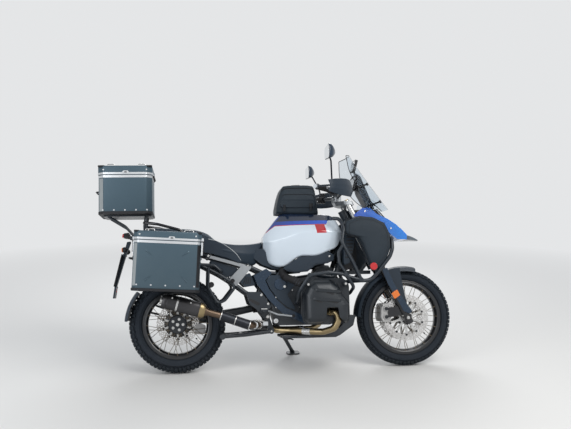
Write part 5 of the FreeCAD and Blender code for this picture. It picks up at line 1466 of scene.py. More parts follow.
    def rests(self, shop: Workshop) -> None:
        """Footrest plates and pegs for both riders, brake pedal and gear lever."""
        form = Form()
        with form.both():
            outline = [(445, 524), (548, 520), (610, 426), (596, 404), (550, 380), (470, 440)]
            form.plate(outline, 156, 165, "frame", 10)
            slot = [(470, 482), (532, 452), (540, 436), (522, 432), (478, 458), (464, 470)]
            form.plate(slot, 164, 165.6, "black", 5)
            for x, z in ((546, 500), (590, 442)):
                form.rod((x, self.plate_out + FIT, z), (x, 157, z), 18, "frame")
                form.drum((x, 167, z), Y_AXIS, 9, 3, "steel", 6, 1)
            form.rod((560, 164, 400), (560, 264, 400), 17, "frame")
            form.box((542, 578), (176, 262), (398, 408), "frame", 6)
            for k in range(6):
                y = 184 + 14 * k
                form.box((544, 576), (y - 2, y + 2), (407, 414), "steel", 1)
            beside = 128 + self.rail_tube / 2 + FIT
            hanger = [(424, 696), (490, 686), (452, 640), (385, 562), (330, 596), (350, 620)]
            form.plate(hanger, beside, beside + 10, "silver_tube", 8)
            form.rod((358, 150, 596), (358, 242, 596), 24, "rubber_part", 24)
            for k in range(7):
                form.drum((358, 178 + 9 * k, 596), Y_AXIS, 13.2, 2.2, "rubber_part", 24, 0.6)
        form.tube([(590, -170, 396), (650, -196, 372), (742, -214, 360)], 13, "silver_tube", 40, 16)
        form.ball((748, -216, 360), 11, "rubber_part", 1.0)
        form.tube([(580, 172, 420), (700, 190, 402), (742, 214, 408)], 12, "silver_tube", 40, 16)
        form.rod((742, 200, 408), (742, 246, 408), 16, "rubber_part", 20)
        shop.deliver(form, "foot_rest_set", FRAME_SLOT, "foot_rests", 1.0)

    def guards(self, shop: Workshop) -> None:
        """Crash bars and cylinder guards."""
        form = Form()
        with form.both():
            y = 318
            form.tube([(1040, 150, 570), (1110, 240, 574), (1160, y, 578), (1245, y, 578),
                       (1300, y, 640), (1375, y, 730), (1394, y, 780), (1396, 300, 850),
                       (1376, 158, 900)], self.guard_tube, "frame", 80, 20)
            form.tube([(1180, y, 584), (1130, y, 700), (1062, y, 830), (1084, 300, 930),
                       (1056, 268, 985), (1020, 244, 990)], self.guard_tube, "frame", 60, 20)
            form.tube([(1070, y, 812), (1036, y, 760), (1040, y, 690), (1096, y, 606), (1180, y, 582)], 22,
                      "frame", 50, 20)
            form.tube([(776, 151, 440), (766, 300, 455), (768, 376, 520), (836, 394, 618), (960, 398, 634),
                       (1066, 388, 618), (1128, 340, 540), (1122, 230, 500), (1074, 151, 474)], 22, "frame",
                      60, 20)
            for x, z in ((836, 618), (1066, 618)):
                form.drum((x, 392, z), Y_AXIS, 15, 14, "frame", 24, 3)
            form.drum((1178, 318, 584), Y_AXIS, 17, 15, "frame", 24, 3)
            for x, z in ((776, 440), (1040, 570), (1074, 474)):
                form.drum((x, 154, z), Y_AXIS, 19, 3.5, "frame", 24, 1)
        shop.deliver(form, "crash_bar_set", FRAME_SLOT, "crash_bars", 0.8)

    def racks(self, shop: Workshop) -> None:
        """Pannier racks, and the top rack with its grab rails."""
        form = Form()
        with form.both():
            y = 215 - FIT - self.rack_tube / 2
            form.tube([(290, 138, 662), (292, 160, 660), (290, y, 655), (240, y, 700), (-150, y, 724),
                       (-205, y, 740), (-210, 150, 800), (-196, 104, 868)], self.rack_tube, "frame", 50, 18)
            form.tube([(272, y, 640), (352, y, 588), (372, y, 552), (308, y, 472), (262, y, 452),
                       (200, y, 560), (205, y, 690)], self.rack_tube, "frame", 40, 18)
            form.drum((221, y, 574), Y_AXIS, 18, 9, "black", 28, 2)
        shop.deliver(form, "pannier_rack_pair", FRAME_SLOT, "pannier_racks", 0.6)
        deck = Form()
        deck.box((-470, -158), (-120, 120), (1031, 1041.6), "frame", 26)
        for x in (-420, -360, -300, -240):
            deck.box((x - 16, x + 16), (-86, 86), (1041.4, 1041.9), "black", 12)
        with deck.both():
            deck.tube([(-440, 100, 1034), (-330, 100, 966), (-272, 88, 900)], self.rack_tube, "frame", 50, 18)
            deck.tube([(-196, 110, 1034), (-206, 116, 972), (-204, 96, 888)], self.rack_tube, "frame", 50, 18)
            rail = [(66, 118, 812), (58, 150, 826), (40, 172, 930), (-120, 172, 974), (-206, 150, 985),
                    (-206, 112, 985)]
            deck.tube(rail, 20, "fork", 50, 20)
        shop.deliver(deck, "top_rack_and_rails", FRAME_SLOT, "top_rack", 1.0)

    def stands(self, shop: Workshop) -> None:
        """The side stand's foot plate and leg, and the folded centre stand."""
        pivot, foot = Vector((668, 160, 312)), Vector((812, 379, 77))
        axis = self.side_axis(pivot, foot)
        eye = pivot + axis * 14
        form = Form()
        form.drum(eye, axis, 20, 9, "frame", 32, 1.5)
        leg_end = foot + Vector((0, 0, 8))
        start = eye + (leg_end - eye).normalized() * 15
        form.rod(start, leg_end, 26, "frame", 24)
        up = Vector((0, -math.sin(LEAN), math.cos(LEAN)))
        level = -foot.y * math.sin(LEAN) + foot.z * math.cos(LEAN)
        sole = foot - up * level
        across = Vector((0, math.cos(LEAN), math.sin(LEAN)))
        corners = [sole + X_AXIS * a + across * b for a, b in ((-46, -37), (46, -37), (46, 37), (-46, 37))]
        loop = soft_loop(corners, 20, 5)
        form.skin([[p + up * 0.3 for p in loop], [p + up * 8.7 for p in loop]], "frame")
        form.rod(sole + up * 8, foot + (pivot - foot).normalized() * 24, 33, "frame", 24)
        prong = start + (leg_end - start) * 0.55
        form.tube([prong, prong + Vector((40, 24, 0)), prong + Vector((62, 44, -8))], 10, "frame", 20, 12)
        shop.deliver(form, "side_stand_leg", FRAME_SLOT, "side_stand", 0.8, body="side_stand")
        lug = Form()
        lug.drum(pivot - axis * 10, axis, 24, 12, "frame", 32, 1.5)
        lug.drum(pivot + axis * 12, axis, 6, 16, "steel", 20)
        lug.drum(pivot + axis * 27, axis, 10, 3, "steel", 6, 0.8)
        shop.deliver(lug, "side_stand_lug", FRAME_SLOT, "stand_bracket", 0.5)
        folded = Form()
        rear = Vector((287, 0, 236))
        with folded.both():
            at = Vector((612, 118, 262))
            end = rear + Vector((0, 128, 0))
            folded.tube([at, (440, 120, 244), end], 26, "frame", 120, 20)
            folded.drum(at, Y_AXIS, 17, 12, "frame", 28, 1.5)
            folded.drum(end + Vector((4, 0, 0)), Y_AXIS, 19, 20, "frame", 28, 3)
        folded.rod((420, -120, 243), (420, 120, 243), 22, "frame")
        folded.tube([(330, 128, 240), (330, 170, 240), (300, 196, 246)], 14, "frame", 24, 16)
        folded.ball((298, 198, 246), 11, "rubber_part", 1.0)
        shop.deliver(folded, "centre_stand_folded", FRAME_SLOT, "centre_stand", 0.8, body="centre_stand")

    @staticmethod
    def side_axis(pivot: Vector, foot: Vector) -> Vector:
        """The side stand's hinge axis, from its foot's direction and its stowed one."""
        change = (foot - pivot).normalized() - Vector((-0.93, 0.33, -0.05)).normalized()
        guess = Vector((0, 0.9, 0.3))
        return Vector((-(change.y * guess.y + change.z * guess.z) / change.x, guess.y, guess.z)).normalized()

    def build(self, shop: Workshop) -> None:
        """Make every piece of the chassis."""
        self.main_frame(shop)
        self.rear_frame(shop)
        self.arm(shop)
        self.hugger(shop)
        self.front_suspension(shop)
        self.rests(shop)
        self.guards(shop)
        self.racks(shop)
        self.stands(shop)


@dataclass
class Engine:
    """Crankcase, cylinders, exhaust and the tray below them."""

    half: float = 150.0
    out: float = 402.0

    def crankcase(self, shop: Workshop) -> None:
        """The crankcase's block with round side covers, their bolts and a ribbed front cover."""
        form = Form()
        outline = [(640, 330), (656, 300), (1000, 296), (1075, 340), (1085, 500), (1060, 587), (900, 612),
                   (700, 600), (606.3, 560), (606.3, 440)]
        form.plate(outline, -self.half, self.half, "cast", 14)
        studs = []
        for side in SIDES:
            for x, z, r in ((720, 450, 96), (1000, 458, 52)):
                form.drum((x, side * self.half, z), Y_AXIS, r, 4, "cast", 48, 3)
                form.drum((x, side * (self.half + 3), z), Y_AXIS, r * 0.62, 3, "cover", 40, 2)
                centre = Vector((x, side * (self.half + 5), z))
                studs += [(place, Y_AXIS * side) for place in around(centre, -Y_AXIS, 0.88 * r, 8)]
        form.plate([(1060, 380), (1092, 392), (1098, 470), (1066, 486)], -92, 92, "cast", 8)
        for k in range(7):
            z = 396 + 13 * k
            form.box((1088, 1104), (-84, 84), (z - 2.4, z + 2.4), "cast", 2)
        shop.deliver(form, "crankcase", "engine_dark", "engine_block", 4.0, 3)
        shop.rivets("crankcase_bolts", studs, 5, 7, "engine_dark")

    def cylinder(self, form: Form, side: int, studs: list[Any]) -> None:
        """One cylinder: finned barrel, head with fins, ribbed valve cover and intake hose."""
        face = self.half + FIT

        def block(x0: float, x1: float, z0: float, z1: float, y: float, radius: float) -> list[Vector]:
            return soft_loop([(x0, side * y, z0), (x1, side * y, z0), (x1, side * y, z1), (x0, side * y, z1)],
                             radius, 6)

        form.skin([block(850, 1040, 370, 540, face, 30), block(850, 1040, 370, 540, 236, 30)], "cast")
        for k in range(7):
            y = 160 + 10.5 * k
            form.skin([block(836, 1054, 356, 554, y, 30), block(834, 1056, 354, 556, y + 1.5, 32),
                       block(834, 1056, 354, 556, y + 3.2, 32), block(836, 1054, 356, 554, y + 4.6, 30)],
                      "fin")
        form.skin([block(822, 1072, 340, 564, 234, 44), block(808, 1086, 324, 580, 246, 52),
                   block(798, 1096, 314, 590, 270, 56), block(794, 1098, 310, 594, 300, 58),
                   block(790, 1100, 306, 598, 306, 60), block(790, 1100, 306, 598, 316, 60)], "cast")
        for k in range(3):
            y = 256 + 14 * k
            form.skin([block(800, 1094, 316, 588, y, 56), block(795, 1098, 311, 593, y + 2, 58),
                       block(795, 1098, 311, 593, y + 4.5, 58), block(800, 1094, 316, 588, y + 6.5, 56)],
                      "fin")

        def lid(y: float, share: float, lift: float = 0.0) -> list[Vector]:
            corners = [(794, 330), (794, 506), (824, 566), (862, 594), (972, 594), (1024, 558), (1050, 500),
                       (1096, 436), (1096, 326), (1078, 308), (1062, 308), (1050, 412), (934, 412),
                       (926, 308), (814, 308)]
            return soft_loop([(946 + share * (x - 946), side * y, 450 + lift + share * (z - 450))
                              for x, z in corners], 16, 4)

        form.skin([lid(315, 1.0), lid(322, 1.0), lid(328, 0.97), lid(344, 0.97), lid(348, 0.945),
                   lid(362, 0.93), lid(380, 0.88, -4), lid(390, 0.82, -8), lid(398, 0.72, -12),
                   lid(self.out, 0.62, -14)], "cover")
        for z, x0, x1 in ((460, 850, 1034), (516, 864, 1030)):
            rib = []
            for y, grow in ((380, 10), (396, 4), (self.out + 3, -8), (self.out + 6, -14)):
                a, b = x0 - grow, x1 + grow
                rib.append(soft_loop([(a, side * y, z), (b, side * y, z - 14), (b, side * y, z + 2),
                                      (a, side * y, z + 18)], 5, 3))
            form.skin(rib, "cover")
        for x0, x1, z in ((934, 990, 494), (946, 1012, 438), (866, 914, 444)):
            slot = [(x0, z + 12), (x0 + 8, z + 20), (x1, z + 4), (x1 - 8, z - 4)]
            form.plate(slot, side * (self.out - 12), side * (self.out + 1), "black", 3)
        for x, z in ((828, 344), (828, 560), (1068, 344), (1068, 560)):
            form.drum((x, side * 352, z), Y_AXIS, 15, 20, "cover", 24, 3)
            studs.append(((x, side * 374, z), Y_AXIS * side))
        inlet = [(800, side * 268, 560), (756, side * 240, 590), (704, side * 190, 612)]
        form.tube(inlet, 48, "rubber_part", 60, 24)
        for share in (0.2, 0.5, 0.8):
            at = Vector(inlet[0]).lerp(Vector(inlet[1]), share)
            form.drum(at, Vector(inlet[1]) - Vector(inlet[0]), 26, 2.5, "cast", 28, 1)

    def cylinders(self, shop: Workshop) -> None:
        """Both cylinders and their cover bolts."""
        form, studs = Form(), []
        for side in (-1, 1):
            self.cylinder(form, side, studs)
        shop.deliver(form, "cylinder_pair", "engine_dark", "cylinders")
        shop.rivets("valve_cover_bolts", studs, 8, 8, "engine_dark")

    def exhaust(self, shop: Workshop) -> None:
        """Headers, collector, link pipe and sleeve, with their heat tints."""
        form = Form()
        with form.both():
            port, elbow = Vector((946, 300, 384)), Vector((1006, 340, 380))
            form.tube([port, elbow, (1022, 346, 338), (998, 330, 280), (934, 262, 256), (890, 232, 256),
                       (740, 106, 262), (650, 62, 266), (590, 50, 296)], 42, "gold", 50, 28)
            form.drum(port.lerp(elbow, 0.5), elbow - port, 27, 3, "gold", 28, 1)
            at, along = Vector((862, 209, 257)), Vector((-150, -126, 6)).normalized()
            form.rod(at, at + along * 60, 47, "steel", 28)
        rows = [(602, 66, 20), (596, 76, 27), (580, 84, 30), (480, 84, 30), (470, 78, 26)]
        form.skin([soft_loop([(x, -half, 302 - rise), (x, half, 302 - rise), (x, half, 302 + rise),
                              (x, -half, 302 + rise)], 18) for x, half, rise in rows], "can")
        bend, end = self.silencer_at(self.length + 86), self.silencer_at(self.length + 20 + FIT)
        form.tube([(530, -84, 304), (524, -130, 304), (470, -190, 308), bend, end], 44, "copper", 60, 28)
        form.rod((462, -190, 308.5), bend + Vector((20, 0, -6)), 63, "sleeve", 32)
        for share in (0.0, 0.5, 1.0):
            at = Vector((462, -190, 308.5)).lerp(bend + Vector((20, 0, -6)), share)
            form.drum(at, bend - Vector((462, -190, 308.5)), 33.2, 3, "steel", 32, 1)
        shop.deliver(form, "exhaust_pipe_set", "exhaust_steel", "exhaust_pipes", 0.6)

    @property
    def length(self) -> float:
        """The silencer's length."""
        return (SILENCER_FRONT - SILENCER_REAR).length

    def silencer_at(self, along: float, lift: float = 0.0) -> Vector:
        """A point on the silencer's axis, a distance ahead of its rear end, lifted square to it."""
        axis = (SILENCER_FRONT - SILENCER_REAR).normalized()
        return SILENCER_REAR + axis * along + Vector((-axis.z, 0, axis.x)) * lift

    def silencer(self, shop: Workshop) -> None:
        """The can with its rolled ends, strap, gold collar, upper heat shield and outlet."""
        form = Form()
        up = (self.silencer_at(0, 1) - self.silencer_at(0)).normalized()

        def section(along: float, half_up: float, half_side: float, radius: float,
                    lift: float = 0.0) -> list[Vector]:
            centre = self.silencer_at(along, lift)
            return soft_loop([centre + Y_AXIS * (s * half_side) + up * (t * half_up)
                              for s, t in SQUARE], radius, 7)

        long = self.length
        form.skin([section(2, 34, 34, 26), section(0, 40, 40, 30), section(6, 44, 43, 32),
                   section(18, 48, 46, 34), section(24, 48, 46, 34), section(26, 46.5, 44.5, 34),
                   section(30, 46.5, 44.5, 34), section(32, 48, 46, 34), section(long - 44, 48, 46, 34),
                   section(long - 42, 46.5, 44.5, 34), section(long - 38, 46.5, 44.5, 34),
                   section(long - 36, 48, 46, 34)], "can")
        form.skin([section(long - 37, 48.6, 46.6, 34), section(long - 20, 48.6, 46.6, 34),
                   section(long - 6, 42, 42, 32), section(long, 38, 38, 30)], "gold")
        form.skin([section(long - 1, 30, 30, 24), section(long + 20, 24, 24, 22)], "copper")
        form.turned([(-11, 28), (-13, 26), (-13, 22), (-10, 20), (48, 20), (48, 24), (14, 28)],
                    self.silencer_at(0), "steel", 36, axis=self.silencer_at(1) - self.silencer_at(0))
        form.drum(self.silencer_at(46), self.silencer_at(1) - self.silencer_at(0), 20, 1, "black", 32)
        shield = []
        for along, reach, lift in ((30, 22, 49), (44, 34, 52), (120, 40, 54), (200, 38, 54), (232, 22, 50)):
            centre = self.silencer_at(along)
            ring = []
            for thick in (0.0, 3.0):
                arc = [centre + Y_AXIS * (-(44.5 + thick) * math.sin(math.radians(a)))
                       + up * ((lift - 5 + thick) * math.cos(math.radians(a)))
                       for a in range(-20, 100 - (40 - int(reach)), 8)][:10]
                ring += arc if not thick else arc[::-1]
            shield.append(ring)
        form.skin(shield, "shield")
        form.skin([section(92, 49.4, 47.4, 34), section(104, 49.4, 47.4, 34)], "steel")
        shop.deliver(form, "silencer_can", "silencer_dark", "silencer", 0.5)
        studs = [(self.silencer_at(a, 30) - Y_AXIS * 46, -Y_AXIS) for a in (58, 180)]
        shop.rivets("silencer_shield_bolts", studs, 5, 10, "silencer_dark")

    def tray(self, shop: Workshop) -> None:
        """The skid plate with its raised sides and pressed ribs."""
        form = Form()
        low, wall = 214.0, 4.0
        line = [(680, low), (1030, low), (1060, low + 12), (1150, 288), (1168, 352)]
        inner = [(1163, 354), (1145, 292), (1057, low + 16), (1028, low + wall), (680, low + wall)]
        form.plate(line + inner, -168, 168, "frame")
        form.pair(line + [(1130, 352), (1060, 276), (1000, 246), (960, 230), (680, 230)], 164, 168, "frame",
                  3)
        for k in range(5):
            y = -96 + 48 * k
            form.box((700, 1010), (y - 9, y + 9), (low - 3, low + 1), "frame", 6)
        shop.deliver(form, "skid_tray", FRAME_SLOT, "skid_plate", 1.0)

    def fittings(self, shop: Workshop) -> None:
        """Clamps, hoses and small castings round the engine."""
        form = Form()
        form.plate([(900, 614), (934, 684), (1030, 672), (1062, 600), (1050, 592), (900, 612)], -96, 96,
                   "cast", 12)
        form.plate([(930, 668), (944, 694), (1012, 688), (1024, 668)], -70, 70, "fin", 8)
        with form.both():
            form.tube([(704, 190, 612), (690, 150, 640), (700, 96, 668)], 50, "rubber_part", 40, 20)
            form.drum((840, 300, 372), Y_AXIS, 4, 12, "steel", 12)
            form.drum((1010, 98, 640), Y_AXIS, 24, 6, "cast", 32, 2)
            form.tube([(1040, 106, 632), (1090, 128, 560), (1086, 150, 500)], 14, "rubber_part", 30, 12)
            inner = [(1096, 860), (1188, 850), (1196, 730), (1176, 668), (1112, 646), (1098, 700)]
            form.plate(inner, 124, 130, "black", 8)
        for x, y, z, r, finish in ((530, -124, 304, 25, "steel"), (500, -163, 306, 25, "strip")):
            form.drum((x, y, z), (-0.5, -0.85, 0.05), r, 6, finish, 28, 1)
        form.box((556, 592), (-128, -100), (300, 326), "strip", 4)
        form.drum((590, -104, 356), Y_AXIS, 11, 14, "steel", 24, 1.5)
        form.tube([(600, -108, 352), (560, -140, 330), (500, -150, 338)], 8, "steel", 20, 10)
        form.drum((640, -152, 330), Y_AXIS, 16, 6, "strip", 24, 1.5)
        form.drum((640, -158, 330), Y_AXIS, 8, 3, "steel", 6, 0.8)
        shop.deliver(form, "engine_fittings", "engine_dark", bevel=0.8)

    def build(self, shop: Workshop) -> None:
        """Make every piece of the engine and exhaust."""
        self.crankcase(shop)
        self.cylinders(shop)
        self.exhaust(shop)
        self.silencer(shop)
        self.tray(shop)
        self.fittings(shop)


# Tank, seats, fairing and soft bags


TANK_REAR = (703.0, 1040.0)
TANK_FRONT = (987.0, 1026.0)
SEAT_STEP = 250.0


def crest(x: float) -> float:
    """Height of the tank's flat top."""
    share = (x - TANK_REAR[0]) / (TANK_FRONT[0] - TANK_REAR[0])
    return TANK_REAR[1] + (TANK_FRONT[1] - TANK_REAR[1]) * share


TANK_ROWS = [(572, 772, 850, 886, 74, 96, 60), (612, 702, 850, 942, 112, 138, 74),
             (703, 684, 870, crest(703), 150, 176, 92), (800, 744, 900, crest(800), 190, 214, 116),
             (908, 748, 910, crest(908), 212, 236, 128), (987, 776, 910, crest(987), 216, 240, 120),
             (1050, 806, 900, 1008, 204, 226, 100), (1084, 862, 905, 960, 180, 196, 90)]


def tank_low(x: float) -> float:
    """Height of the tank's underside."""
    for a, b in zip(TANK_ROWS, TANK_ROWS[1:]):
        if a[0] <= x <= b[0]:
            return a[1] + (b[1] - a[1]) * (x - a[0]) / (b[0] - a[0])
    raise ValueError(f"no tank at x {x}")


def smooth_rows(rows: Sequence[Sequence[float]], steps: int = 4) -> list[tuple[float, ...]]:
    """Rows of numbers with smooth steps between them, each given row kept.

    Args:
        rows: rows of numbers, the first their place along the piece.
        steps: lengths between two given rows.

    Returns:
        The rows with their in-between rows.
    """
    result = []
    for i in range(len(rows) - 1):
        a, b = rows[i], rows[i + 1]
        before, after = rows[max(0, i - 1)], rows[min(len(rows) - 1, i + 2)]
        for k in range(steps):
            t = k / steps
            row = [a[0] + (b[0] - a[0]) * t]
            for c in range(1, len(a)):
                near = (b[c] - before[c]) / (b[0] - before[0]) * (b[0] - a[0])
                far = (after[c] - a[c]) / (after[0] - a[0]) * (b[0] - a[0])
                row.append(a[c] * (2 * t ** 3 - 3 * t ** 2 + 1) + near * (t ** 3 - 2 * t ** 2 + t)
                           + b[c] * (3 * t ** 2 - 2 * t ** 3) + far * (t ** 3 - t ** 2))
            result.append(tuple(row))
    return result + [tuple(rows[-1])]


@dataclass
class Body:
    """Painted bodywork, seats, screen and soft bags."""

    beak_in: float = 143.0
    beak_out: float = 157.0

    def tank(self, shop: Workshop) -> None:
        """The fuel tank's painted shell."""
        form = Form()
        rings = []
        for x, low, waist, high, half_low, half_waist, half_high in smooth_rows(TANK_ROWS, 5):
            rings.append(soft_loop([(x, -half_low, low), (x, half_low, low), (x, half_waist, waist),
                                    (x, half_high, high), (x, -half_high, high), (x, -half_waist, waist)], 18,
                                   7))
        form.skin(rings, "tank")
        shop.deliver(form, "fuel_tank_shell", "tank_white", "fuel_tank")

    def tank_bag(self, shop: Workshop) -> None:
        """The tank bag's padded body with its welts, side pockets, straps, buckles and handle."""
        form = Form()
        rows = [(664, 1082, 104, 98), (680, 1150, 118, 106), (700, 1206, 128, 112), (716, 1224, 132, 116),
                (800, 1228, 136, 118), (904, 1224, 134, 116), (924, 1200, 126, 110), (938, 1110, 114, 104),
                (944, 1062, 108, 100)]
        rings = []
        for x, high, wide, narrow in smooth_rows(rows, 4):
            low = crest(x) + FIT
            mid = (low + high) / 2
            rings.append(soft_loop([(x, -wide * 0.94, low), (x, wide * 0.94, low), (x, wide * 1.02, mid),
                                    (x, narrow, high), (x, -narrow, high), (x, -wide * 1.02, mid)], 18, 6))
        form.skin(rings, "fabric")
        bag = shop.deliver(form, "tank_bag_body", "bag_fabric", "tank_bag")
        trim = Form()
        for share, width in ((0.78, 7), (0.34, 5)):
            for side in SIDES:
                line = []
                for x, high, wide, narrow in smooth_rows(rows[2:7], 3):
                    mid = (crest(x) + high) / 2
                    z = mid + (high - mid) * share
                    y = wide * 1.02 + (narrow - wide * 1.02) * share
                    line.append((x, side * (y + 0.5), z))
                trim.tube(line, width, "webbing", 30, 8)
        with trim.both():
            pocket = [(690, 1076), (914, 1074), (922, 1098), (912, 1118), (700, 1122), (688, 1100)]
            loop = soft_loop([(x, 132, z) for x, z in pocket], 12, 4)
            flat = [Vector((0.97 * (p.x - 806) + 806, 142, 0.9 * (p.z - 1098) + 1098)) for p in loop]
            trim.skin([loop, flat], "fabric")
            trim.box((884, 900), (118, 146), (1052, 1092), "webbing", 3)
            trim.box((880, 904), (138, 149), (1078, 1100), "black", 4)
            trim.box((706, 722), (118, 146), (1050, 1094), "webbing", 3)
        trim.tube([(772, 0, 1224), (780, 0, 1238), (840, 0, 1240), (850, 0, 1226)], 12, "webbing", 14, 10)
        shop.deliver(trim, "tank_bag_trim", "bag_fabric", bevel=0.6)

    def seat_rows(self) -> tuple[list[Any], list[Any]]:
        """Section rows of the rider's and the passenger's seat."""
        rider = [(566, 806, 852, 52, 40), (520, 706, 842, 96, 74), (440, 702, 834, 138, 116),
                 (350, 726, 838, 156, 136), (SEAT_STEP, 754, 858, 150, 130)]
        passenger = [(SEAT_STEP - FIT, 790, 868, 142, 112), (228, 782, 888, 145, 116),
                     (196, 786, 912, 147, 120), (120, 806, 936, 145, 120), (0, 836, 946, 140, 116),
                     (-140, 870, 952, 128, 106), (-176, 878, 946, 116, 96), (-190, 884, 928, 104, 84)]
        return rider, passenger

    def seats(self, shop: Workshop) -> None:
        """Both seats with their piping and stitches, and the panels beside the front seat's nose."""
        rider, passenger = self.seat_rows()
        form = Form()
        rings = []
        for x, low, high, wide, narrow in smooth_rows(rider, 5):
            middle = (low + high) / 2 + 8
            rings.append(soft_loop([(x, -wide * 0.85, low), (x, wide * 0.85, low), (x, wide, middle),
                                    (x, narrow, high), (x, 0, high + 5), (x, -narrow, high),
                                    (x, -wide, middle)], 20, 5))
        form.skin(rings, "vinyl")
        seat = shop.deliver(form, "rider_seat_pad", "seat_vinyl", "rider_seat")
        form = Form()
        rings = []
        for x, low, high, wide, narrow in smooth_rows(passenger, 4):
            middle = high - 26
            rings.append(soft_loop([(x, -wide, low), (x, wide, low), (x, wide * 0.99, middle),
                                    (x, narrow, high), (x, 0, high + 4), (x, -narrow, high),
                                    (x, -wide * 0.99, middle)], 22, 5))
        form.skin(rings, "vinyl")
        seat = shop.deliver(form, "passenger_seat_pad", "seat_vinyl", "passenger_seat")
        shroud = Form()
        nose = [(498, 748), (560, 700), (640, 668), (712, 660), (716, 688), (640, 712), (604, 752),
                (578, 800), (560, 806), (524, 800)]
        shroud.pair(nose, 92, 100, "plastic", 6)
        shop.deliver(shroud, "seat_front_shroud_pair", "plastic_dark", bevel=1.5)
        piping = Form()
        with piping.both():
            line = [(206, 146, 874), (252, 146, 862), (308, 149, 838), (352, 155, 806),
                    (390, 152, 772), (418, 144, 730)]
            piping.tube(line, 4.5, "piping", 60, 8)
            line = [(x, wide * 0.985, high - 24) for x, _, high, wide, _ in smooth_rows(passenger[1:7])]
            piping.tube(line, 5.5, "vinyl", 30, 8)
        shop.deliver(piping, "seat_piping", "seat_vinyl")
        share = 0.62
        for number, rows in enumerate((rider[1:], passenger[2:7])):
            for side, word in SIDES.items():
                path = [(x, side * narrow * share, high + 5 * (1 - share) + 0.4)
                        for x, _, high, _, narrow in smooth_rows(rows, 3)]
                shop.seam(f"seat_stitches_{number}_{word}", path)

    def fairing(self, shop: Workshop) -> None:
        """The beak with its inset panels, its tip, and the headlamp."""
        beak = [(1165, 1010), (1239, 1066), (1290, 1066), (1340, 1022), (1410, 990), (1470, 950), (1520, 890),
                (1535, 850), (1470, 852), (1430, 884), (1380, 940), (1300, 980), (1240, 1004)]
        form = Form()
        form.pair(beak, self.beak_in, self.beak_out, "blue", 9)
        form.plate([(1430, 972), (1500, 926), (1540, 884), (1540, 850), (1500, 851), (1490, 880),
                    (1424, 940)], -146, 146, "blue", 4)
        inset = [(1262, 1034), (1296, 1040), (1344, 1006), (1408, 974), (1396, 960), (1330, 986),
                 (1270, 1016)]
        form.pair(inset, self.beak_out - 2, self.beak_out + 2.5, "blue", 6)
        with form.both():
            for x, z in ((1256, 1044), (1430, 926)):
                form.drum((x, self.beak_out, z), Y_AXIS, 6, 2, "steel", 20, 0.8)
        shop.deliver(form, "beak_panels", "paint_blue", "beak", 2.0, 3)
        tip = Form()
        rows = [(1540.3, 851, 884, 116), (1570, 851, 879, 98), (1600, 850, 872, 72), (1630, 848, 861, 48),
                (1648, 846, 854, 30)]
        rings = [soft_loop([(x, -half, low), (x, half, low), (x, half * 0.9, high), (x, -half * 0.9, high)],
                           4, 3) for x, low, high, half in smooth_rows(rows, 3)]
        tip.skin(rings, "grey")
        shop.deliver(tip, "beak_tip_shell", "paint_grey", "beak_tip")
        glass = Form()
        glass.plate([(1404, 946), (1412, 944), (1424, 976), (1352, 1062), (1343, 1060), (1414, 975)], -117,
                    117, "lamp")
        shop.deliver(glass, "headlamp_glass", "lamp_glass", bevel=0.8)
        bowl = Form()
        bowl.plate([(1330, 960), (1402, 946), (1411, 975), (1340, 1058), (1322, 1060)], -115, 115, "black", 6)
        face = Vector((0.77, 0, 0.64))
        for y, r in ((-56, 44), (56, 44), (0, 22)):
            at = Vector((1376, y, 1016))
            bowl.turned([(2, r), (5, r), (5, r - 3), (-2, r * 0.5), (-4, 3), (-7, 3), (-7, r)], at,
                        "reflector", 32, axis=face)
            bowl.ball(at + face * 1, r * 0.32, "lamp", 0.5, face)
        shop.deliver(bowl, "headlamp_bowl", "lamp_glass", "headlamp", 0.8)

    def screen(self, shop: Workshop) -> None:
        """The tall windscreen, its rim, its four mounts and the side deflectors."""
        rows = [(1452, 1066, 120, 70), (1360, 1190, 168, 110), (1262, 1330, 176, 100), (1190, 1440, 130, 46)]
        shares = [-1 + k / 9 for k in range(19)]
        line = smooth_rows([(z, x, half, sweep) for x, z, half, sweep in rows], 7)
        rings, rim = [], []
        for z, x, half, sweep in line:
            outer = [Vector((x - sweep * s * s, s * half, z - 0.3 * sweep * s * s)) for s in shares]
            rings.append(outer + [p - Vector((3.5, 0, 1.05)) for p in reversed(outer)])
            rim.append((outer[0], outer[-1]))
        form = Form()
        form.skin(rings, "clear")
        shop.deliver(form, "clear_windscreen", "screen_clear", "windscreen")
        edge = Form()
        top = [Vector((line[-1][1] - line[-1][3] * s * s, s * line[-1][2],
                       line[-1][0] - 0.3 * line[-1][3] * s * s)) for s in shares]
        loop = [a for a, _ in rim] + top[1:-1] + [b for _, b in reversed(rim)]
        edge.tube([p - Vector((1.7, 0, 0.5)) for p in loop], 5, "black", 10, 8)
        with edge.both():
            for z, reach in ((1120, 90), (1240, 96)):
                x = 1452 - (z - 1066) * 0.73
                at = Vector((x - 34, reach, z - 6))
                edge.drum(at, Vector((0.8, 0, 0.5)), 11, 5, "black", 20, 1)
                edge.rod(at, (x - 110, 60, z - 30), 12, "black", 12)
            wing = [(1262, 1048), (1306, 1044), (1344, 1062), (1338, 1092), (1304, 1122), (1270, 1116)]
            edge.plate(wing, 160, 164, "clear", 8)
            edge.rod((1300, 150, 1058), (1300, 163, 1078), 12, "black", 12)
        shop.deliver(edge, "windscreen_trim", "plastic_dark", bevel=0.4)

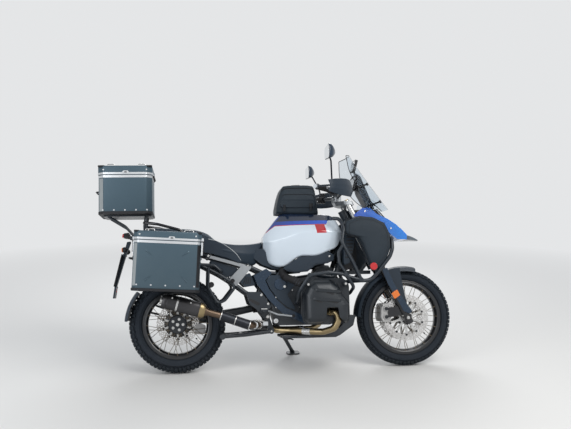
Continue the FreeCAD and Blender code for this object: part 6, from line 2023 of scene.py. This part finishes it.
    def cockpit(self, shop: Workshop) -> None:
        """The carrier, the instrument and the navigation mount."""
        form = Form()
        form.plate([(1300, 1064), (1346, 1064), (1252, 1292), (1224, 1316), (1214, 1300), (1240, 1180)], -66,
                   66, "plastic", 8)
        form.plate([(1190, 1190), (1200, 1186), (1228, 1290), (1214, 1298)], -92, 92, "black", 3)
        form.plate([(steer_x(985) + 33, 985), (1320, 1000), (1320, 1062), (1300, 1070),
                    (steer_x(1062) + 33, 1062)], -28, 28, "frame", 3)
        normal = Vector((-0.965, 0, 0.26))
        face = Vector((1201, 0, 1243))
        across, up = Y_AXIS, Vector((0.26, 0, 0.965))
        loop = soft_loop([face + across * (s * 84) + up * (t * 44) for s, t in SQUARE], 8, 4)
        form.skin([[p - normal * 2 for p in loop], [p + normal * 1.5 for p in loop]], "screen_face")
        mount = Vector((1216, 0, 1352))
        form.rod((1232, 0, 1306), mount, 16, "frame", 16)
        loop = soft_loop([mount + across * (s * 62) + up * (20 + t * 40) for s, t in SQUARE], 10, 4)
        form.skin([[p - normal * 10 for p in loop], [p + normal * 8 for p in loop]], "black")
        inner = [p + (mount + up * 20 - p) * 0.1 for p in loop]
        form.skin([[p + normal * 7 for p in inner], [p + normal * 9 for p in inner]], "screen_face")
        shop.deliver(form, "cockpit_set", "plastic_dark", "cockpit", 1.2, 3)

    def panels(self, shop: Workshop) -> None:
        """Panels below the tank, side covers, cowls, oil cooler and the panels below the seats."""
        form = Form()
        top = [(x, tank_low(x) - FIT) for x in (987, 908, 800, 706)]
        outline = [(690, 668), (724, 650), (770, 640), (850, 646), (905, 690), (985, 698), (1024, 716),
                   (1026, 752)] + top
        form.pair(outline, 190, 210, "plastic", 3)
        fold = [(704, 664), (768, 647), (848, 654), (902, 697), (986, 706), (1016, 722), (986, 727),
                (896, 718), (834, 682), (766, 667)]
        form.pair(fold, 206, 215, "plastic", 3)
        with form.both():
            form.drum((996, 211, 744), Y_AXIS, 7, 2.5, "steel", 20, 0.8)
        shop.deliver(form, "knee_panel_pair", "plastic_dark", "knee_panels", 2.0, 3)
        form = Form()
        band = [(498, 628), (582, 672), (622, 642), (574, 596), (600, 536), (650, 466), (706, 414),
                (784, 378), (874, 330), (834, 303), (782, 329), (680, 380), (600, 462), (524, 566)]
        form.pair(band, 150 + FIT, 163, "gloss_plastic", 9)
        inner = [(580, 594), (612, 630), (768, 616), (788, 586), (716, 500), (782, 388), (712, 420),
                 (656, 470), (606, 538)]
        form.pair(inner, 150 + FIT, 169, "plastic", 9)
        with form.both():
            form.drum((672, 170, 568), Y_AXIS, 40, 5, "gloss_plastic", 48, 4)
            form.drum((700, 174, 552), Y_AXIS, 9, 3, "steel", 24, 1)
            form.drum((752, 170, 578), Y_AXIS, 9, 3, "steel", 24, 1)
            form.plate([(640, 604), (706, 598), (712, 586), (650, 588)], 167, 171, "black", 4)
        shop.deliver(form, "side_cover_pair", "plastic_dark", "side_covers", 2.0, 3)
        form = Form()
        cowl = [(1092, 960), (1150, 985), (1180, 960), (1160, 800), (1130, 700), (1090, 680), (1092, 820)]
        form.pair(cowl, 140, 215, "plastic", 10)
        with form.both():
            for k in range(9):
                z = 730 + 22 * k
                form.box((1100 + 2 * k, 1146 + 2 * k), (215, 218), (z, z + 9), "black", 2)
        shop.deliver(form, "radiator_cowl_pair", "plastic_dark", "radiator_cowls", 1.5)
        form = Form()
        fin_pack = [(1096, 700), (1132, 706), (1150, 790), (1096, 790)]
        form.plate(fin_pack, -138, 138, "fin", 4)
        for k in range(22):
            y = -126 + 12 * k
            form.box((1130, 1152), (y - 1.5, y + 1.5), (712, 782), "cast")
        shop.deliver(form, "oil_cooler", "plastic_dark", bevel=0.6)
        form = Form()
        tail = [(60, 822), (96, 800), (220, 778), (330, 748), (408, 712), (420, 726), (392, 768), (354, 804),
                (306, 838), (250, 864), (150, 872), (60, 868)]
        form.pair(tail, 143, 152, "plastic", 9)
        lower = [(208, 743), (400, 680), (378, 640), (329, 617), (300, 640), (226, 706)]
        form.pair(lower, 112, 122, "plastic", 9)
        vent = [(403, 596), (445, 633), (476, 648), (513, 564), (445, 554)]
        form.pair(vent, 100, 138, "plastic", 9)
        with form.both():
            for k in range(4):
                form.plate([(430 + 14 * k, 574), (437 + 14 * k, 574), (452 + 11 * k, 622),
                            (446 + 11 * k, 622)], 137, 140, "black", 2)
        shop.deliver(form, "tail_side_panels", "plastic_dark", bevel=1.5)

    def side_bags(self, shop: Workshop) -> None:
        """The soft bags in the crash bars: padded shells with welts and a reflector."""
        face = [(1088, 962), (1180, 994), (1270, 984), (1345, 946), (1376, 880), (1380, 790), (1350, 715),
                (1300, 655), (1252, 655), (1226, 720), (1196, 810), (1166, 862), (1086, 882)]
        middle = (1250, 850)
        rows = [(236, 0.90), (246, 0.97), (264, 0.995), (300, 1.0), (316, 1.0), (328, 0.975), (334, 0.93),
                (340, 0.84), (345, 0.6), (347, 0.25)]

        def outline(y: float, share: float) -> list[Point]:
            return [(middle[0] + share * (x - middle[0]), y, middle[1] + share * (z - middle[1]))
                    for x, z in face]

        for side, word in SIDES.items():
            form = Form()
            form.skin([soft_loop(outline(side * y, share), 26, 5) for y, share in rows], "fabric")
            bag = shop.deliver(form, "crash_bar_bag_" + word, "bag_fabric", "side_bags" if side > 0 else "")
            trim = Form()
            for y, share, corner, width, sides in ((316, 1.0, 26, 6, 8), (338, 0.86, 22, 3.5, 6)):
                line = soft_loop(outline(side * y, share), corner, 5)
                trim.tube(line + [line[0]], width, "webbing", 6, sides)
            trim.drum((1262, side * 338, 668), Y_AXIS, 24, 5, "red_lens", 32, 2)
            trim.drum((1262, side * 336, 668), Y_AXIS, 27, 4, "black", 32, 1)
            shop.deliver(trim, "crash_bar_bag_trim_" + word, "bag_fabric", bevel=0.5)

    def tail(self, shop: Workshop) -> None:
        """Plate holder with its bare plate, tail lamp and rear turn signals."""
        form = Form()
        form.plate([(-300, 874), (-326, 870), (-410, 570), (-398, 566), (-334, 780)], -30, 30, "plastic", 4)
        form.plate([(-334, 790), (-350, 786), (-352, 776), (-338, 776)], -94, 94, "plastic", 3)
        form.plate([(-356, 780), (-359, 780.8), (-408, 584), (-405, 583.2)], -90, 90, "plate")
        form.plate([(-352, 786), (-357, 787), (-409, 578), (-404, 577)], -94, 94, "black", 1)
        form.plate([(-392, 580), (-404, 577), (-416, 500), (-406, 500)], -64, 64, "plastic", 3)
        with form.both():
            form.rod((-330, 28, 812), (-334, 104, 812), 14, "rubber_part", 14)
            form.ball((-334, 120, 812), 19, "black", 1.3, (0, 1, 0), 20)
            form.drum((-346, 120, 812), X_AXIS, 15, 7, "amber", 24, 3)
        form.drum((-398, 0, 556), X_AXIS, 17, 4, "red_lens", 28, 1.5)
        shop.deliver(form, "plate_holder_set", "plastic_dark", "plate_holder", 0.6)
        lamp = Form()
        lamp.plate([(-310, 930), (-344, 925), (-348, 897), (-308, 892)], -60, 60, "black", 6)
        lamp.plate([(-343, 923), (-352, 921), (-356, 898), (-346, 897)], -58, 58, "red_lens", 3)
        shop.deliver(lamp, "tail_lamp_lens", "lamp_red", "tail_lamp", 1.2)

    def build(self, shop: Workshop) -> None:
        """Make every piece of the bodywork."""
        self.tank(shop)
        self.tank_bag(shop)
        self.seats(shop)
        self.fairing(shop)
        self.screen(shop)
        self.cockpit(shop)
        self.panels(shop)
        self.side_bags(shop)
        self.tail(shop)


# Panniers and top case


CASE_PITCH = 3.4
CASE_PIVOT = Vector((-56, 0, 700))


def rectangle(x0: float, x1: float, y0: float, y1: float, z: float, inset: float, corner: float,
              radius: float = 7.0) -> list[Vector]:
    """A level rectangle with cut and slightly rounded corners."""
    x0, x1, y0, y1 = x0 + inset, x1 - inset, y0 + inset, y1 - inset
    c = max(4.0, corner - 0.6 * inset)
    return soft_loop([(x0 + c, y0, z), (x1 - c, y0, z), (x1, y0 + c, z), (x1, y1 - c, z), (x1 - c, y1, z),
                      (x0 + c, y1, z), (x0, y1 - c, z), (x0, y0 + c, z)], radius, 2)


@dataclass
class Case:
    """A folded sheet case with its lid, edge strips, latches and hinge."""

    name: str
    node: str
    lid_node: str
    x0: float
    x1: float
    y0: float
    y1: float
    z0: float
    z1: float
    corner: float
    lid_high: float
    pitch: float = 0.0
    outer: int = 0
    wall: float = 2.5
    lap: float = 3.0
    reach: float = 90.0

    def band(self, form: Form, low: float, high: float, proud: float, finish: str, lap: float = 0.0) -> None:
        """A strip of sheet round the case."""
        rings = []
        for z, out in ((low, -0.2), (low, proud), (high, proud), (high, -0.2)):
            rings.append(rectangle(self.x0, self.x1, self.y0, self.y1, z, -lap - out, self.corner))
        form.skin(rings, finish, True)

    def shell(self) -> Form:
        """The open tub with the strip below its rim, its base, and thin plates on the faces of its cut
        corners: painted highlight at the rear, painted shade in black at a pannier's front.
        """
        form = Form()
        x0, x1, y0, y1, z0, z1, c = self.x0, self.x1, self.y0, self.y1, self.z0, self.z1, self.corner
        rings = [rectangle(x0, x1, y0, y1, z0, 6, c), rectangle(x0, x1, y0, y1, z0 + 2, 1.5, c),
                 rectangle(x0, x1, y0, y1, z0 + 5, 0, c), rectangle(x0, x1, y0, y1, z1, 0, c),
                 rectangle(x0, x1, y0, y1, z1, self.wall, c),
                 rectangle(x0, x1, y0, y1, z0 + self.wall, self.wall, c)]
        form.skin(rings, "case")
        self.band(form, z1 - 19, z1 - 3, 1.6, "strip")
        if self.outer:
            near, far = sorted((self.outer * self.inner_y, self.outer * (self.outer_y + 4)))
            rings = [rectangle(x0 - 4, x1 + 4, near, far, z, inset, c) for z, inset in
                     ((z0 - 14, 4), (z0 - 11, 0), (z0 + 3, 0), (z0 + 3, 3.8))]
            form.skin(rings, "black")
        else:
            self.band(form, z0 - 0.3, z0 + 16, 2.5, "black")
            rings = [rectangle(x0, x1, y0, y1, z, inset, c) for z, inset in ((z0 + 0.5, 5), (z0 - 0.2, 5))]
            form.skin(rings, "black")
        # Painted highlight and shade: a light plate on the rear cut corners and a black one on a pannier's
        # front corners; the top case has only the rear highlight.
        for x_end, x_in, finish in ((x0, x0 + c, "case_edge"), (x1, x1 - c, "black")):
            for y_end, y_in in ((y0, y0 + c), (y1, y1 - c)):
                if self.outer and (y_end > 0) == (self.outer < 0) and abs(y_end) < 300:
                    continue
                if not self.outer and x_end == x1:
                    continue
                a, b = Vector((x_in, y_end, 0)), Vector((x_end, y_in, 0))
                out = (a + b) / 2 - Vector(((x0 + x1) / 2, (y0 + y1) / 2, 0))
                out = Vector((math.copysign(1, out.x), math.copysign(1, out.y), 0)).normalized()
                a, b = a.lerp(b, 0.14), a.lerp(b, 0.86)
                foot = [a - out * 0.3, b - out * 0.3, b + out * 0.7, a + out * 0.7]
                form.skin([[p + Z_AXIS * z for p in foot] for z in (z0 + 18, z1 - 24)], finish)
        return form

    @property
    def inner_y(self) -> float:
        """Distance of the inner wall from the middle plane."""
        return min(abs(self.y0), abs(self.y1))

    @property
    def outer_y(self) -> float:
        """Distance of the outer wall from the middle plane."""
        return max(abs(self.y0), abs(self.y1))

    def hinge(self) -> tuple[float, float, float]:
        """X, middle Y and Z of the lid's hinge."""
        return self.x1 + self.lap + 6, (self.y0 + self.y1) / 2, self.z1

    def hinge_lugs(self, form: Form) -> None:
        """The pin and the two lugs that carry it."""
        x, y, z = self.hinge()
        form.drum((x, y, z), Y_AXIS, 2.5, self.reach + 2, "steel", 16)
        for side in SIDES:
            lug = [(self.x1 - 1, z - 18), (x + 4, z - 4), (x + 4, z + 4), (x - 4, z + 4), (x - 4, z - 1),
                   (self.x1 - 1, z - 1)]
            form.plate(lug, y + side * self.reach, y + side * (self.reach + 5), "black")

    def lid(self) -> Form:
        """The lid, hollow from below, with its strip, hinge, corner pieces and lashing loops."""
        form = Form()
        x0, x1, y0, y1 = self.x0 - self.lap, self.x1 + self.lap, self.y0 - self.lap, self.y1 + self.lap
        low, high, c = self.z1 + FIT, self.z1 + self.lid_high, self.corner
        rings = [rectangle(x0, x1, y0, y1, high, 9, c), rectangle(x0, x1, y0, y1, high - 1.5, 4, c),
                 rectangle(x0, x1, y0, y1, high - 6, 0.8, c), rectangle(x0, x1, y0, y1, high - 10, 0, c),
                 rectangle(x0, x1, y0, y1, low, 0, c), rectangle(x0, x1, y0, y1, low, self.wall, c),
                 rectangle(x0, x1, y0, y1, high - self.wall, self.wall, c)]
        form.skin(rings, "case")
        self.band(form, low + 2, low + 15, 1.4, "strip", self.lap)
        x, y, z = self.hinge()
        form.turned([(-self.reach + 0.6, 2.8), (self.reach - 0.6, 2.8), (self.reach - 0.6, 5),
                     (-self.reach + 0.6, 5)], (x, y, z), "black", 16)
        form.box((x1 - 1, x), (y - self.reach + 0.6, y + self.reach - 0.6), (z + 1, z + 4), "black")
        for a, b in ((0.17, 0.30), (0.74, 0.87)):
            xa, xb = x0 + (x1 - x0) * a, x0 + (x1 - x0) * b
            for edge in (y0 + 34, y1 - 34):
                form.tube([(xa, edge, high - 2), (xa, edge, high + 12), (xb, edge, high + 12),
                           (xb, edge, high - 2)], 6, "steel", 7, 12)
                for x in (xa, xb):
                    form.box((x - 9, x + 9), (edge - 9, edge + 9), (high - 1, high + 2.5), "black", 4)
        for xs in ((x0 + 1, x0 + c + 8), (x1 - c - 8, x1 - 1)):
            for ys in ((y0 + 1, y0 + c + 8), (y1 - c - 8, y1 - 1)):
                form.box(xs, ys, (high - 8, high + 1.2), "black", 9)
        return form

    def latches(self, form: Form, body_part: bool) -> None:
        """The lock and rivets on the lid, and a pannier's end clamps, half on the tub and half on the lid."""
        middle = self.x0 + (self.x1 - self.x0) * 0.56 if self.outer else self.x0 + 175
        for y, way in self.walls:
            if not body_part:
                hump = [(middle - 26, self.z1 + 8), (middle + 26, self.z1 + 8), (middle + 15, self.z1 + 25),
                        (middle - 15, self.z1 + 25)]
                form.plate(hump, y + way * (self.lap - 0.3), y + way * (self.lap + 4), "strip", 4)
                height = self.z1 + 15
                core = [(middle + 0.42 * (x - middle), height + 0.42 * (z - height)) for x, z in hump]
                form.plate(core, y + way * (self.lap + 3), y + way * (self.lap + 4.8), "black", 2)
                for x in (self.x0 + 34, self.x1 - 34):
                    form.drum((x, y + way * (self.lap + 1), self.z1 + 32), Y_AXIS, 5.5, 2, "strip", 18, 1)
        if self.outer:
            y = (self.y0 + self.y1) / 2
            for x, way in ((self.x0, -1), (self.x1, 1)):
                offset = 0 if way < 0 else self.outer * 92
                low, high = (self.z1 - 84, self.z1 - 4) if body_part else (self.z1 + 3, self.z1 + 22)
                depth = 11 if body_part else 14
                ys = (y + offset - 17, y + offset + 17)
                form.box((x + way * 0.5, x + way * depth), ys, (low, high), "strip", 2)
                if body_part:
                    form.box((x + way * depth, x + way * (depth + 4)), (ys[0] + 6, ys[1] - 6),
                             (low + 10, high - 8), "black", 2)

    def presses(self, form: Form) -> None:
        """Short pressed ribs on the outer wall, aimed at its middle."""
        if not self.outer:
            return
        xm, zm, y = (self.x0 + self.x1) / 2, (self.z0 + self.z1) / 2 - 8, self.outer * self.outer_y
        for sx in (1, -1):
            for sz in (1, -1):
                a, b = Vector((xm + sx * 84, 0, zm + sz * 56)), Vector((xm + sx * 132, 0, zm + sz * 96))
                across = Vector((-(b - a).z, 0, (b - a).x)).normalized() * 7
                foot = [a, b + across, b - across]
                ridge = [a.lerp(b, 0.2), b.lerp(a, 0.1) + across * 0.3, b.lerp(a, 0.1) - across * 0.3]
                form.skin([[at_y(p, y) for p in foot], [at_y(p, y + self.outer * 3) for p in ridge]], "case")

    def handles(self, form: Form) -> None:
        """The carrying handle on the rear end."""
        y = (self.y0 + self.y1) / 2
        z = self.z0 + (self.z1 - self.z0) * 0.62
        form.tube([(self.x0 + 1, y - 60, z), (self.x0 - 26, y - 60, z), (self.x0 - 26, y + 60, z),
                   (self.x0 + 1, y + 60, z)], 10, "black", 18, 14)
        for side in SIDES:
            form.box((self.x0 - 5, self.x0 + 1), (y + side * 60 - 12, y + side * 60 + 12), (z - 14, z + 14),
                     "black", 4)

    @property
    def walls(self) -> list[tuple[float, int]]:
        """Y and side of the walls with latches and rivets: a pannier's outer one, or both of the top case."""
        return [(self.outer * self.outer_y, self.outer)] if self.outer else [(self.y0, -1), (self.y1, 1)]

    def rivets(self) -> list[tuple[Vector, Vector]]:
        """Places and aims of the rivets along the foot of those walls."""
        turn = Quaternion(Y_AXIS, math.radians(self.pitch))
        spots = [self.x0 + 30 + (self.x1 - self.x0 - 62) * k / 4 for k in range(5)]
        return [(CASE_PIVOT + turn @ (Vector((x, y, self.z0 + 24)) - CASE_PIVOT), turn @ Vector((0, way, 0)))
                for y, way in self.walls for x in spots]

    def deliver(self, shop: Workshop) -> None:
        """Make the case, its lid and its rivets."""
        tub = self.shell()
        self.hinge_lugs(tub)
        self.latches(tub, True)
        self.handles(tub)
        self.presses(tub)
        tub.turn(CASE_PIVOT, Y_AXIS, self.pitch)
        shop.deliver(tub, self.name + "_tub", "case_grey", self.node, 0.5)
        top = self.lid()
        self.latches(top, False)
        top.turn(CASE_PIVOT, Y_AXIS, self.pitch)
        shop.deliver(top, self.name + "_cover", "case_grey", self.lid_node, 0.5, body=self.lid_node)
        shop.rivets(self.name + "_rivets", self.rivets(), 5, 3, "case_grey", 12, "strip")


def build_cases(shop: Workshop) -> None:
    """Both panniers and the top case."""
    pannier = {"x0": -262, "x1": 150, "z0": 548, "z1": 848, "corner": 26, "lid_high": 56, "pitch": CASE_PITCH}
    Case("right_pannier", "pannier_right", "pannier_lid_right", y0=-450, y1=-215, outer=-1,
         **pannier).deliver(shop)
    Case("left_pannier", "pannier_left", "pannier_lid_left", y0=215, y1=450, outer=1, **pannier).deliver(shop)
    Case("top_box", "top_case", "top_lid", x0=-495, x1=-153, y0=-196, y1=196, z0=1042, z1=1296, corner=36,
         lid_high=60).deliver(shop)


# Stage


CAMERA_PLACE = Vector((0.093, -5.189, 1.576))
CAMERA_YAW = math.radians(6.81)
CAMERA_PITCH = math.radians(5.82)
CAMERA_LENS = 50.44
PALE = (0.78, 0.79, 0.80)
SKY = (0.93, 0.96, 1.0)
SKY_STRENGTH = 0.47
FLOOR_HALF = 40.0
FLOOR_COLOUR = (0.68, 0.68, 0.67)
FADE_START, FADE_RUN = 1.9, 4.6


def set_camera(stance: Stance) -> None:
    """Put the camera where the photo was taken from."""
    data = bpy.data.cameras.new("camera")
    data.lens = CAMERA_LENS
    data.sensor_width = 36.0
    camera = add_object("camera", data)
    camera.location = stance.matrix.translation + CAMERA_PLACE
    level = math.cos(CAMERA_PITCH)
    forward = Vector((math.sin(CAMERA_YAW) * level, math.cos(CAMERA_YAW) * level, -math.sin(CAMERA_PITCH)))
    camera.rotation_euler = forward.to_track_quat("-Z", "Y").to_euler()
    bpy.context.scene.camera = camera


def area_light(name: str, place: Point, aim: Point, size: float, power: float, colour: Colour) -> None:
    """A square soft light that looks at a point."""
    data = bpy.data.lights.new(name, "AREA")
    data.size = size
    data.energy = power
    data.color = colour
    lamp = add_object(name, data)
    lamp.location = Vector(place)
    lamp.rotation_euler = (Vector(aim) - Vector(place)).to_track_quat("-Z", "Y").to_euler()


def show_backdrop(tree: bpy.types.NodeTree, share: Any, lit: Any, output: Any) -> None:
    """Put out a lit surface, or the pale backdrop where the camera, a reflection or glass looks at it.

    Args:
        tree: the world's or the floor's tree.
        share: how far the backdrop may cover the surface.
        lit: the lit surface's shader output.
        output: the tree's surface input.
    """
    path = tree.nodes.new("ShaderNodeLightPath").outputs
    seen = maths(tree, "MAXIMUM", path["Is Camera Ray"], path["Is Glossy Ray"])
    seen = maths(tree, "MAXIMUM", seen, path["Is Transmission Ray"])
    pale = add_node(tree, "ShaderNodeEmission", {"Color": PALE, "Strength": 1.0})
    factor = maths(tree, "MULTIPLY", share, seen)
    mix = add_node(tree, "ShaderNodeMixShader", [factor, lit, pale.outputs[0]])
    feed(tree, output, mix.outputs[0])


def set_world() -> None:
    """A dim even sky for the object and a pale one for the camera, reflections and glass."""
    world = bpy.data.worlds.new("studio")
    bpy.context.scene.world = world
    world.use_nodes = True
    tree = world.node_tree
    tree.nodes.clear()
    light = add_node(tree, "ShaderNodeBackground", {"Color": SKY, "Strength": SKY_STRENGTH})
    output = tree.nodes.new("ShaderNodeOutputWorld")
    show_backdrop(tree, 1.0, light.outputs[0], output.inputs["Surface"])


def set_floor() -> None:
    """A wide pale floor that keeps the object's shadow."""
    mesh = bpy.data.meshes.new("floor")
    mesh.from_pydata([(FLOOR_HALF * x, FLOOR_HALF * y, 0) for x, y in SQUARE], [], [(0, 1, 2, 3)])
    material = bpy.data.materials.new("floor")
    material.use_nodes = True
    tree = material.node_tree
    shader = tree.nodes["Principled BSDF"]
    feed(tree, shader.inputs["Base Color"], FLOOR_COLOUR)
    feed(tree, shader.inputs["Roughness"], 0.85)
    place = tree.nodes.new("ShaderNodeNewGeometry").outputs["Position"]
    reach = add_node(tree, "ShaderNodeVectorMath", [place], operation="LENGTH").outputs["Value"]
    far = maths(tree, "DIVIDE", maths(tree, "SUBTRACT", reach, FADE_START), FADE_RUN, clamp=True)
    show_backdrop(tree, far, shader.outputs[0], tree.nodes["Material Output"].inputs["Surface"])
    mesh.materials.append(material)
    add_object("floor", mesh)


def set_lights() -> None:
    """A large soft key, a fill and a back light."""
    area_light("key", (2.2, -3.6, 4.2), (0.0, -0.1, 0.6), 3.2, 185, (1.0, 0.98, 0.95))
    area_light("fill", (-3.6, -3.2, 2.2), (0.0, 0.0, 0.6), 3.0, 85, (0.95, 0.97, 1.0))
    area_light("back", (0.4, 3.6, 3.4), (0.0, 0.0, 0.7), 3.0, 120, (0.97, 0.98, 1.0))


def main() -> None:
    """Build the whole scene."""
    logging.basicConfig(level=logging.INFO, format="%(levelname)s %(message)s")
    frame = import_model()
    stance = Stance.of(frame)
    shop = Workshop(stance)
    build_wheels(shop)
    Steering().build(shop)
    Chassis().build(shop)
    Engine().build(shop)
    Body().build(shop)
    build_cases(shop)
    set_camera(stance)
    set_world()
    set_floor()
    set_lights()
    bpy.context.scene.view_settings.view_transform = "Standard"


if __name__ == "__main__":
    main()
